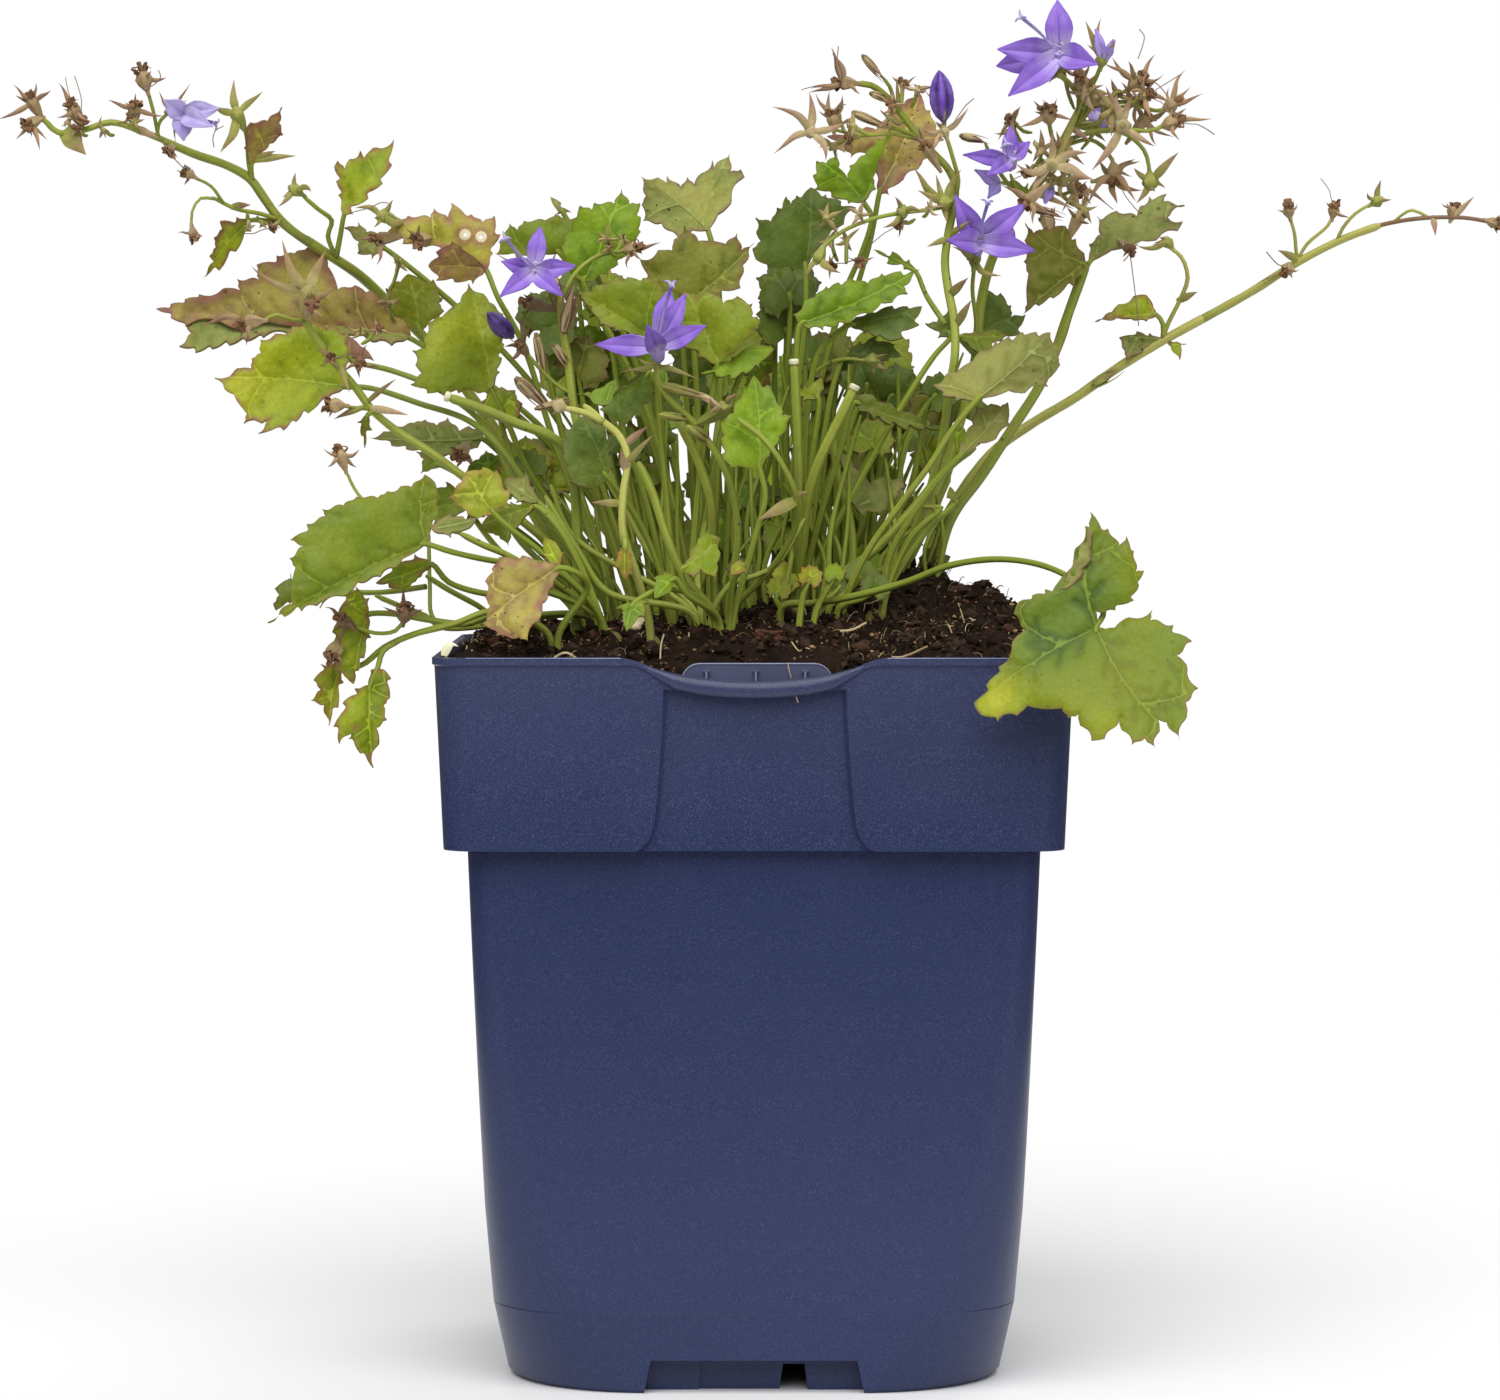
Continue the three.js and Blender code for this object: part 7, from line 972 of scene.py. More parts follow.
class Clay:
    """Points, faces and painted values gathered for one mesh."""

    def __init__(self):
        self.points = []
        self.faces = []
        self.finishes = []
        self.values = {name: [] for name in PAINTED}

    def add(self, points, faces, finish, **painted):
        first = len(self.points)
        self.points.extend(points)
        self.faces.extend(tuple(first + corner for corner in face) for face in faces)
        self.finishes.extend([finish] * len(faces))
        for name in PAINTED:
            value = painted.get(name, 0.0)
            flat = np.isscalar(value)
            self.values[name].extend([value] * len(points) if flat else [float(part) for part in value])

    def to_object(self, name, double_sided=False):
        """Makes the mesh. A double-sided one has a finish for the back after each one for the front."""
        piece = link_mesh(name, self.points, self.faces)
        mesh = piece.data
        names = sorted(set(self.finishes), key=str)
        for finish in names:
            for part in finish if double_sided else (finish,):
                mesh.materials.append(bpy.data.materials[part])
        index = {finish: i * (2 if double_sided else 1) for i, finish in enumerate(names)}
        mesh.polygons.foreach_set("material_index", [index[finish] for finish in self.finishes])
        for value_name, values in self.values.items():
            mesh.attributes.new(value_name, "FLOAT", "POINT").data.foreach_set("value", values)
        mesh.validate()
        return piece


def vectors(*places):
    return [Vector(place) for place in places]


def link_mesh(name, points, faces):
    """A new object from points in millimetres."""
    mesh = bpy.data.meshes.new(name)
    mesh.from_pydata([tuple(Vector(point) * MM) for point in points], [], faces)
    piece = bpy.data.objects.new(name, mesh)
    bpy.context.scene.collection.objects.link(piece)
    return piece


def only(piece):
    """Selects a piece alone."""
    bpy.ops.object.select_all(action="DESELECT")
    piece.select_set(True)
    bpy.context.view_layer.objects.active = piece


def apply_modifier(piece, kind, **settings):
    only(piece)
    modifier = piece.modifiers.new(kind.title(), kind)
    for name, value in settings.items():
        setattr(modifier, name, value)
    bpy.ops.object.modifier_apply(modifier=modifier.name)


def join(piece, *others):
    only(piece)
    for other in others:
        other.select_set(True)
    bpy.ops.object.join()
    return piece


def smooth(piece, angle=50):
    only(piece)
    bpy.ops.object.shade_smooth_by_angle(angle=math.radians(angle))


def settle(piece, slot, *nodes):
    """Sets a finished piece on the object in place of the nodes it stands for, which it hides; the slot is
    not used.
    """
    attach(piece, "root")
    if nodes:
        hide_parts(*nodes)


def finish_piece(name, solid, crease, slot, *nodes, sheets=None, thickness=0.0):
    """Makes one piece of its solid parts and its thin ones, thickens these, and settles it."""
    piece = solid.to_object(name)
    if sheets and sheets.points:
        cut = sheets.to_object("sheets", double_sided=True)
        apply_modifier(cut, "SOLIDIFY", thickness=thickness, offset=0.0, use_even_offset=False,
                       material_offset=1)
        join(piece, cut)
    smooth(piece, crease)
    settle(piece, slot, *nodes)


def frames(route, hint=None):
    """Two directions across a route at each of its points, turned as little as may be on the way."""
    count = len(route)
    across = []
    side = None
    for i in range(count):
        tangent = (route[min(i + 1, count - 1)] - route[max(i - 1, 0)]).normalized()
        if side is None:
            side = hint.cross(tangent) if hint is not None else tangent.orthogonal()
            if side.length < 0.1:
                side = tangent.orthogonal()
        side = (side - tangent * side.dot(tangent)).normalized()
        across.append((side.copy(), tangent.cross(side)))
    return across


def bands(rings, wide, closed=True, back=False):
    """The faces between rings of points that follow one another, or between open rows."""
    faces = []
    for first in range(0, (rings - 1) * wide, wide):
        for k in range(wide if closed else wide - 1):
            after = (k + 1) % wide
            face = (first + k, first + after, first + wide + after, first + wide + k)
            faces.append((face[0], *face[:0:-1]) if back else face)
    return faces


def turned(way, angle, axis):
    return Matrix.Rotation(angle, 3, axis) @ way


def any_way(draw):
    """A random direction, longer towards the corners of its cube."""
    return Vector((draw.uniform(-1, 1), draw.uniform(-1, 1), draw.uniform(-1, 1)))


def sweep(clay, route, radii, sides, finish, shade=0.5, ridges=0, ridge=0.0, spiral=0.0, along=(0.0, 1.0)):
    """A tube along a route, closed at both ends, with lengthwise ridges where they are asked for."""
    count = len(route)
    points, place, round_about = [], [], []
    for i, (centre, (side, up)) in enumerate(zip(route, frames(route))):
        for k in range(sides):
            wave = math.cos(ridges * 2 * math.pi * k / sides)
            angle = 2 * math.pi * k / sides + spiral * i / count
            radius = radii[i] * (1 + ridge * wave)
            points.append(centre + side * radius * math.cos(angle) + up * radius * math.sin(angle))
            place.append(along[0] + (along[1] - along[0]) * i / (count - 1))
            round_about.append(wave if ridges else 0.0)
    faces = bands(count, sides)
    points += [route[0], route[-1]]
    place += list(along)
    round_about += [0.0, 0.0]
    last = (count - 1) * sides
    for k in range(sides):
        after = (k + 1) % sides
        faces.append((after, k, count * sides))
        faces.append((last + k, last + after, count * sides + 1))
    clay.add(points, faces, finish, along=place, across=round_about, shade=shade)


# Across a sepal or bract: a thin body with a keel.
BLADE_SECTION = [(-1, 0), (-0.5, 0.45), (0, 0.8), (0.5, 0.45), (1, 0), (0.5, -0.25), (0, 0.1),
                 (-0.5, -0.25)]


def blade(clay, route, half_width, thickness, finish, hint, shade=0.5, widest=0.3):
    """A sepal or a bract: slim, keeled and drawn out to a point."""
    count = len(route)
    points = []
    place = []
    for i, (centre, (side, up)) in enumerate(zip(route, frames(route, hint))):
        t = i / (count - 1)
        swell = 0.62 + 0.38 * math.sin(math.pi / 2 * min(1, t / widest))
        taper = 1 if t < widest else max(0.03, 1 - ((t - widest) / (1 - widest)) ** 1.25)
        half = half_width * swell * taper
        for across, rise in BLADE_SECTION:
            points.append(centre + side * half * across + up * thickness * rise * (0.35 + 0.65 * taper))
            place.append(t)
    sides = len(BLADE_SECTION)
    faces = bands(count, sides)
    faces.append(tuple(reversed(range(sides))))
    faces.append(tuple(range((count - 1) * sides, count * sides)))
    clay.add(points, faces, finish, along=place, shade=shade)


def curved(start, end, bow, steps=9, curl=0.0, curl_way=None):
    """A curve from start to end that bows out, and curls at its end where that is asked for."""
    route = []
    length = (end - start).length
    for i in range(steps):
        t = i / (steps - 1)
        point = start.lerp(end, t) + bow * (4 * t * (1 - t))
        if curl and curl_way is not None:
            point += curl_way * length * curl * max(0, t - 0.55) ** 2 * 4
        route.append(point)
    return route


# Leaves

def signed_area(outline):
    x, y = outline[:, 0], outline[:, 1]
    return 0.5 * float(np.sum(x * np.roll(y, -1) - y * np.roll(x, -1)))


def gap_to_lines(points, starts, ends):
    """The distance from each point to the nearest of the lines."""
    if len(starts) == 0:
        return np.full(len(points), 99.0)
    way = ends - starts
    long = np.maximum((way**2).sum(1), 1e-9)
    t = np.clip(((points[:, None, :] - starts[None]) * way[None]).sum(2) / long[None], 0, 1)
    near = starts[None] + t[..., None] * way[None]
    return np.sqrt(((points[:, None, :] - near) ** 2).sum(2)).min(1)


def inside(points, outline):
    x, y = points[:, 0][:, None], points[:, 1][:, None]
    ax, ay = outline[:, 0][None], outline[:, 1][None]
    bx, by = np.roll(outline[:, 0], -1)[None], np.roll(outline[:, 1], -1)[None]
    crosses = (ay > y) != (by > y)
    where = ax + (y - ay) * (bx - ax) / np.where(np.abs(by - ay) < 1e-9, 1e-9, by - ay)
    return (np.sum(crosses & (x < where), axis=1) % 2) == 1


def as_lines(routes):
    starts = [point for route in routes for point in route[:-1]]
    ends = [point for route in routes for point in route[1:]]
    return np.array(starts).reshape(-1, 2), np.array(ends).reshape(-1, 2)


def is_tip(corners, i):
    """Whether a corner of the outline stands out as a tooth."""
    before, here, after = corners[i - 1], corners[i], corners[(i + 1) % len(corners)]
    one, two = here - before, after - here
    return i != 0 and one[0] * two[1] - one[1] * two[0] > 0


def finish_margin(corners, draw):
    """The outline with sharp teeth and round notches, and small teeth where it was drawn without them."""
    margin = []
    heart = corners[0]
    count = len(corners)
    tips = [is_tip(corners, i) for i in range(count)]
    for i in range(count):
        start, end = corners[i], corners[(i + 1) % count]
        way = end - start
        length = float(np.hypot(*way))
        outward = np.array([way[1], -way[0]]) / max(length, 1e-6)
        outbound = np.hypot(*(end - heart)) > np.hypot(*(start - heart))
        a_tip, b_tip = tips[i], tips[(i + 1) % count]
        if a_tip and b_tip and length > 2.4:
            teeth = max(1, round(length / 3.1))
            depth = min(0.95, 0.24 * length / teeth)
            shape = [(0.0, 0.0), (0.1, -0.9), (0.22, -0.95), (0.45, -0.45), (0.7, -0.12), (0.88, -0.04)]
            if not outbound:
                shape = [(0.0, 0.0), *[(1 - u, rise) for u, rise in reversed(shape[1:])]]
            for tooth in range(teeth):
                cut = depth * draw.uniform(0.6, 1.25)
                for u, rise in shape:
                    margin.append(start + way * (tooth + u) / teeth + outward * cut * rise)
            continue
        steps = max(2, round(length / 0.6))
        extra = 0.4 * draw.uniform(0.5, 1.2) if length > 4.2 else 0.0
        for k in range(steps):
            t = k / steps
            if a_tip != b_tip:
                u = t if b_tip else 1 - t
                bulge = 0.075 * length * math.sin(2 * math.pi * u)
                bulge += extra * max(0.0, 1 - abs(u - 0.4) / 0.14)
            else:
                bulge = 0.05 * length * math.sin(math.pi * t)
            margin.append(start + way * t + outward * bulge)
    return np.array(margin)


def branch_point(veins, tip):
    """Where on the veins drawn so far the vein of a tip leaves: the shortest natural fork."""
    best, where = 1e9, None
    for vein in veins:
        for k in range(0, max(1, int(0.8 * len(vein)))):
            at, ahead = vein[k], vein[min(k + 1, len(vein) - 1)]
            way = tip - at
            span = float(np.hypot(*way))
            run = ahead - at
            cosine = float(np.dot(run, way)) / max(1e-6, span * np.hypot(*run))
            turn = math.acos(max(-1.0, min(1.0, cosine)))
            if turn < 0.38 or (k > 0 and turn > 1.15):
                continue
            cost = span * (1 + 0.45 * abs(turn - 0.65))
            if cost < best:
                best, where = cost, at
    return where


def find_veins(corners, step):
    """Veins that fork from the heart to the teeth, and side veins on them, as curves on the blade."""
    heart = corners[0]
    tips = []
    count = len(corners)
    for i in range(1, count):
        before, here, after = corners[i - 1], corners[i], corners[(i + 1) % count]
        one, two = here - before, after - here
        lengths = max(1e-6, np.hypot(*one) * np.hypot(*two))
        if is_tip(corners, i) and np.dot(one, two) / lengths < 0.8 and np.hypot(*(here - heart)) > 2.5:
            tips.append(here)
    if not tips:
        tips = [max(corners[1:], key=lambda corner: np.hypot(*(corner - heart)))]
    tips.sort(key=lambda tip: -np.hypot(*(tip - heart)))
    length = float(np.hypot(*(tips[0] - heart)))
    middle = (tips[0] - heart) / length
    veins = []
    for tip in tips:
        start = heart if not veins else branch_point(veins, tip)
        if start is None:
            continue
        way = tip - start
        span = float(np.hypot(*way))
        side = np.array([-way[1], way[0]]) * (0.07 if np.dot([-way[1], way[0]], middle) > 0 else -0.07)
        if not veins:
            side *= 0.4
        steps = max(3, round(span / step))
        veins.append(np.array([start + way * t + side * 4 * t * (1 - t)
                               for t in np.linspace(0, 1 - 0.3 / max(span, 1), steps)]))
    twigs = []
    for vein in veins:
        span = float(np.hypot(*(vein[-1] - vein[0])))
        for k in range(1, int(span / 2.3)):
            at = vein[min(len(vein) - 2, round(k * 2.3 / span * (len(vein) - 1)))]
            ahead = (vein[-1] - vein[0]) / span
            side = 1 if k % 2 else -1
            way = np.array([ahead[0] * 0.7 - side * ahead[1] * 0.71,
                            ahead[1] * 0.7 + side * ahead[0] * 0.71])
            reach = min(3.8, 0.38 * (span - k * 2.3) + 0.9)
            parts = np.linspace(0.12, 1, max(3, round(reach / step)))
            twigs.append(np.array([at + way * reach * t for t in parts]))
    return veins, twigs, middle


def trim_veins(routes, margin, rim_lines, step):
    """The veins as far as they run well inside the margin. One that is too short gives nothing."""
    kept = []
    for route in routes:
        good = inside(route, margin) & (gap_to_lines(route, *rim_lines) > 0.3 * step)
        stop = len(route) if good[1:].all() else 1 + int(np.argmin(good[1:]))
        if stop >= 3:
            kept.append(route[:stop] if good[0] else route[1:stop])
    return kept


def cut_blade(margin, rim_lines, lines, holes, step):
    """The flat mesh of a leaf: its margin, its veins and its holes joined by triangles."""
    low, high = margin.min(0), margin.max(0)
    loose = []
    for row, z in enumerate(np.arange(low[1], high[1], step * 0.87)):
        shift = 0.5 * step if row % 2 else 0
        loose += [np.array([x + shift, z]) for x in np.arange(low[0], high[0], step)]
    loose = np.array(loose)
    loose = loose[inside(loose, margin)]
    loose = loose[gap_to_lines(loose, *rim_lines) > 0.45 * step]
    loose = loose[gap_to_lines(loose, *as_lines(lines)) > 0.4 * step]
    rings = []
    turn = np.linspace(0, 2 * math.pi, 12, endpoint=False)
    for x, z, radius in holes:
        rings += [np.stack([x + radius * part * np.cos(turn), z + radius * part * np.sin(turn)], 1)
                  for part in (1.0, 1.7)]
        loose = loose[np.hypot(loose[:, 0] - x, loose[:, 1] - z) > radius * 1.9]
    points = [tuple(point) for point in margin]
    edges = []
    for route in lines:
        first = len(points)
        points += [tuple(point) for point in route]
        edges += [(first + k, first + k + 1) for k in range(len(route) - 1)]
    points += [tuple(point) for ring in rings for point in ring]
    points += [tuple(point) for point in loose]
    outline = [list(range(len(margin)))]
    flat, _, faces, *_ = geometry.delaunay_2d_cdt(vectors(*points), edges, outline, 1, 1e-5)
    flat = np.array([tuple(point) for point in flat])
    if len(holes):
        centres = np.array([flat[list(face)].mean(0) for face in faces])
        away = centres[:, None] - holes[None, :, :2]
        gone = (np.hypot(away[..., 0], away[..., 1]) < holes[None, :, 2]).any(1)
        faces = [face for face, out in zip(faces, gone) if not out]
    used = sorted({corner for face in faces for corner in face})
    order = {corner: i for i, corner in enumerate(used)}
    return flat[used], [tuple(order[corner] for corner in face) for face in faces]


def leaf(sheets, clay, shoot, entry, draw):
    """A leaf: a blade cut along its measured margin, swollen between its veins, with its stalk."""
    settings = bpy.context.scene.leaf_settings
    plane = shoot["plane"]
    step = settings.mesh_step / MM
    corners = np.array([entry["heart"][:2], *entry["edge"]], float)
    if signed_area(corners) < 0:
        corners = np.concatenate([corners[:1], corners[:0:-1]])
    margin = finish_margin(corners, draw)
    rim_lines = (margin, np.roll(margin, -1, axis=0))
    veins, twigs, middle = find_veins(corners, step)
    holes = np.array(entry.get("holes", []), float).reshape(-1, 3)
    strong = trim_veins(veins, margin, rim_lines, step)
    fine = trim_veins(twigs, margin, rim_lines, step)
    flat, faces = cut_blade(margin, rim_lines, strong + fine, holes, step)

    under = entry["tint"].startswith("under")
    seed = draw.uniform(0, 90)
    fold = draw.uniform(0.08, 0.42) if len(corners) > 6 else draw.uniform(0.0, 0.15)
    heart = corners[0]

    def raised(places, gap, rim):
        """How far the upper side stands out from the leaf's plane at each place."""
        away = places - heart
        reach = np.hypot(away[:, 0], away[:, 1])
        aside = np.abs(away[:, 0] * middle[1] - away[:, 1] * middle[0])
        wave = np.array([noise.noise(Vector((x / 8, z / 8, seed))) for x, z in places])
        ripple = np.array([noise.noise(Vector((x / 2.6, z / 2.6, seed + 7))) for x, z in places])
        up = settings.vein_depth / MM * (1 - np.exp(-gap / 0.9))
        up -= settings.margin_curl / MM * np.exp(-rim / 1.1) * (0.7 + 1.2 * wave)
        up += settings.waviness / MM * wave * np.minimum(1, reach / 6)
        up += 0.35 * ripple * np.exp(-rim / 2.0) + fold * aside
        return up

    def depth_at(places, up):
        away = places - np.array(entry["heart"][:2])
        depth = entry["heart"][2] + entry["lean"][0] * away[:, 0] + entry["lean"][1] * away[:, 1]
        return depth + (up if under else -up)

    def placed(places, depths, out=0.0):
        return [on_sight((x, z, y + out), plane) for (x, z), y in zip(places, depths)]

    gap = np.minimum(gap_to_lines(flat, *as_lines(strong)), gap_to_lines(flat, *as_lines(fine)) + 0.16)
    rim = gap_to_lines(flat, *rim_lines)
    spot = (np.hypot(flat[:, None, 0] - holes[None, :, 0], flat[:, None, 1] - holes[None, :, 1]).min(1)
            if len(holes) else np.full(len(flat), 9.0))
    # A negative tone is painted shade, a positive one a yellow patch.
    tone = np.zeros(len(flat))
    for x, z, radius, amount in entry.get("tones", []):
        tone += amount * np.exp(-((flat[:, 0] - x) ** 2 + (flat[:, 1] - z) ** 2) / radius ** 2)
    depth = depth_at(flat, raised(flat, gap, rim))
    shade = draw.random()
    back = LEAF_BACKS.get(entry["tint"], "leaf_under")
    places = placed(flat, depth)
    sheets.add(places, faces, ("leaf_" + entry["tint"], back), vein=gap, rim=rim, shade=shade, spot=spot,
               tone=tone, along=np.hypot(*(flat - heart).T) / 20)
    for vein in sorted(strong, key=lambda route: -np.hypot(*(route[-1] - route[0])))[:RIBS]:
        heights = raised(vein, np.zeros(len(vein)), gap_to_lines(vein, *rim_lines))
        route = placed(vein, depth_at(vein, heights), -0.2 if under else 0.2)
        span = float(np.hypot(*(vein[-1] - vein[0])))
        thick = 0.08 + 0.007 * min(span, 24)
        radii = [thick * (1 - 0.8 * k / (len(route) - 1)) for k in range(len(route))]
        sweep(clay, route, radii, 5, "rib", shade=shade)
    if not entry.get("bare"):
        leaf_stalk(clay, shoot, entry, places, under, draw)


def leaf_stalk(clay, shoot, entry, places, under, draw):
    """The stalk of a leaf, from a little way into the blade to a stem or to the crown."""
    start = on_sight(entry["heart"], shoot["plane"])
    start.y += -0.1 if under else 0.25
    centre = sum(places, Vector()) / len(places)
    within = start.lerp(centre, min(0.5, 1.2 / max(0.1, (centre - start).length)))
    within.y = start.y + (within.y - start.y) * 0.9
    joins = entry.get("joins")
    end = on_sight(joins, shoot["plane"]) if joins else crown_top(shoot, start)
    if "way" in entry:
        between = [on_sight(point, shoot["plane"]) for point in entry["way"]]
    else:
        between = [end.lerp(start, 0.45)]
        between[0].z = end.z + 0.62 * (start.z - end.z)
    stops = [within, start, *between, end]
    if not joins:
        stops.append(end.lerp(Vector((*shoot["root"], end.z)), 0.3) - Vector((0, 0, STALK_DEPTH)))
    stalk(clay, stops, 0.5 if joins else 0.66, "leaf_stalk", draw, grow=0.72)


def stalk(clay, stops, radius, finish, draw, grow=1.0, step=1.3):
    """A ridged stalk that thins towards its upper end by the factor grow."""
    ridges = bpy.context.scene.leaf_settings.stalk_ridges
    route = smooth_route(stops, step)
    count = len(route)
    radii = [radius * (grow + (1 - grow) * k / (count - 1)) for k in range(count)]
    seed = draw.uniform(0, 90)
    radii = [r * (1 + 0.09 * noise.noise(Vector((k * 0.35, seed, 0)))) for k, r in enumerate(radii)]
    radii[0] *= 0.6
    sides = 10 if radius > 0.55 else 8 if radius > 0.42 else 6
    if sides < 10:
        ridges = 0
    sweep(clay, route, radii, sides, finish, shade=draw.random(), ridges=ridges, ridge=0.07)


def calyx(clay, shoot, entry, draw):
    """A swollen ovary on its stalk, with a sepal to each measured tip and the rest hidden behind it."""
    plane = shoot["plane"]
    centre, foot = on_sight(entry["at"], plane), on_sight(entry["from"], plane)
    axis = (centre - foot).normalized()
    ovary = entry["ovary"]
    tint = entry["tint"]
    shade = draw.random()
    stops = [foot - axis * 0.8, foot, foot.lerp(centre, 0.55), centre, centre + axis * 0.55 * ovary,
             centre + axis * 0.8 * ovary]
    radii = [0.3, 0.4, 0.72 * ovary, 0.92 * ovary, 0.62 * ovary, 0.3 * ovary]
    route = smooth_route(stops, 0.45)
    lengths = np.cumsum([0, *[(b - a).length for a, b in zip(route, route[1:])]])
    marks = np.cumsum([0, *[(b - a).length for a, b in zip(stops, stops[1:])]])
    widths = list(np.interp(lengths / lengths[-1], marks / marks[-1], radii))
    sweep(clay, route, widths, 10, "calyx_" + tint, shade, ridges=5, ridge=0.1, along=(0.0, 0.35))
    tips = [on_sight(tip, plane) for tip in entry["tips"]]
    reach = sum(((tip - centre).length for tip in tips), 0.0) / max(1, len(tips))
    side = axis.cross(TO_FRONT)
    side = side.normalized() if side.length > 0.2 else TO_RIGHT.copy()
    for k in range(max(0, SEPALS - len(tips)) if tips else SEPALS - 1):
        turn = (k - 1.5) * 0.8 + draw.uniform(-0.2, 0.2)
        way = (axis * 0.45 + TO_BACK * math.cos(turn) + side * 0.8 * math.sin(turn)).normalized()
        tips.append(centre + way * max(2.0, 0.55 * reach))
    withered = tint in ("dried", "dark")
    for tip in tips:
        way = tip - centre
        length = way.length
        out = way.normalized()
        start = centre + out * 0.35 * ovary
        bow = (axis * -0.05 + TO_FRONT * 0.08) * length
        wild = any_way(draw)
        curl_way = (wild - out * wild.dot(out)).normalized()
        hint = TO_FRONT if abs(out.y) < 0.9 else axis
        half = min(0.55 * ovary, 0.08 * length + 0.22) * draw.uniform(0.8, 1.15) * (0.72 if withered else 1)
        bow += curl_way * length * draw.uniform(0.08, 0.26)
        curl = draw.uniform(0.15, 0.5) if withered else draw.uniform(0.05, 0.28)
        route = curved(start, tip, bow, 11, curl, curl_way)
        blade(clay, route, half, 0.32, "sepal_" + tint, hint.cross(out).cross(out) * -1, shade, 0.28)
    top = centre + axis * 0.6 * ovary
    if withered:
        withered_flower(clay, top, axis, ovary, draw)
        return
    scar = [top + axis * rise for rise in (-0.2, 0.35, 0.5, 0.42)]
    sweep(clay, scar, [part * ovary for part in (0.42, 0.4, 0.3, 0.12)], 10, "scar", shade)


def withered_flower(clay, top, axis, ovary, draw):
    """Shrunken lobes on a calyx, now and then with the style left on it."""
    for _ in range(8):
        wild = any_way(draw).normalized()
        way = (axis * 1.1 + wild).normalized()
        length = draw.uniform(1.0, 2.1) * max(0.7, ovary)
        route = curved(top - axis * 0.4, top + way * length, wild * 0.45, 8, -1.1, way + wild * 0.6)
        blade(clay, route, draw.uniform(0.4, 0.75), 0.3, "withered", wild, draw.random(), 0.5)
    if draw.random() < 0.45:
        wild = any_way(draw).normalized()
        way = (axis + wild * 0.5).normalized()
        route = curved(top, top + way * draw.uniform(3, 5), wild * 0.9, 11, 1.1, wild)
        sweep(clay, route, [0.11] * 11, 4, "thread", draw.random())


def husk(clay, start, end, width, fresh, draw):
    """A closed flower in its calyx, fresh or dried: five sepals wrapped round it, apart at their tips."""
    axis = (end - start).normalized()
    route = [start.lerp(end, t) for t in np.linspace(0, 0.92, 10)]
    radii = [0.5 * width * r for r in (0.35, 0.7, 0.9, 0.95, 0.95, 0.85, 0.7, 0.5, 0.3, 0.06)]
    body, sepal = ("calyx_green", "sepal_green") if fresh else ("husk", "sepal_rosy")
    sweep(clay, route, radii, 15, body, draw.random(), ridges=5, ridge=0.16, spiral=0.5)
    side = axis.orthogonal().normalized()
    for k in range(SEPALS):
        out = turned(side, 2 * math.pi * k / SEPALS + draw.uniform(-0.2, 0.2), axis)
        tip = end + out * width * draw.uniform(0.05, 0.55) + axis * draw.uniform(-0.8, 1.2)
        low = start.lerp(end, 0.1) + out * 0.36 * width
        route = curved(low, tip, out * 0.16 * width)
        blade(clay, route, 0.27 * width, 0.2, sepal, out, draw.random())


def stem(clay, shoot, entry, draw):
    """A stem or a side branch of a shoot, with pale pith where it was cut."""
    stops = [on_sight(point, shoot["plane"]) for point in entry["route"]]
    if entry.get("to_root"):
        top = crown_top(shoot, stops[-1])
        stops += [top, top - Vector((0, 0, STALK_DEPTH))]
    finish = "pale_stalk" if shoot["name"] in PALE_STEMS else "green_stalk"
    if entry.get("dry"):
        finish = "dry_stalk"
    radius = entry["radius"]
    stalk(clay, stops, radius * (0.8 if radius <= 0.55 else 0.94), finish, draw, grow=0.85)
    if entry.get("cut"):
        ahead = (stops[0] - stops[1]).normalized()
        end = [stops[0] + ahead * part for part in (-0.5, 0.05, 0.3, 0.42)]
        sweep(clay, end, [radius * part for part in (0.86, 0.9, 0.84, 0.5)], 12, "pith", draw.random())


def build_shoot(shoot, slot, *nodes, name=None):
    """One leafy stem or tuft, with all that grows on it, as one piece."""
    draw = random.Random(shoot["name"])
    sheets, clay = Clay(), Clay()
    plane = shoot["plane"]
    for entry in shoot.get("leaves", []):
        leaf(sheets, clay, shoot, entry, draw)
    for entry in shoot.get("stems", []):
        stem(clay, shoot, entry, draw)
    for entry in shoot.get("calyces", []):
        calyx(clay, shoot, entry, draw)
    for start, end, width in shoot.get("blades", []):
        start, end = on_sight(start, plane), on_sight(end, plane)
        start = start.lerp(end, -0.6 / (end - start).length)
        bow = Vector((0, -1, 0.3)) * 0.06 * (end - start).length
        tint = draw.choice(["sepal_green", "sepal_green", "sepal_rosy"])
        blade(clay, curved(start, end, bow), 0.5 * width, 0.3, tint, TO_FRONT, draw.random(), 0.4)
    for start, end, width in shoot.get("husks", []):
        fresh = shoot["name"] in FRESH_HUSKS
        husk(clay, on_sight(start, plane), on_sight(end, plane), width * 1.3, fresh, draw)
    root_x, root_y = shoot["root"]
    ground = soil_height(root_x, root_y)
    crown = [Vector((root_x, root_y, ground + rise)) for rise in (-6, -2, -0.6, 0.4, 1.1, 1.5)]
    widths = [shoot["stump"] * part for part in (1.0, 1.0, 0.95, 0.8, 0.5, 0.15)]
    sweep(clay, crown, widths, 12, "crown", draw.random(), ridges=4, ridge=0.1)
    thickness = bpy.context.scene.leaf_settings.thickness
    finish_piece(name or shoot["name"] + "_fine", clay, PLANT_CREASE, slot, *nodes, sheets=sheets,
                 thickness=thickness)


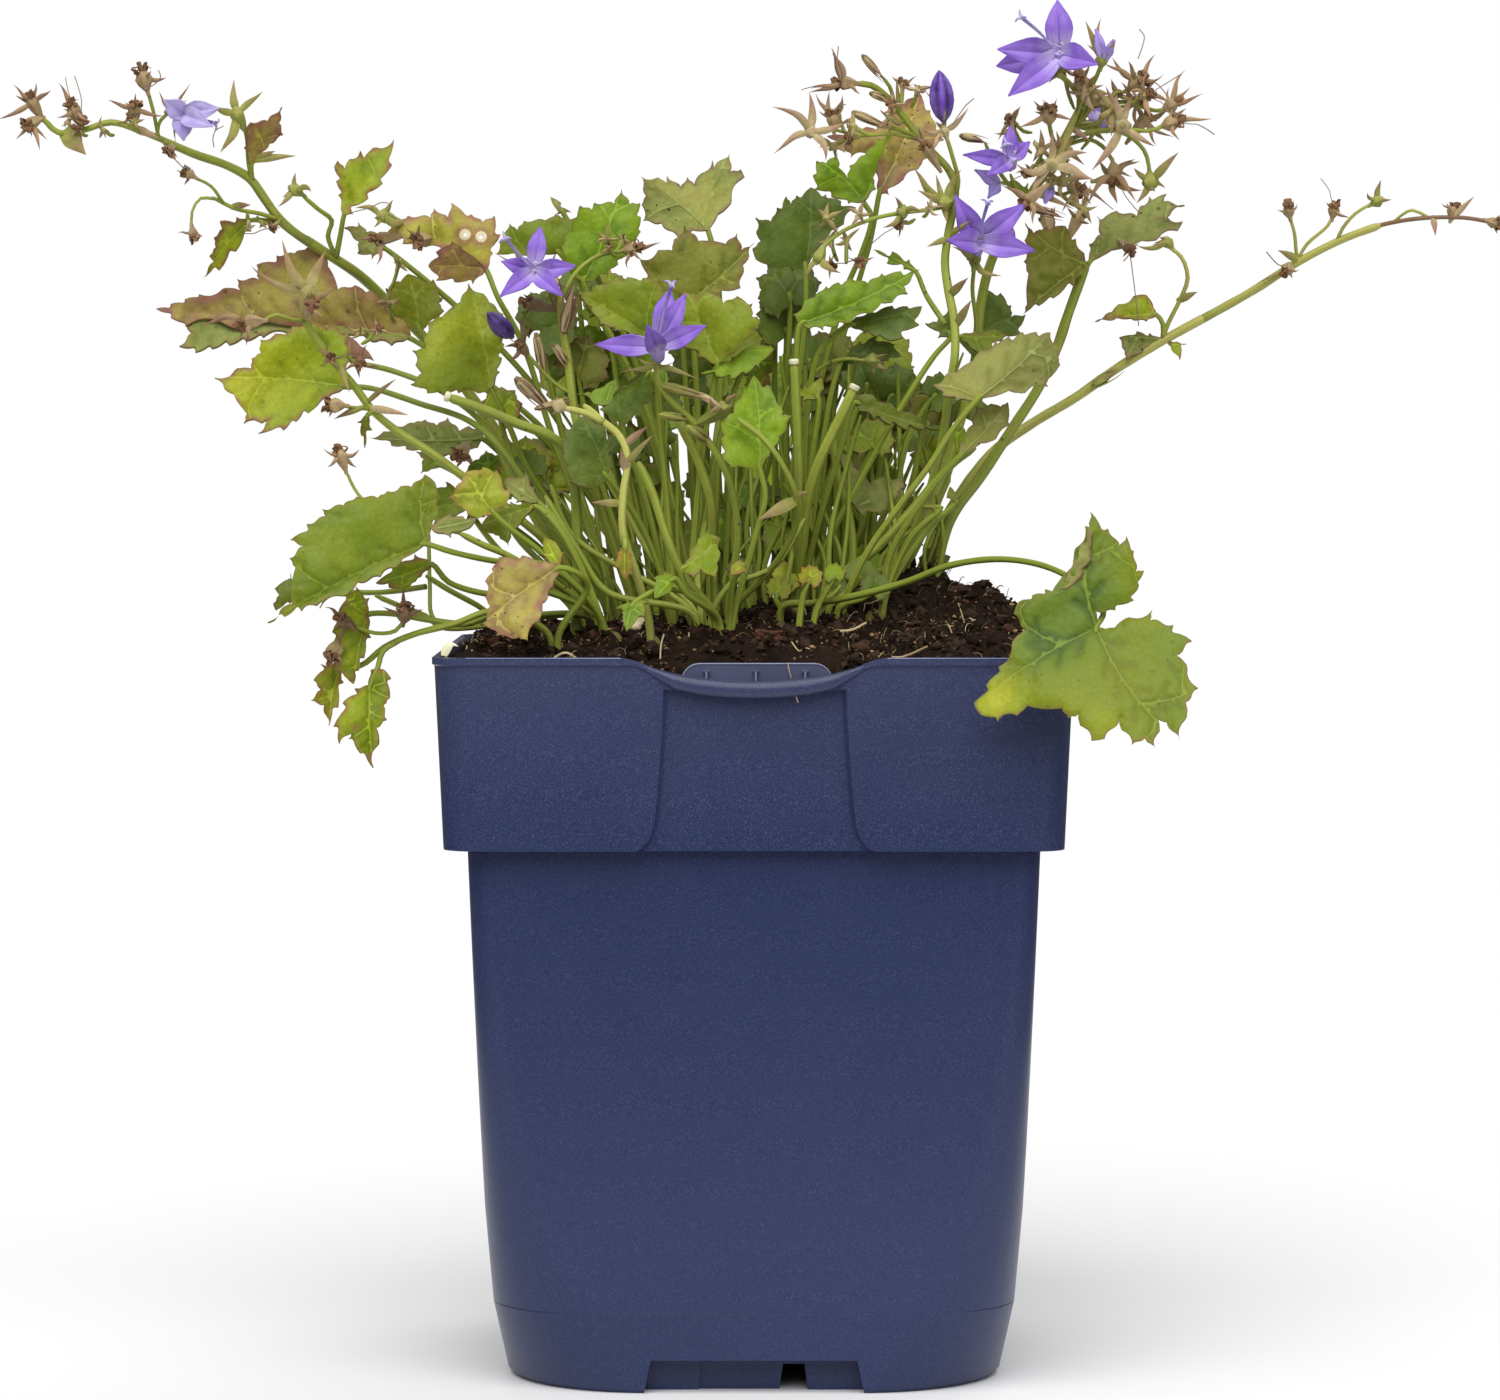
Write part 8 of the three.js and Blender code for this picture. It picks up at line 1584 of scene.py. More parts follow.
def small_leaf(x, z, depth, size, heading, tint, draw):
    """A heart-shaped leaf with coarse teeth, drawn by a rule, where no single leaf was measured."""
    margin = []
    teeth = 9
    for k in range(2 * teeth + 1):
        turn = (k / (2 * teeth) - 0.5) * 2 * 2.45
        notch = 0.84 if k % 2 else 1.0
        reach = size * (0.78 + 0.22 * math.cos(turn)) * notch * draw.uniform(0.93, 1.05)
        margin += [x + reach * math.cos(heading + turn), z + reach * math.sin(heading + turn)]
    return a_leaf(tint, (x, z, depth), (draw.uniform(-0.3, 0.3), draw.uniform(0.2, 0.9)), *margin)


def spray(clay, plane, low, high, count, reach, sepal, lean, draw):
    """Dried flowers on thin stalks round a stretch of stem, each with five curled sepals."""
    for _ in range(count):
        foot = on_sight([one + (two - one) * draw.random() for one, two in zip(low, high)], plane)
        aside = lean[0] + draw.gauss(0, 0.45)
        ahead, up = draw.gauss(-0.5, 0.5), lean[1] + draw.gauss(0, 0.45)
        way = Vector((aside, ahead, up)).normalized()
        top = foot + way * reach * draw.uniform(0.5, 1.25)
        sag = Vector((0, 0, -0.12 * reach))
        stalk(clay, [foot, foot.lerp(top, 0.5) + sag, top], 0.34, "green_stalk", draw)
        size = sepal * draw.uniform(0.75, 1.15)
        ovary = max(0.5, 0.24 * size)
        centre = top + way * ovary
        side = way.orthogonal().normalized()
        tips = []
        for k in range(SEPALS):
            out = turned(side, 2 * math.pi * k / SEPALS + draw.uniform(-0.25, 0.25), way)
            out = (way * draw.uniform(-0.5, 0.9) + out).normalized()
            tips.append(centre + out * size * draw.uniform(0.7, 1.15))
        tint = draw.choice(["rosy", "bronze", "dried", "dried", "bronze"])
        calyx(clay, {"plane": plane}, a_calyx(tint, ovary, centre, top, *tips), draw)


# Flowers

def petal(sheets, start, tip, width, draw, faded=0.0):
    """One lobe of a flower: broad, pointed, cupped at its foot and turned back at its tip."""
    axis = (tip - start).normalized()
    across = axis.cross(TO_FRONT)
    across = across.normalized() if across.length > 0.2 else TO_RIGHT.copy()
    front = across.cross(axis).normalized()
    length = (tip - start).length
    rows, columns = 22, 12
    spots, values = zip(*PETAL_PROFILE)
    points, along, aside = [], [], []
    seed = draw.uniform(0, 90)
    back = draw.uniform(0.1, 0.4)
    for i in range(rows + 1):
        t = i / rows
        half = 0.56 * width * float(np.interp(t, spots, values))
        cup = 0.13 * math.sin(math.pi * t) - back * max(0, t - 0.6) ** 2 * 2
        centre = start.lerp(tip, t) + front * length * cup
        for k in range(columns + 1):
            v = -1 + 2 * k / columns
            rise = 0.6 * half * v * v * (1 - 1.2 * t) - 0.16 * half * math.exp(-(v * 4) ** 2)
            ripple = 0.3 * noise.noise(Vector((t * 5, v * 1.5, seed))) * abs(v)
            points.append(centre + across * half * v + front * (rise + ripple))
            along.append(t)
            aside.append(v)
    faces = bands(rows + 1, columns + 1, closed=False)
    sheets.add(points, faces, ("petal_face", "petal_back"), along=along,
               across=aside, shade=draw.random(), tone=faded)


def build_bloom(bloom):
    """One open flower: its lobes, the funnel they spring from, its stamens and its style."""
    draw = random.Random(bloom["name"])
    sheets, clay = Clay(), Clay()
    plane = bloom["plane"]
    foot = on_sight(bloom["base"], plane)
    mouth = on_sight(bloom["throat"], plane)
    deep = foot.lerp(mouth, 0.72)
    for tip in bloom["tips"]:
        petal(sheets, deep, on_sight(tip, plane), bloom["width"] * 0.92, draw, bloom["faded"])
    route = [foot.lerp(mouth, t) for t in np.linspace(0, 1, len(FUNNEL_RADII))]
    sweep(clay, route, FUNNEL_RADII, 15, "funnel", draw.random(), ridges=5, ridge=0.1)
    end = on_sight(bloom["style"], plane)
    half = mouth.lerp(end, 0.5)
    stops = smooth_route([deep, half, end], 0.7)
    sweep(clay, stops, [0.2 + 0.14 * k / len(stops) for k in range(len(stops))], 8, "style", draw.random())
    past = (end - half).normalized()
    side = past.orthogonal().normalized()
    for k in range(3):
        out = turned(side, 2.1 * k, past)
        lobe = curved(end, end + past * 0.7 + out * 0.9, past * 0.4, 6, 0.5, out)
        sweep(clay, lobe, [0.3, 0.3, 0.28, 0.24, 0.2, 0.1], 7, "style", draw.random())
    for k in range(5):
        out = turned(side, 1.2566 * k + 0.3, past)
        stamen = curved(deep, mouth + past * 1.4 + out * 1.3, out * 0.5, 7)
        sweep(clay, stamen, [0.14, 0.14, 0.16, 0.2, 0.26, 0.24, 0.1], 6, "stamen", draw.random())
    thickness = bpy.context.scene.flower_settings.thickness
    finish_piece(bloom["name"] + "_fine", clay, FLOWER_CREASE, "petal", bloom["name"], sheets=sheets,
                 thickness=thickness)


def build_bud(name, plane, base, tip, width):
    """A closed bud with five folded lobes, pleated along its length."""
    clay = Clay()
    start, end = on_sight(base, plane), on_sight(tip, plane)
    spots, sizes = zip(*BUD_PROFILE)

    def bulge(t):
        return float(np.interp(t, spots, sizes))

    places = np.linspace(0, 1, 26)
    young = name == "bud_left"
    sweep(clay, [start.lerp(end, t) for t in places], [0.5 * width * bulge(t) for t in places], 40,
          "young_petals" if young else "folded_petals", ridges=5, ridge=0.12, spiral=0.35)
    if not young:
        front = TO_FRONT * (0.5 * width)
        stripe = [start.lerp(end, t) + front * bulge(t) for t in np.linspace(0.06, 0.62, 9)]
        blade(clay, stripe, 0.42, 0.16, "scar", TO_FRONT, 0.4)
    finish_piece(name + "_fine", clay, FLOWER_CREASE, "bud", name)


# The pot

def square_ring(half, corner, height, arc, flat=8):
    """One level ring of a square with rounded corners."""
    ring = []
    straight = half - corner
    for side in range(4):
        spin = Matrix.Rotation(side * math.pi / 2, 3, "Z")
        for k in range(flat):
            ring.append(spin @ Vector((half, straight * (2 * k / flat - 1), height)))
        for k in range(arc):
            angle = math.pi / 2 * k / arc
            x, y = straight + corner * math.cos(angle), straight + corner * math.sin(angle)
            ring.append(spin @ Vector((x, y, height)))
    return ring


def corner_radius(height):
    if height >= LEDGE_HEIGHT:
        return COLLAR_CORNER
    return 5 + 20 * (1 - height / LEDGE_HEIGHT) ** 2.5


def wall_levels(wall, step=6.0):
    """The wall's levels with more of them between, so that the corners grow round in a smooth way."""
    levels = []
    for (half, height), (next_half, next_height) in zip(wall, wall[1:]):
        count = max(1, round(abs(next_height - height) / step))
        levels += [(half + (next_half - half) * k / count, height + (next_height - height) * k / count)
                   for k in range(count)]
    return [*levels, wall[-1]]


def face_outward(piece):
    only(piece)
    bpy.ops.object.mode_set(mode="EDIT")
    bpy.ops.mesh.select_all(action="SELECT")
    bpy.ops.mesh.remove_doubles(threshold=1e-6)
    bpy.ops.mesh.normals_make_consistent(inside=False)
    bpy.ops.object.mode_set(mode="OBJECT")


def prism(name, *layers):
    """A solid through outlines in x and z, each given with the y at which it stands."""
    points = [(x, y, z) for y, outline in layers for x, z in outline]
    count = len(layers[0][1])
    last = count * (len(layers) - 1)
    ends = [tuple(range(count)), tuple(reversed(range(last, last + count)))]
    piece = link_mesh(name, points, ends + bands(len(layers), count, back=True))
    face_outward(piece)
    return piece


def carve(piece, cutter, operation="DIFFERENCE"):
    only(piece)
    modifier = piece.modifiers.new("Carve", "BOOLEAN")
    modifier.object = cutter
    modifier.operation = operation
    modifier.solver = "EXACT"
    bpy.ops.object.modifier_apply(modifier="Carve")
    bpy.data.objects.remove(cutter)


def dip_edge():
    """The rim's front edge sinks in a soft curve: points along it from left to right."""
    deep = POT_HEIGHT - DIP_FLOOR
    half = [Vector((part * DIP_HALF, 0, POT_HEIGHT - sink * deep)) for part, sink in DIP_SHAPE]
    whole = [Vector((-point.x, 0, point.z)) for point in reversed(half[1:])] + half
    return [(point.x, point.z) for point in smooth_route(whole, 0.9)]


def build_lip():
    """The rounded lip under the dip: the rim's band carried on along the curve, fuller at its middle."""
    clay = Clay()
    marks, heights, outs = zip(*LIP_SHAPE)
    edge = dip_edge()
    turns = np.radians(np.linspace(80, -80, 7))
    points = []
    for x, top in edge:
        height = float(np.interp(abs(x), marks, heights))
        out = float(np.interp(abs(x), marks, outs))
        middle = top - 0.03 - height / 2
        points.append((x, LIP_BACK, middle + height / 2))
        points += [(x, -RIM_HALF - out * math.cos(turn) ** 0.6, middle + height / 2 * math.sin(turn))
                   for turn in turns]
        points.append((x, LIP_BACK, middle - height / 2))
    wide = len(turns) + 2
    last = wide * (len(edge) - 1)
    ends = [tuple(range(wide)), tuple(reversed(range(last, last + wide)))]
    clay.add(points, bands(len(edge), wide, back=True) + ends, "plastic")
    lip = clay.to_object("lip")
    face_outward(lip)
    return lip


def build_walls(arc):
    """The closed shell of the pot, outside and inside, before anything is cut out of it."""
    outer = [*FOOT_RING_INSIDE, *wall_levels(OUTER_WALL), *wall_levels(COLLAR_WALL[:3], 8),
             *COLLAR_WALL[3:]]
    inner = [*COLLAR_INSIDE, *wall_levels(INNER_WALL, 12), (0.4, FLOOR_TOP)]
    rings = [square_ring(half, max(0.2, min(half - 0.15, corner_radius(height) - inset)), height, arc)
             for levels, inset in ((outer, 0), (inner, WALL)) for half, height in levels]
    count = len(rings[0])
    faces = bands(len(rings), count)
    faces += [tuple(reversed(range(count))), tuple(range((len(rings) - 1) * count, len(rings) * count))]
    pot = link_mesh("pot_fine", [point for ring in rings for point in ring], faces)
    face_outward(pot)
    return pot


def build_pot():
    """The pot with its sunk fields, cut-outs, slot, dipped rim, lip and tongue, and a painted highlight
    along the rim.
    """
    settings = bpy.context.scene.pot_settings
    pot = build_walls(settings.arc_points)
    field = [*[(-x, z) for x, z in FIELD_EDGE], *[(x + 0.3, z) for x, z in reversed(FIELD_EDGE)]]
    mouth = [(x + math.copysign(FIELD_FLARE, x), z + (0.4 if z == FIELD_TOP else 0)) for x, z in field]
    shift, lean = Matrix.Translation(FIELD_SHIFT), Matrix.Rotation(FIELD_LEAN, 4, "X")
    for side in range(4):
        spin = Matrix.Rotation(side * math.pi / 2, 4, "Z")
        for reach, shape in FOOT_CUTS:
            gap = prism("gap", (-60, shape), (-reach, shape))
            gap.data.transform(spin)
            carve(pot, gap)
        sunk = prism("field", (-53.1, field), (-54.15, mouth), (-60, mouth))
        sunk.data.transform(spin @ shift @ lean)
        carve(pot, sunk)
    carve(pot, prism("slot", (-42, DRAIN_SLOT), (-34, DRAIN_SLOT)))
    dip = [*dip_edge(), (DIP_HALF, 132), (-DIP_HALF, 132)]
    carve(pot, prism("dip", (-60, dip), (-51, dip)))
    carve(pot, build_lip(), "UNION")
    apply_modifier(pot, "BEVEL", width=settings.edge_radius, segments=2, limit_method="ANGLE",
                   angle_limit=BEVEL_FROM, use_clamp_overlap=True)
    pot.data.materials.append(bpy.data.materials["plastic"])
    for polygon in pot.data.polygons:
        polygon.material_index = 0
    tongue = build_tongue()
    # A thin lighter line along the top edge of the rim: a painted highlight.
    rim_highlight_clay = Clay()
    for side in (-1, 1):
        route = [Vector((side * x, *RIM_HIGHLIGHT_PLACE)) for x in RIM_HIGHLIGHT_LINE]
        sweep(rim_highlight_clay, route, [RIM_HIGHLIGHT_RADIUS] * len(route), 8, "rim_edge")
    join(pot, tongue, rim_highlight_clay.to_object("rim_edge"))
    smooth(pot, 38)
    apply_modifier(pot, "WEIGHTED_NORMAL", keep_sharp=True)
    settle(pot, "pot", "pot")


def build_tongue():
    """The thin tongue that holds a label, with its side webs and ribs, and lighter lines down its ribs and
    along its top edge, a painted highlight.
    """
    left, right, top, bottom, y, thick = TONGUE.values()
    turns = np.linspace(0, math.pi / 2, 7)
    arc = [(TONGUE_CORNER * (1 - math.cos(a)), TONGUE_CORNER * (1 - math.sin(a))) for a in turns]
    outline = [(left, bottom), (right, bottom), *[(right - x, top - z) for x, z in arc],
               *[(left + x, top - z) for x, z in reversed(arc)]]
    tongue = prism("tongue", (y - thick / 2, outline), (y + thick / 2, outline))
    wall = -(RIM_HALF - WALL) + 0.9
    for x in (left + 0.6, right - 0.6):
        low, high = bottom, top - WEB_BELOW_TOP
        web = [(x - 0.6, low), (x + 0.6, low), (x + 0.6, high), (x - 0.6, high)]
        carve(tongue, prism("web", (wall, web), (y, web)), "UNION")
    clay = Clay()
    for x in TONGUE_RIBS:
        rib = [(x - 0.25, 118), (x + 0.25, 118), (x + 0.25, 126.0), (x + 0.6, 126.4), (x - 0.6, 126.4),
               (x - 0.25, 126.0)]
        carve(tongue, prism("rib", (y - RIB_DEPTH, rib), (y, rib)), "UNION")
        # A lighter line down the front of each rib: a painted highlight.
        route = [Vector((x, y - RIB_DEPTH, z)) for z in (118.2, 122, 126.2)]
        sweep(clay, route, [0.17] * 3, 8, "tongue_edge")
    # A lighter line along the rounded top edge: a painted highlight.
    front = [Vector((x, y - 0.5 * thick, z - 0.12)) for x, z in outline[2:]]
    sweep(clay, front, [0.15] * len(front), 8, "tongue_edge")
    apply_modifier(tongue, "BEVEL", width=0.22 * MM, segments=2, limit_method="ANGLE",
                   angle_limit=BEVEL_FROM)
    tongue.data.materials.append(bpy.data.materials["tongue"])
    return join(tongue, clay.to_object("tongue_edges"))


# The soil

def crumbly(x, y):
    """The soil's relief at a place: clods, grains and dust, in millimetres."""
    clods = noise.fractal(Vector((x / 7.5, y / 7.5, 3.0)), 0.7, 2.1, 5)
    grains = noise.voronoi(Vector((x / 2.3, y / 2.3, 1.0)))[0][0]
    dust = noise.voronoi(Vector((x / 0.95, y / 0.95, 6.0)))[0][0]
    return 1.0 * clods + 0.8 * (0.55 - grains) + 0.36 * (0.5 - dust)


def soil_top(x, y):
    relief = bpy.context.scene.soil_settings.relief / MM / 1.5
    edge = max(abs(x), abs(y))
    calm = min(1.0, max(0.0, (53.5 - edge) / 3.0))
    ragged = 1.3 * math.exp(-((x - 29) / 4) ** 2 - ((y - 8) / 14) ** 2)
    ragged -= 2.4 * math.exp(-((x - 39) / 3.6) ** 2 - ((y - 6) / 16) ** 2)
    ragged += 0.8 * math.exp(-((x - 46) / 3) ** 2 - ((y - 6) / 12) ** 2)
    return soil_height(x, y) + ragged + (1.5 * crumbly(x, y) * calm - 0.6 * (1 - calm)) * relief


def in_rounded_square(x, y, straight, turn, slack=0.0):
    """A place, drawn in where it lies past a corner that turns where the straight sides end."""
    over = Vector((max(0.0, abs(x) - straight), max(0.0, abs(y) - straight)))
    if over.length <= turn + slack:
        return x, y
    over = over.normalized() * turn
    return tuple(math.copysign(straight + out, part) if out else part for out, part in zip(over, (x, y)))


def build_soil():
    """The block of soil: a crumbly top with a pocket round the tongue, and smooth sides."""
    settings = bpy.context.scene.soil_settings
    cells = settings.cells
    points, clump = [], []
    for row in range(cells + 1):
        for column in range(cells + 1):
            x, y = SOIL_HALF * (2 * column / cells - 1), SOIL_HALF * (2 * row / cells - 1)
            x, y = in_rounded_square(x, y, SOIL_STRAIGHT, SOIL_CORNER, 0.001)
            z = soil_top(x, y)
            if y < POCKET["back"] and POCKET["left"] < x < POCKET["right"]:
                y = max(y, POCKET["front"])
                z = POCKET["bottom"]
            points.append((x, y, z))
            clump.append(0.5 + 0.5 * noise.noise(Vector((x / 5, y / 5, 11))))
    wide = cells + 1
    faces = bands(wide, wide, closed=False)
    border = [*range(wide), *[row * wide + cells for row in range(1, wide)],
              *[cells * wide + column for column in range(cells - 1, -1, -1)],
              *[row * wide for row in range(cells - 1, 0, -1)]]
    above = border
    for level_half, height in SOIL_LEVELS:
        start = len(points)
        turn = max(1.0, corner_radius(height) - WALL - CLEARANCE)
        for corner in border:
            place = Vector(points[corner][:2]) * level_half / SOIL_HALF
            points.append((*in_rounded_square(*place, level_half - turn, turn), height))
        clump += [0.5] * len(border)
        below = list(range(start, start + len(border)))
        faces += [(above[k], below[k], below[(k + 1) % len(below)], above[(k + 1) % len(above)])
                  for k in range(len(border))]
        above = below
    faces.append(tuple(reversed(above)))
    clay = Clay()
    clay.add(points, faces, "peat", shade=clump)
    soil = clay.to_object("soil_fine")
    face_outward(soil)
    smooth(soil, 70)
    settle(soil, "soil", "soil")


def lump_shapes(levels, count, rough, seed):
    """Some rough little lumps, each from a sphere pushed in and out."""
    shapes = []
    for index in range(count):
        bpy.ops.object.select_all(action="DESELECT")
        bpy.ops.mesh.primitive_ico_sphere_add(subdivisions=levels, radius=0.5)
        ball = bpy.context.object
        points = []
        for vertex in ball.data.vertices:
            way = Vector(vertex.co).normalized()
            push = noise.noise(way * 1.7 + Vector((seed + index * 5, 0, 0)))
            push += 0.5 * noise.noise(way * 4.2 + Vector((0, seed + index * 5, 0)))
            points.append(way * 0.5 * (1 + rough * push))
        faces = [tuple(polygon.vertices) for polygon in ball.data.polygons]
        bpy.data.objects.remove(ball)
        shapes.append((points, faces))
    return shapes


def free_spot(draw):
    """A place on the soil clear of the tongue and the pot's wall."""
    while True:
        x, y = draw.uniform(-51, 51), draw.uniform(-51, 51)
        if not (y < -46 and -14 < x < 15) and not (abs(x) > 47 and abs(y) > 47):
            return x, y


def lay_lump(clay, draw, shape, finish, x, y, size, turn, stretch, rise):
    """Lays one stretched and turned lump on the soil."""
    points, faces = shape
    centre = Vector((x, y, soil_top(x, y) + rise * size))
    clay.add([centre + turn @ stretch @ point for point in points], faces, finish, shade=draw.random())


def tumbled(draw, tilt):
    """A random turn on the soil, with a random tilt."""
    spin = Matrix.Rotation(draw.uniform(0, 6.28), 3, "Z")
    return spin @ Matrix.Rotation(draw.uniform(-tilt, tilt), 3, "X")


def build_crumbs():
    """Loose crumbs of peat, larger ones on the heap, and fine grains and splinters between them."""
    settings = bpy.context.scene.soil_settings
    draw = random.Random("crumbs")
    clay = Clay()
    shapes = lump_shapes(2, 5, 0.75, 2.0)
    finishes = ["peat"] * 10 + ["crumb_brown"] * 6 + ["crumb_tan", "crumb_red"]
    for _ in range(settings.crumbs):
        shape = draw.choice(shapes)
        x, y = free_spot(draw)
        size = 0.7 + 2.3 * draw.random() ** 2.4
        finish = draw.choice(finishes)
        if finish == "crumb_tan":
            size *= 0.5
        if 16 < x < 46 and -14 < y < 20 and draw.random() < 0.5:
            size *= 1.3
        sides = (size * draw.uniform(0.8, 1.5), size * draw.uniform(0.6, 1.1), size * 0.8)
        turn = tumbled(draw, 0.6)
        lay_lump(clay, draw, shape, finish, x, y, size, turn, Matrix.Diagonal(Vector(sides)), 0.12)
    shapes = lump_shapes(1, 5, 0.9, 4.0)
    finishes = ["peat"] * 5 + ["crumb_brown"] * 5 + ["crumb_tan", "crumb_red"]
    for _ in range(settings.grains):
        shape = draw.choice(shapes)
        x, y = free_spot(draw)
        finish = draw.choice(finishes)
        size = draw.uniform(0.4, 1.1) * (0.7 if finish == "crumb_tan" else 1)
        turn = tumbled(draw, 1)
        sides = (size * draw.uniform(0.8, 2.2), size, size * 0.8)
        lay_lump(clay, draw, shape, finish, x, y, size, turn, Matrix.Diagonal(Vector(sides)), 0.25)
    finish_piece("soil_crumbs", clay, 80, "soil")


def build_rootlets():
    """Pale rootlets, hairs that hang over the rim, a scrap of straw, and short fibres that stand up."""
    settings = bpy.context.scene.soil_settings
    draw = random.Random("rootlets")
    clay = Clay()

    def rootlet(stops, thick, sides=6):
        route = smooth_route(stops, 0.5)
        sweep(clay, route, [thick] * len(route), sides, "rootlet", draw.random())

    for thick, stops in HAIRS:
        rootlet(vectors(*stops), thick)
    blade(clay, smooth_route(vectors(*SCRAP), 0.5), 0.8, 0.2, "pith", TO_FRONT, 0.5, 0.4)
    for stops in SEEN_ROOTLETS:
        rootlet([Vector((x, y, soil_top(x, y) + lift + 0.3)) for x, y, lift in stops], 0.22)
    for _ in range(settings.rootlets):
        x, y = free_spot(draw)
        turn = draw.uniform(0, 6.28)
        length = draw.uniform(2.5, 8)
        stops = []
        for _ in range(6):
            turn += draw.uniform(-0.7, 0.7)
            x += math.cos(turn) * length / 5
            y += math.sin(turn) * length / 5
            x, y = max(-50, min(50, x)), max(-46, min(50, y))
            stops.append(Vector((x, y, soil_top(x, y) + draw.uniform(-0.1, 0.7))))
        rootlet(stops, draw.uniform(0.07, 0.16), 5)
    for _ in range(settings.fibres):
        x, y = free_spot(draw)
        turn, length = draw.uniform(0, 6.28), draw.uniform(0.9, 3.2)
        foot = Vector((x, y, soil_top(x, y) - 0.3))
        way = Vector((math.cos(turn), math.sin(turn), draw.uniform(-0.1, 1.2))).normalized()
        bow = Vector((draw.uniform(-0.3, 0.3), draw.uniform(-0.3, 0.3), 0.3)) * length
        thick = draw.uniform(0.5, 1.1)
        finish = draw.choice(["crumb_brown", "crumb_brown", "peat", "crumb_tan", "crumb_red", "rootlet"])
        if finish in ("rootlet", "crumb_tan"):
            thick *= 0.5
        route = curved(foot, foot + way * length, bow, 5)
        sweep(clay, route, [part * thick for part in FIBRE_RADII], 4, finish, draw.random())
    finish_piece("soil_rootlets", clay, 60, "soil")


def build_lumps():
    """The pebble and the bark chips."""
    for index, (name, (x, y), size, turn, finish, slot, rough, lift, crease) in enumerate(LUMPS):
        points, faces = lump_shapes(4, 1, rough, 20.0 + 9 * index)[0]
        place = Matrix.Rotation(turn, 3, "Z") @ Matrix.Diagonal(Vector(size))
        centre = Vector((x, y, soil_height(x, y) + size[2] / 2 + lift))
        clay = Clay()
        clay.add([centre + place @ point for point in points], faces, finish, shade=0.5)
        finish_piece(name + "_fine", clay, crease, slot, name)


# Finishes

class Finish:
    """A material's nodes, added one by one and wired as they are named, over a base colour."""

    def __init__(self, name, colour=None):
        self.material = bpy.data.materials.new(name)
        self.material.use_nodes = True
        self.tree = self.material.node_tree
        self.tree.nodes.clear()
        self.out = self.tree.nodes.new("ShaderNodeOutputMaterial")
        self.place = self.node("ShaderNodeTexCoord").outputs["Object"]
        self.colour = colour

    def put(self, socket, value):
        """Wires a value to a socket, or writes it there. A colour is given its fourth part."""
        if isinstance(value, bpy.types.NodeSocket):
            self.tree.links.new(value, socket)
        elif socket.type == "RGBA":
            socket.default_value = (*value, 1.0)
        else:
            socket.default_value = value

    def node(self, kind, **inputs):
        node = self.tree.nodes.new(kind)
        for name, value in inputs.items():
            self.put(node.inputs[name.replace("_", " ")], value)
        return node

    def painted(self, name):
        node = self.node("ShaderNodeAttribute")
        node.attribute_name = name
        return node.outputs["Fac"]

    def noise(self, scale, detail=4.0, roughness=0.55):
        return self.node("ShaderNodeTexNoise", Vector=self.place, Scale=scale, Detail=detail,
                         Roughness=roughness).outputs["Fac"]

    def cells(self, scale, feature="F1"):
        node = self.node("ShaderNodeTexVoronoi", Vector=self.place, Scale=scale)
        node.feature = feature
        return node.outputs["Distance"]

    def range(self, value, low, high, start=0.0, end=1.0):
        node = self.node("ShaderNodeMapRange", Value=value, From_Min=low, From_Max=high, To_Min=start,
                         To_Max=end)
        node.clamp = True
        return node.outputs["Result"]

    def patches(self, scale, detail, low, high, end=1.0, start=0.0):
        """Noise of a scale, drawn out between two of its values."""
        return self.range(self.noise(scale, detail), low, high, start, end)

    def specks(self, cells, near, far, cluster, low, high, most=1.0):
        """Dots in the middle of cells, gathered in clusters."""
        dots = self.range(self.cells(cells), near, far, most, 0.0)
        return self.times(dots, self.patches(cluster, 2, low, high))

    def maths(self, operation, *values):
        node = self.tree.nodes.new("ShaderNodeMath")
        node.operation = operation
        for socket, value in zip(node.inputs, values):
            self.put(socket, value)
        return node.outputs[0]

    def times(self, one, two):
        return self.maths("MULTIPLY", one, two)

    def over(self, factor, colour):
        """Mixes a colour over what is there."""
        node = self.tree.nodes.new("ShaderNodeMix")
        node.data_type = "RGBA"
        for index, value in ((0, factor), (6, self.colour), (7, colour)):
            self.put(node.inputs[index], value)
        self.colour = node.outputs[2]

    def bump(self, height, strength, distance, after=None):
        node = self.node("ShaderNodeBump", Height=height, Strength=strength, Distance=distance)
        if after is not None:
            self.put(node.inputs["Normal"], after)
        return node.outputs["Normal"]

    def surface(self, roughness, normal=None, specular=0.5):
        shader = self.node("ShaderNodeBsdfPrincipled", Roughness=roughness)
        shader.inputs["Specular IOR Level"].default_value = specular
        self.put(shader.inputs["Base Color"], self.colour)
        if normal is not None:
            self.put(shader.inputs["Normal"], normal)
        self.tree.links.new(shader.outputs["BSDF"], self.out.inputs["Surface"])


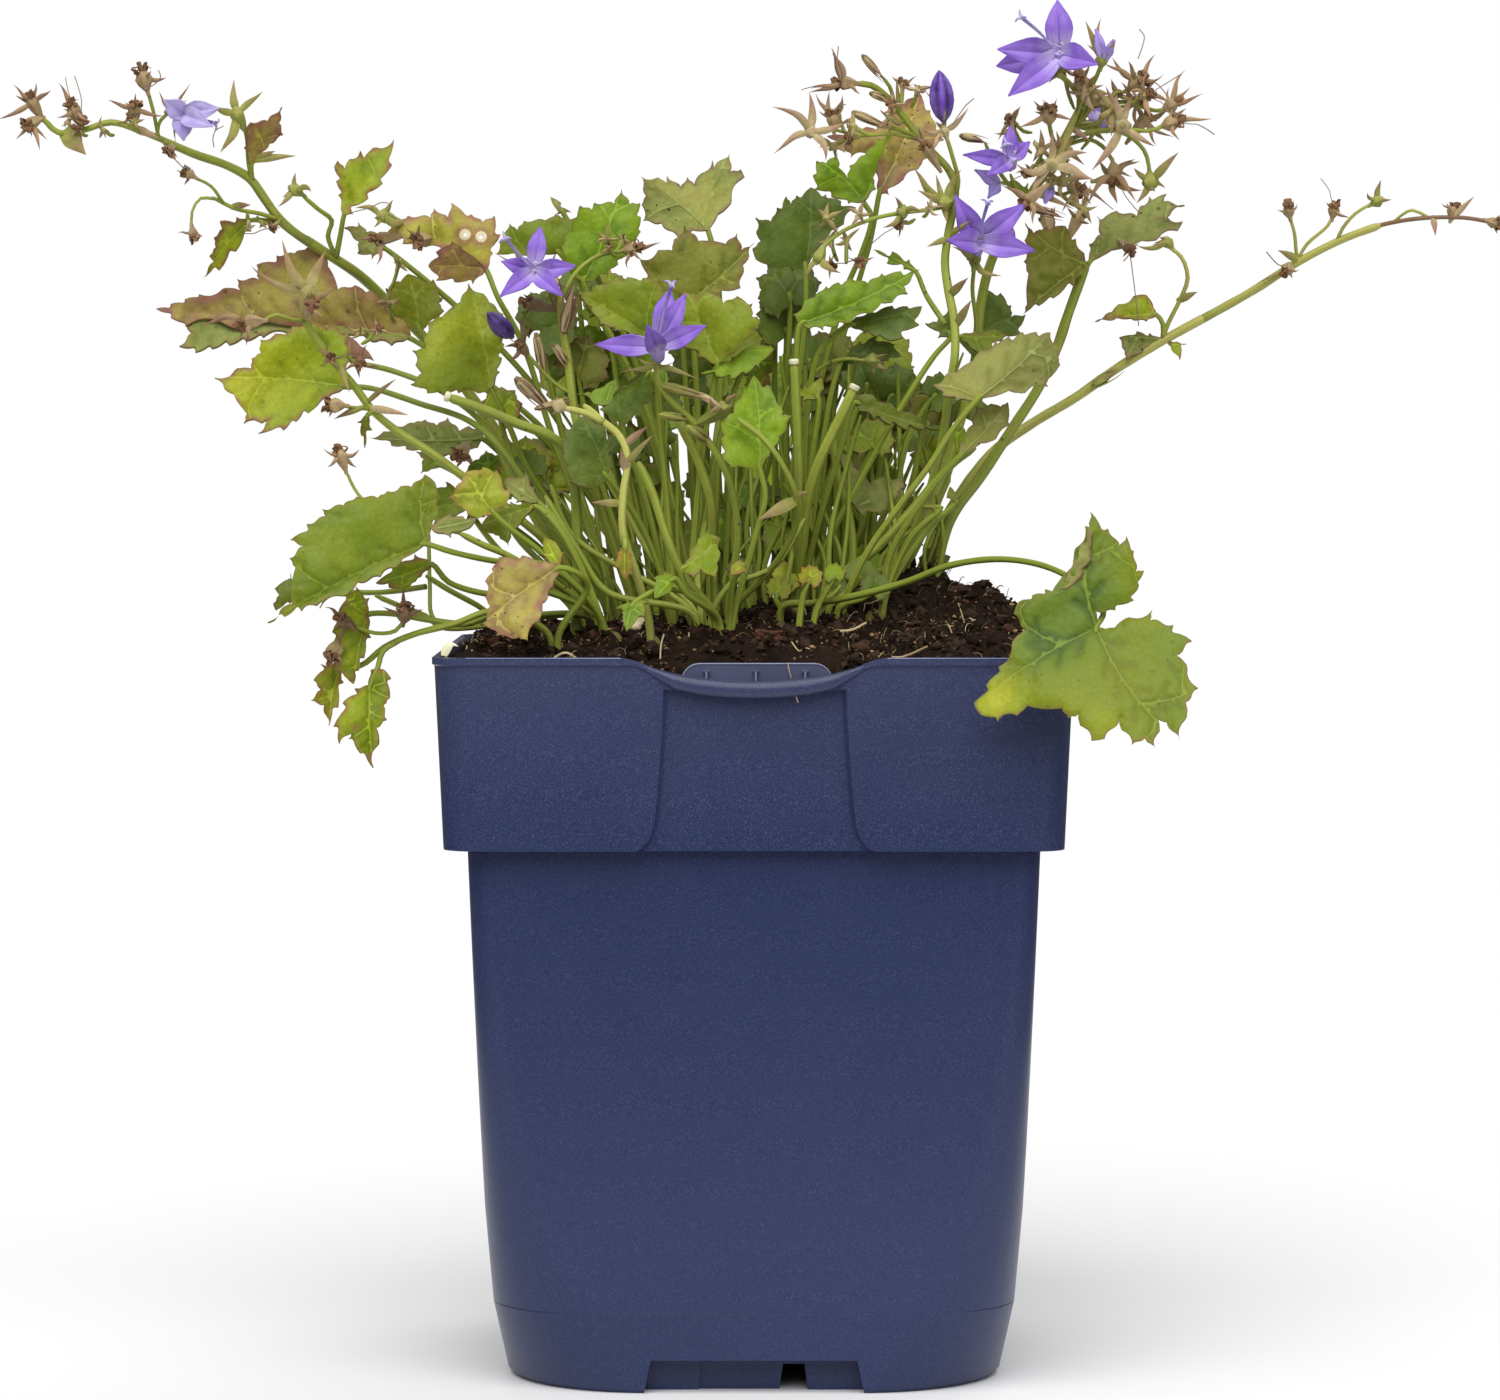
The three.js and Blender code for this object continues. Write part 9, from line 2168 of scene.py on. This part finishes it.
def leaf_finish(name, blade_colour, second, margin, margin_reach, spots):
    """Leaf tissue: blotched, with thin paler veins, a coloured margin, brown spots and a fine net."""
    paint = Finish("leaf_" + name, srgb(*blade_colour))
    under = name.startswith("under")
    paint.over(paint.range(paint.noise(110, 6, 0.64), 0.42, 0.58), srgb(*second))
    paint.over(paint.patches(48, 3, 0.42, 0.68, 0.42), srgb(*second, 0.7))
    sunned = srgb(blade_colour[0] + 40, blade_colour[1] + 18, blade_colour[2])
    paint.over(paint.patches(34, 2, 0.5, 0.7, 0.6), sunned)
    shade = paint.painted("shade")
    paint.over(paint.range(shade, 0, 1, 0.0, 0.4), srgb(*second, 0.62))
    tone = paint.painted("tone")
    uneven = paint.patches(170, 4, 0.3, 0.6, 1.0, 0.55)
    paint.over(paint.times(paint.range(tone, 0, 1, 0.0, 0.9), uneven), srgb(184, 182, 34))
    # A negative tone darkens the blade to deep green: painted shade.
    paint.over(paint.times(paint.range(tone, -1, 0, 0.85, 0.0), uneven), srgb(52, 82, 34))
    vein = paint.painted("vein")
    paint.over(paint.range(vein, 0.25, 1.3, 0.0, 0.32), srgb(*blade_colour, add=18 if under else 26))
    net = paint.range(paint.cells(820, "DISTANCE_TO_EDGE"), 0.0, 0.09, 0.18, 0.0)
    paint.over(net, srgb(*second, 0.55))
    rim = paint.painted("rim")
    wander = paint.patches(300, 5, 0.36, 0.64, 1.5)
    edge = paint.range(rim, 0.0, margin_reach, 1.0, 0.0)
    paint.over(paint.times(edge, wander), srgb(*margin))
    paint.over(paint.range(rim, 0.0, 0.3, 0.4, 0.0), srgb(*margin, 0.8))
    pale = srgb(*blade_colour, add=30 if under else 34)
    paint.over(paint.range(vein, 0.02, 0.17, 0.55, 0.0), pale)
    freckles = paint.specks(310, 0.1, 0.17, 90, 0.46, 0.6)
    paint.over(paint.times(freckles, spots), srgb(74, 48, 32))
    specks = paint.specks(640, 0.1, 0.16, 130, 0.48, 0.6)
    paint.over(paint.times(specks, min(1.0, 1.4 * spots)), srgb(40, 28, 20))
    spot = paint.painted("spot")
    paint.over(paint.range(spot, 1.1, 2.6, 0.8, 0.0), srgb(150, 104, 84))
    paint.over(paint.range(spot, 0.85, 1.15, 1.0, 0.0), srgb(226, 214, 176))
    normal = paint.bump(paint.cells(820), 0.32, 0.00035)
    normal = paint.bump(paint.noise(600, 3), 0.35, 0.0003, normal)
    paint.surface(0.66 if under else 0.44, normal, 0.12 if under else 0.18)


def stalk_finish(name, low, high, streak_and_groove_shade, blotch, dirt=1.0):
    """A green stalk, paler along its ridges and darker in its grooves, a painted shade, with darker
    streaks, painted shade at its foot and a flush of another colour.
    """
    paint = Finish(name, srgb(*high))
    along = paint.painted("along")
    paint.over(paint.range(along, 0.1, 0.95), srgb(*low))
    # Darker in the grooves than on the ridges: painted shade.
    paint.over(paint.range(paint.painted("across"), -0.6, 0.9, 0.45, 0.0), srgb(*streak_and_groove_shade))
    # Darker towards the foot of a stalk near the soil: painted shade.
    paint.over(paint.range(along, 0.84, 0.96, 0.0, 0.5), srgb(98, 86, 46))
    paint.over(paint.patches(260, 4, 0.5, 0.75, 0.6), srgb(*blotch))
    paint.over(paint.range(paint.painted("shade"), 0, 1, 0.0, 0.4), srgb(*streak_and_groove_shade))
    specks = paint.specks(520, 0.12, 0.18, 120, 0.52, 0.62, 0.8)
    paint.over(paint.times(specks, dirt), srgb(66, 46, 30))
    paint.surface(0.48, paint.bump(paint.noise(1500, 3), 0.3, 0.0002), 0.28)


def two_tone(name, foot, tip, roughness, spread=(0.1, 0.8), specular=0.3):
    """One colour at the foot and another at the tip, with a mottled surface."""
    paint = Finish(name, srgb(*foot))
    paint.over(paint.range(paint.painted("along"), *spread), srgb(*tip))
    paint.over(paint.patches(520, 5, 0.35, 0.7, 0.5), srgb(*tip, 0.66))
    paint.over(paint.range(paint.painted("shade"), 0, 1, 0.0, 0.35), srgb(*foot, 1.2))
    paint.surface(roughness, paint.bump(paint.noise(1200, 4), 0.5, 0.00022), specular)


def petal_finish(name, petal_colour, edge_colour, throat, vein, strength):
    """A petal: pale at its foot, deeper at its edges, with fine lines running to the tip."""
    paint = Finish(name, petal_colour)
    along, across = paint.painted("along"), paint.painted("across")
    paint.over(paint.patches(330, 4, 0.35, 0.65, 0.5), edge_colour)
    paint.over(paint.range(paint.maths("ABSOLUTE", across), 0.45, 1.0, 0.0, 0.6), edge_colour)
    paint.over(paint.range(along, 0.6, 1.0, 0.0, 0.5), edge_colour)
    paint.over(paint.range(along, 0.12, 0.5, 0.85, 0.0), throat)
    for repeats, weight in ((1.0, 0.9), (3.2, 0.6)):
        line = paint.maths("COSINE", paint.times(across, repeats * math.pi))
        lines = paint.range(line, 0.93, 1.0, 0.0, weight * strength)
        paint.over(paint.times(lines, paint.range(along, 0.15, 0.95, 1.0, 0.2)), vein)
    faded = paint.times(paint.painted("tone"), paint.patches(260, 3, 0.35, 0.6, 1.0, 0.55))
    paint.over(faded, srgb(206, 200, 232))
    paint.surface(0.5, paint.bump(paint.noise(900, 3), 0.35, 0.0002), 0.35)


def shaded(colour, by):
    return tuple(part * by for part in colour)


def bud_finish(name, colour, petal_colour, deep, light):
    """Folded lobes: darker in the pleats and lighter on the ridges, a painted shade and light, with a flush
    of the open flower's colour.
    """
    paint = Finish(name, shaded(colour, deep))
    # A darker copy in the pleats and a lighter copy on the ridges: painted shade and light.
    paint.over(paint.range(paint.painted("across"), -1.0, 0.9), shaded(colour, light))
    paint.over(paint.patches(420, 4, 0.4, 0.7, 0.35 * light), petal_colour)
    paint.over(paint.range(paint.painted("along"), 0.0, 0.3, 0.5, 0.0), srgb(110, 90, 84))
    paint.surface(0.42, paint.bump(paint.noise(900, 3), 0.4, 0.0002), 0.4)


def plastic_finish(colour):
    """Moulded plastic: a fine grain of light specks, partly a painted glint, and dust, both stronger on the
    collar than on the body, and a painted sheen that lightens the collar towards its rim.
    """
    paint = Finish("plastic", colour)
    paint.over(paint.patches(16, 3, 0.35, 0.65, 0.35), shaded(colour, 1.25))
    height = paint.node("ShaderNodeSeparateXYZ", Vector=paint.place).outputs["Z"]
    # Light specks of grain, partly a painted glint, stronger on the collar.
    grain_and_glint = paint.times(paint.patches(3600, 2, 0.48, 0.72), paint.range(height, *AT_LEDGE, 0.26, 0.42))
    paint.over(grain_and_glint, srgb(88, 96, 128))
    # The collar grows lighter towards its rim: a painted sheen.
    paint.over(paint.range(height, 0.0958, 0.128, 0.0, 0.1), srgb(120, 118, 134))
    dust = paint.specks(1000, 0.1, 0.16, 260, 0.5, 0.62)
    paint.over(paint.times(dust, paint.range(height, *AT_LEDGE, 0.14, 0.3)), srgb(116, 122, 150))
    normal = paint.bump(paint.noise(1500, 3, 0.6), 0.16, 0.00025)
    normal = paint.bump(paint.noise(34, 2), 0.06, 0.003, normal)
    paint.surface(paint.patches(60, 3, 0.3, 0.7, 0.36, 0.28), normal, 0.34)


def tongue_finish(colour):
    """The thin plastic of the tongue, paler and smoother than the pot."""
    paint = Finish("tongue", colour)
    paint.over(paint.patches(120, 3, 0.35, 0.65), shaded(colour, 0.8))
    paint.surface(0.3, paint.bump(paint.noise(500, 2), 0.1, 0.0003), 0.5)


def peat_finish(colour):
    """Dark peat with paler clumps, tan flecks and white specks."""
    paint = Finish("peat", shaded(colour, 0.3))
    paint.over(paint.range(paint.noise(500, 6, 0.7), 0.35, 0.7), colour)
    paint.over(paint.range(paint.painted("shade"), 0.35, 0.8, 0.0, 0.4), srgb(60, 43, 31))
    paint.over(paint.specks(760, 0.16, 0.24, 160, 0.52, 0.6, 0.8), srgb(142, 108, 72))
    paint.over(paint.specks(900, 0.08, 0.12, 240, 0.6, 0.64), srgb(196, 186, 164))
    paint.surface(0.95, paint.bump(paint.noise(900, 6, 0.75), 0.9, 0.0006), 0.12)


def lump_finish(name, light, dark):
    """A crumb, a chip or a stone, mottled in two colours."""
    paint = Finish(name, srgb(*light))
    paint.over(paint.range(paint.noise(420, 5, 0.65), 0.36, 0.64), srgb(*dark))
    paint.over(paint.range(paint.cells(700), 0.1, 0.3, 0.3, 0.0), srgb(*dark, 0.6))
    paint.surface(0.85, paint.bump(paint.noise(800, 5, 0.7), 0.7, 0.0004), 0.2)


def make_finishes():
    flower = bpy.context.scene.flower_settings
    for name, looks in LEAF_TINTS.items():
        leaf_finish(name, *looks)
    for name, looks in STALK_TINTS.items():
        stalk_finish(name, *looks)
    for name, (foot, tip) in CALYX_TINTS.items():
        two_tone("calyx_" + name, foot, shaded(foot, 0.9), 0.6)
        two_tone("sepal_" + name, foot, tip, 0.62)
    for name, looks in TWO_TONES.items():
        two_tone(name, *looks)
    petal_finish("petal_face", flower.petal, flower.petal_edge, flower.throat, flower.vein, 0.7)
    petal_finish("petal_back", flower.petal, flower.petal_edge, flower.petal, flower.vein, 0.35)
    bud_finish("folded_petals", flower.bud, flower.petal, 0.4, 1.35)
    bud_finish("young_petals", flower.bud, flower.petal, 0.16, 0.6)
    plastic_finish(bpy.context.scene.pot_settings.plastic)
    tongue_finish(bpy.context.scene.pot_settings.tongue)
    peat_finish(bpy.context.scene.soil_settings.peat)
    for name, looks in LUMP_TINTS.items():
        lump_finish(name, *looks)


# Steps

def inner_stalks(clay, count, draw):
    """Stalks that rise from the soil and spread out, deep in the plant."""
    for _ in range(count):
        turn = draw.uniform(0, 2 * math.pi)
        reach = math.sqrt(draw.random())
        x, y = 3 + 33 * reach * math.cos(turn), 8 + 22 * reach * math.sin(turn)
        ground = soil_height(x, y)
        top_x = x * draw.uniform(1.0, 1.6) + draw.gauss(0, 4)
        top = Vector((top_x, y + draw.uniform(-4, 9), ground + draw.uniform(14, 46)))
        top.x = min(top.x, 28 + 0.45 * (top.z - 135))
        bend_x, bend_y = x * 1.06 + draw.gauss(0, 1.2), y + draw.gauss(0, 1)
        bend = Vector((bend_x, bend_y, ground + 0.4 * (top.z - ground)))
        foot = vectors((x, y, ground), (x, y, ground - 5))
        stops = [top, top.lerp(bend, 0.5) + Vector((0, 1, 1)), bend, *foot]
        stalk(clay, stops, draw.uniform(0.3, 0.62), "leaf_stalk", draw, grow=0.6, step=2.5)


def inner_leaves(sheets, clay, count, draw):
    """Small leaves low down in the plant."""
    for _ in range(count):
        x, z, depth = draw.uniform(-30, 34), draw.uniform(141, 176), draw.uniform(2, 26)
        tint = draw.choice(["green", "dark", "dark", "bright", "green"])
        entry = small_leaf(x, z, depth, draw.uniform(3.2, 6.0), draw.uniform(0.2, 2.9), tint, draw)
        entry["way"] = [(x * 0.85, z - 8, depth)]
        leaf(sheets, clay, a_shoot("inner", 0, (x * 0.7, min(34.0, depth * 0.9)), 3), entry, draw)


def canopy_leaves(sheets, clay, draw):
    """Small leaves that close the top of the plant between the measured ones."""
    for x_low, x_high, z_low, z_high, depth_low, depth_high, size, count in CANOPY:
        for _ in range(count):
            x, z = draw.uniform(x_low, x_high), draw.uniform(z_low, z_high)
            depth = draw.uniform(depth_low, depth_high)
            tint = draw.choice(["green", "dark", "dark", "bright", "olive", "fresh"])
            breadth = size * draw.uniform(0.75, 1.2)
            entry = small_leaf(x, z, depth, breadth, draw.uniform(0.4, 2.7), tint, draw)
            entry["way"] = [(x * 0.9, z - 0.4 * (z - 135), depth)]
            leaf(sheets, clay, a_shoot("inner", 0, (x * 0.6, min(34.0, depth)), 3), entry, draw)


def build_undergrowth():
    """Stalks and small leaves deep in the plant, and the dried sprays with loose petals and threads."""
    settings = bpy.context.scene.leaf_settings
    draw = random.Random("undergrowth")
    green, blades = Clay(), Clay()
    inner_stalks(green, settings.inner_stalks, draw)
    inner_leaves(blades, green, settings.inner_leaves, draw)
    canopy_leaves(blades, green, draw)
    dry, loose = Clay(), Clay()
    for plane, low, high, count, reach, sepal, lean in SPRAYS:
        spray(dry, plane, low, high, count, reach, sepal, lean, draw)
    for plane, entry in FOLDS:
        leaf(loose, dry, {"plane": plane}, entry, draw)
    for plane, foot, tip, width in PETAL_BITS:
        petal(loose, on_sight(foot, plane), on_sight(tip, plane), width, draw, 0.4)
    for plane, stops in THREADS:
        route = smooth_route([on_sight(point, plane) for point in stops], 0.5)
        sweep(dry, route, [0.1] * len(route), 5, "thread", draw.random())
    for name, solid, sheets in (("undergrowth", green, blades), ("dried_sprays", dry, loose)):
        finish_piece(name, solid, PLANT_CREASE, "leaf", sheets=sheets, thickness=settings.thickness)


def build_surround(scene, settings):
    """Even light from all round, seen as white by the camera and dimmer in reflections."""
    world = bpy.data.worlds.new("surround")
    scene.world = world
    world.use_nodes = True
    nodes, links = world.node_tree.nodes, world.node_tree.links
    ground = nodes["Background"]
    ground.inputs["Color"].default_value = (1.0, 1.0, 1.0, 1.0)
    seen = nodes.new("ShaderNodeLightPath")
    strength = settings.surround
    for ray, value in (("Is Glossy Ray", settings.reflected), ("Is Camera Ray", 1.0)):
        choice = nodes.new("ShaderNodeMapRange")
        choice.inputs["To Max"].default_value = value
        if isinstance(strength, bpy.types.NodeSocket):
            links.new(strength, choice.inputs["To Min"])
        else:
            choice.inputs["To Min"].default_value = strength
        links.new(seen.outputs[ray], choice.inputs["Value"])
        strength = choice.outputs["Result"]
    links.new(strength, ground.inputs["Strength"])


class STEP_OT_finishes(bpy.types.Operator):
    """Makes every finish of the plant and its pot"""

    bl_idname = "bellflower.finishes"
    bl_label = "Finishes"

    def execute(self, context):
        make_finishes()
        return {"FINISHED"}


class STEP_OT_pot(bpy.types.Operator):
    """Builds the square pot with its collar, panels, feet, dipped rim and label tongue"""

    bl_idname = "bellflower.pot"
    bl_label = "Pot"

    def execute(self, context):
        build_pot()
        return {"FINISHED"}


class STEP_OT_soil(bpy.types.Operator):
    """Builds the soil with its crumbs and rootlets, the pebble and the bark chips"""

    bl_idname = "bellflower.soil"
    bl_label = "Soil"

    def execute(self, context):
        build_soil()
        build_crumbs()
        build_rootlets()
        build_lumps()
        return {"FINISHED"}


class STEP_OT_leaves(bpy.types.Operator):
    """Builds the tufts of leaves with their stalks"""

    bl_idname = "bellflower.leaves"
    bl_label = "Leaves"

    def execute(self, context):
        for shoot in SHOOTS:
            if shoot["name"].startswith("lea"):
                build_shoot(shoot, "leaf", shoot["name"])
        return {"FINISHED"}


class STEP_OT_stems(bpy.types.Operator):
    """Builds the stems with their calyces, bracts and dried flowers"""

    bl_idname = "bellflower.stems"
    bl_label = "Stems"

    def execute(self, context):
        for shoot in SHOOTS:
            if not shoot["name"].startswith("lea"):
                build_shoot(shoot, "stem", shoot["name"])
        return {"FINISHED"}


class STEP_OT_flowers(bpy.types.Operator):
    """Builds the open flowers and the buds"""

    bl_idname = "bellflower.flowers"
    bl_label = "Flowers"

    def execute(self, context):
        for bloom in BLOOMS:
            build_bloom(bloom)
        for bud in BUDS:
            build_bud(*bud)
        return {"FINISHED"}


class STEP_OT_undergrowth(bpy.types.Operator):
    """Builds the small shoots, stalks and leaves deep in the plant, and the dried sprays"""

    bl_idname = "bellflower.undergrowth"
    bl_label = "Undergrowth"

    def execute(self, context):
        for shoot in EXTRAS:
            build_shoot(shoot, "leaf", name=shoot["name"])
        build_undergrowth()
        return {"FINISHED"}


class STEP_OT_studio(bpy.types.Operator):
    """Sets the pale floor, the soft lights and the camera"""

    bl_idname = "bellflower.studio"
    bl_label = "Studio"

    def execute(self, context):
        settings = context.scene.studio_settings
        bpy.ops.object.select_all(action="DESELECT")
        bpy.ops.mesh.primitive_plane_add(size=1.0, location=FLOOR_PLACE)
        floor = context.object
        floor.scale = FLOOR_SIZE
        bpy.ops.object.transform_apply(location=True, rotation=False, scale=True)
        floor.name = "floor"
        paper = Finish("floor", settings.floor)
        paper.over(paper.patches(3, 2, 0.3, 0.7), shaded(settings.floor, 0.985))
        paper.surface(0.9, None, 0.1)
        floor.data.materials.append(bpy.data.materials["floor"])
        build_surround(context.scene, settings)
        for name, place, width in LIGHTS:
            aim = (-Vector(place)).to_track_quat("-Z", "Y").to_euler()
            bpy.ops.object.light_add(type="SUN", location=place, rotation=aim)
            lamp = context.object
            lamp.name = name + "_light"
            lamp.data.angle = math.radians(width)
            lamp.data.energy = getattr(settings, name)
        context.scene.view_settings.view_transform = "Standard"
        dip = math.radians(90 - CAMERA_DIP)
        bpy.ops.object.camera_add(location=EYE * MM, rotation=(dip, 0, 0))
        camera = context.object
        camera.name = "camera"
        camera.data.lens = CAMERA_LENS
        camera.data.sensor_width = SENSOR_WIDTH
        camera.data.clip_start = 0.05
        camera.data.clip_end = 60.0
        context.scene.camera = camera
        return {"FINISHED"}


STEPS = ("finishes", "pot", "soil", "leaves", "stems", "flowers", "undergrowth", "studio")
SETTINGS = {"leaf_settings": LeafSettings, "flower_settings": FlowerSettings, "pot_settings": PotSettings,
            "soil_settings": SoilSettings, "studio_settings": StudioSettings}


class BELLFLOWER_PT_panel(bpy.types.Panel):
    """Lists the settings and the steps"""

    bl_idname = "BELLFLOWER_PT_panel"
    bl_label = "Potted Bellflower"
    bl_space_type = "VIEW_3D"
    bl_region_type = "UI"
    bl_category = "Bellflower"

    def draw(self, context):
        for name, group in SETTINGS.items():
            box = self.layout.box()
            box.label(text=group.__doc__)
            for field in group.__annotations__:
                box.prop(getattr(context.scene, name), field)
        for step in STEPS:
            self.layout.operator("bellflower." + step)


CLASSES = (*SETTINGS.values(), STEP_OT_finishes, STEP_OT_pot, STEP_OT_soil, STEP_OT_leaves, STEP_OT_stems,
           STEP_OT_flowers, STEP_OT_undergrowth, STEP_OT_studio, BELLFLOWER_PT_panel)


def register():
    for made in CLASSES:
        bpy.utils.register_class(made)
    for name, group in SETTINGS.items():
        setattr(bpy.types.Scene, name, PointerProperty(type=group))


def unregister():
    for name in SETTINGS:
        delattr(bpy.types.Scene, name)
    for made in reversed(CLASSES):
        bpy.utils.unregister_class(made)


def main():
    register()
    for step in STEPS:
        getattr(bpy.ops.bellflower, step)()


if __name__ == "__main__":
    main()
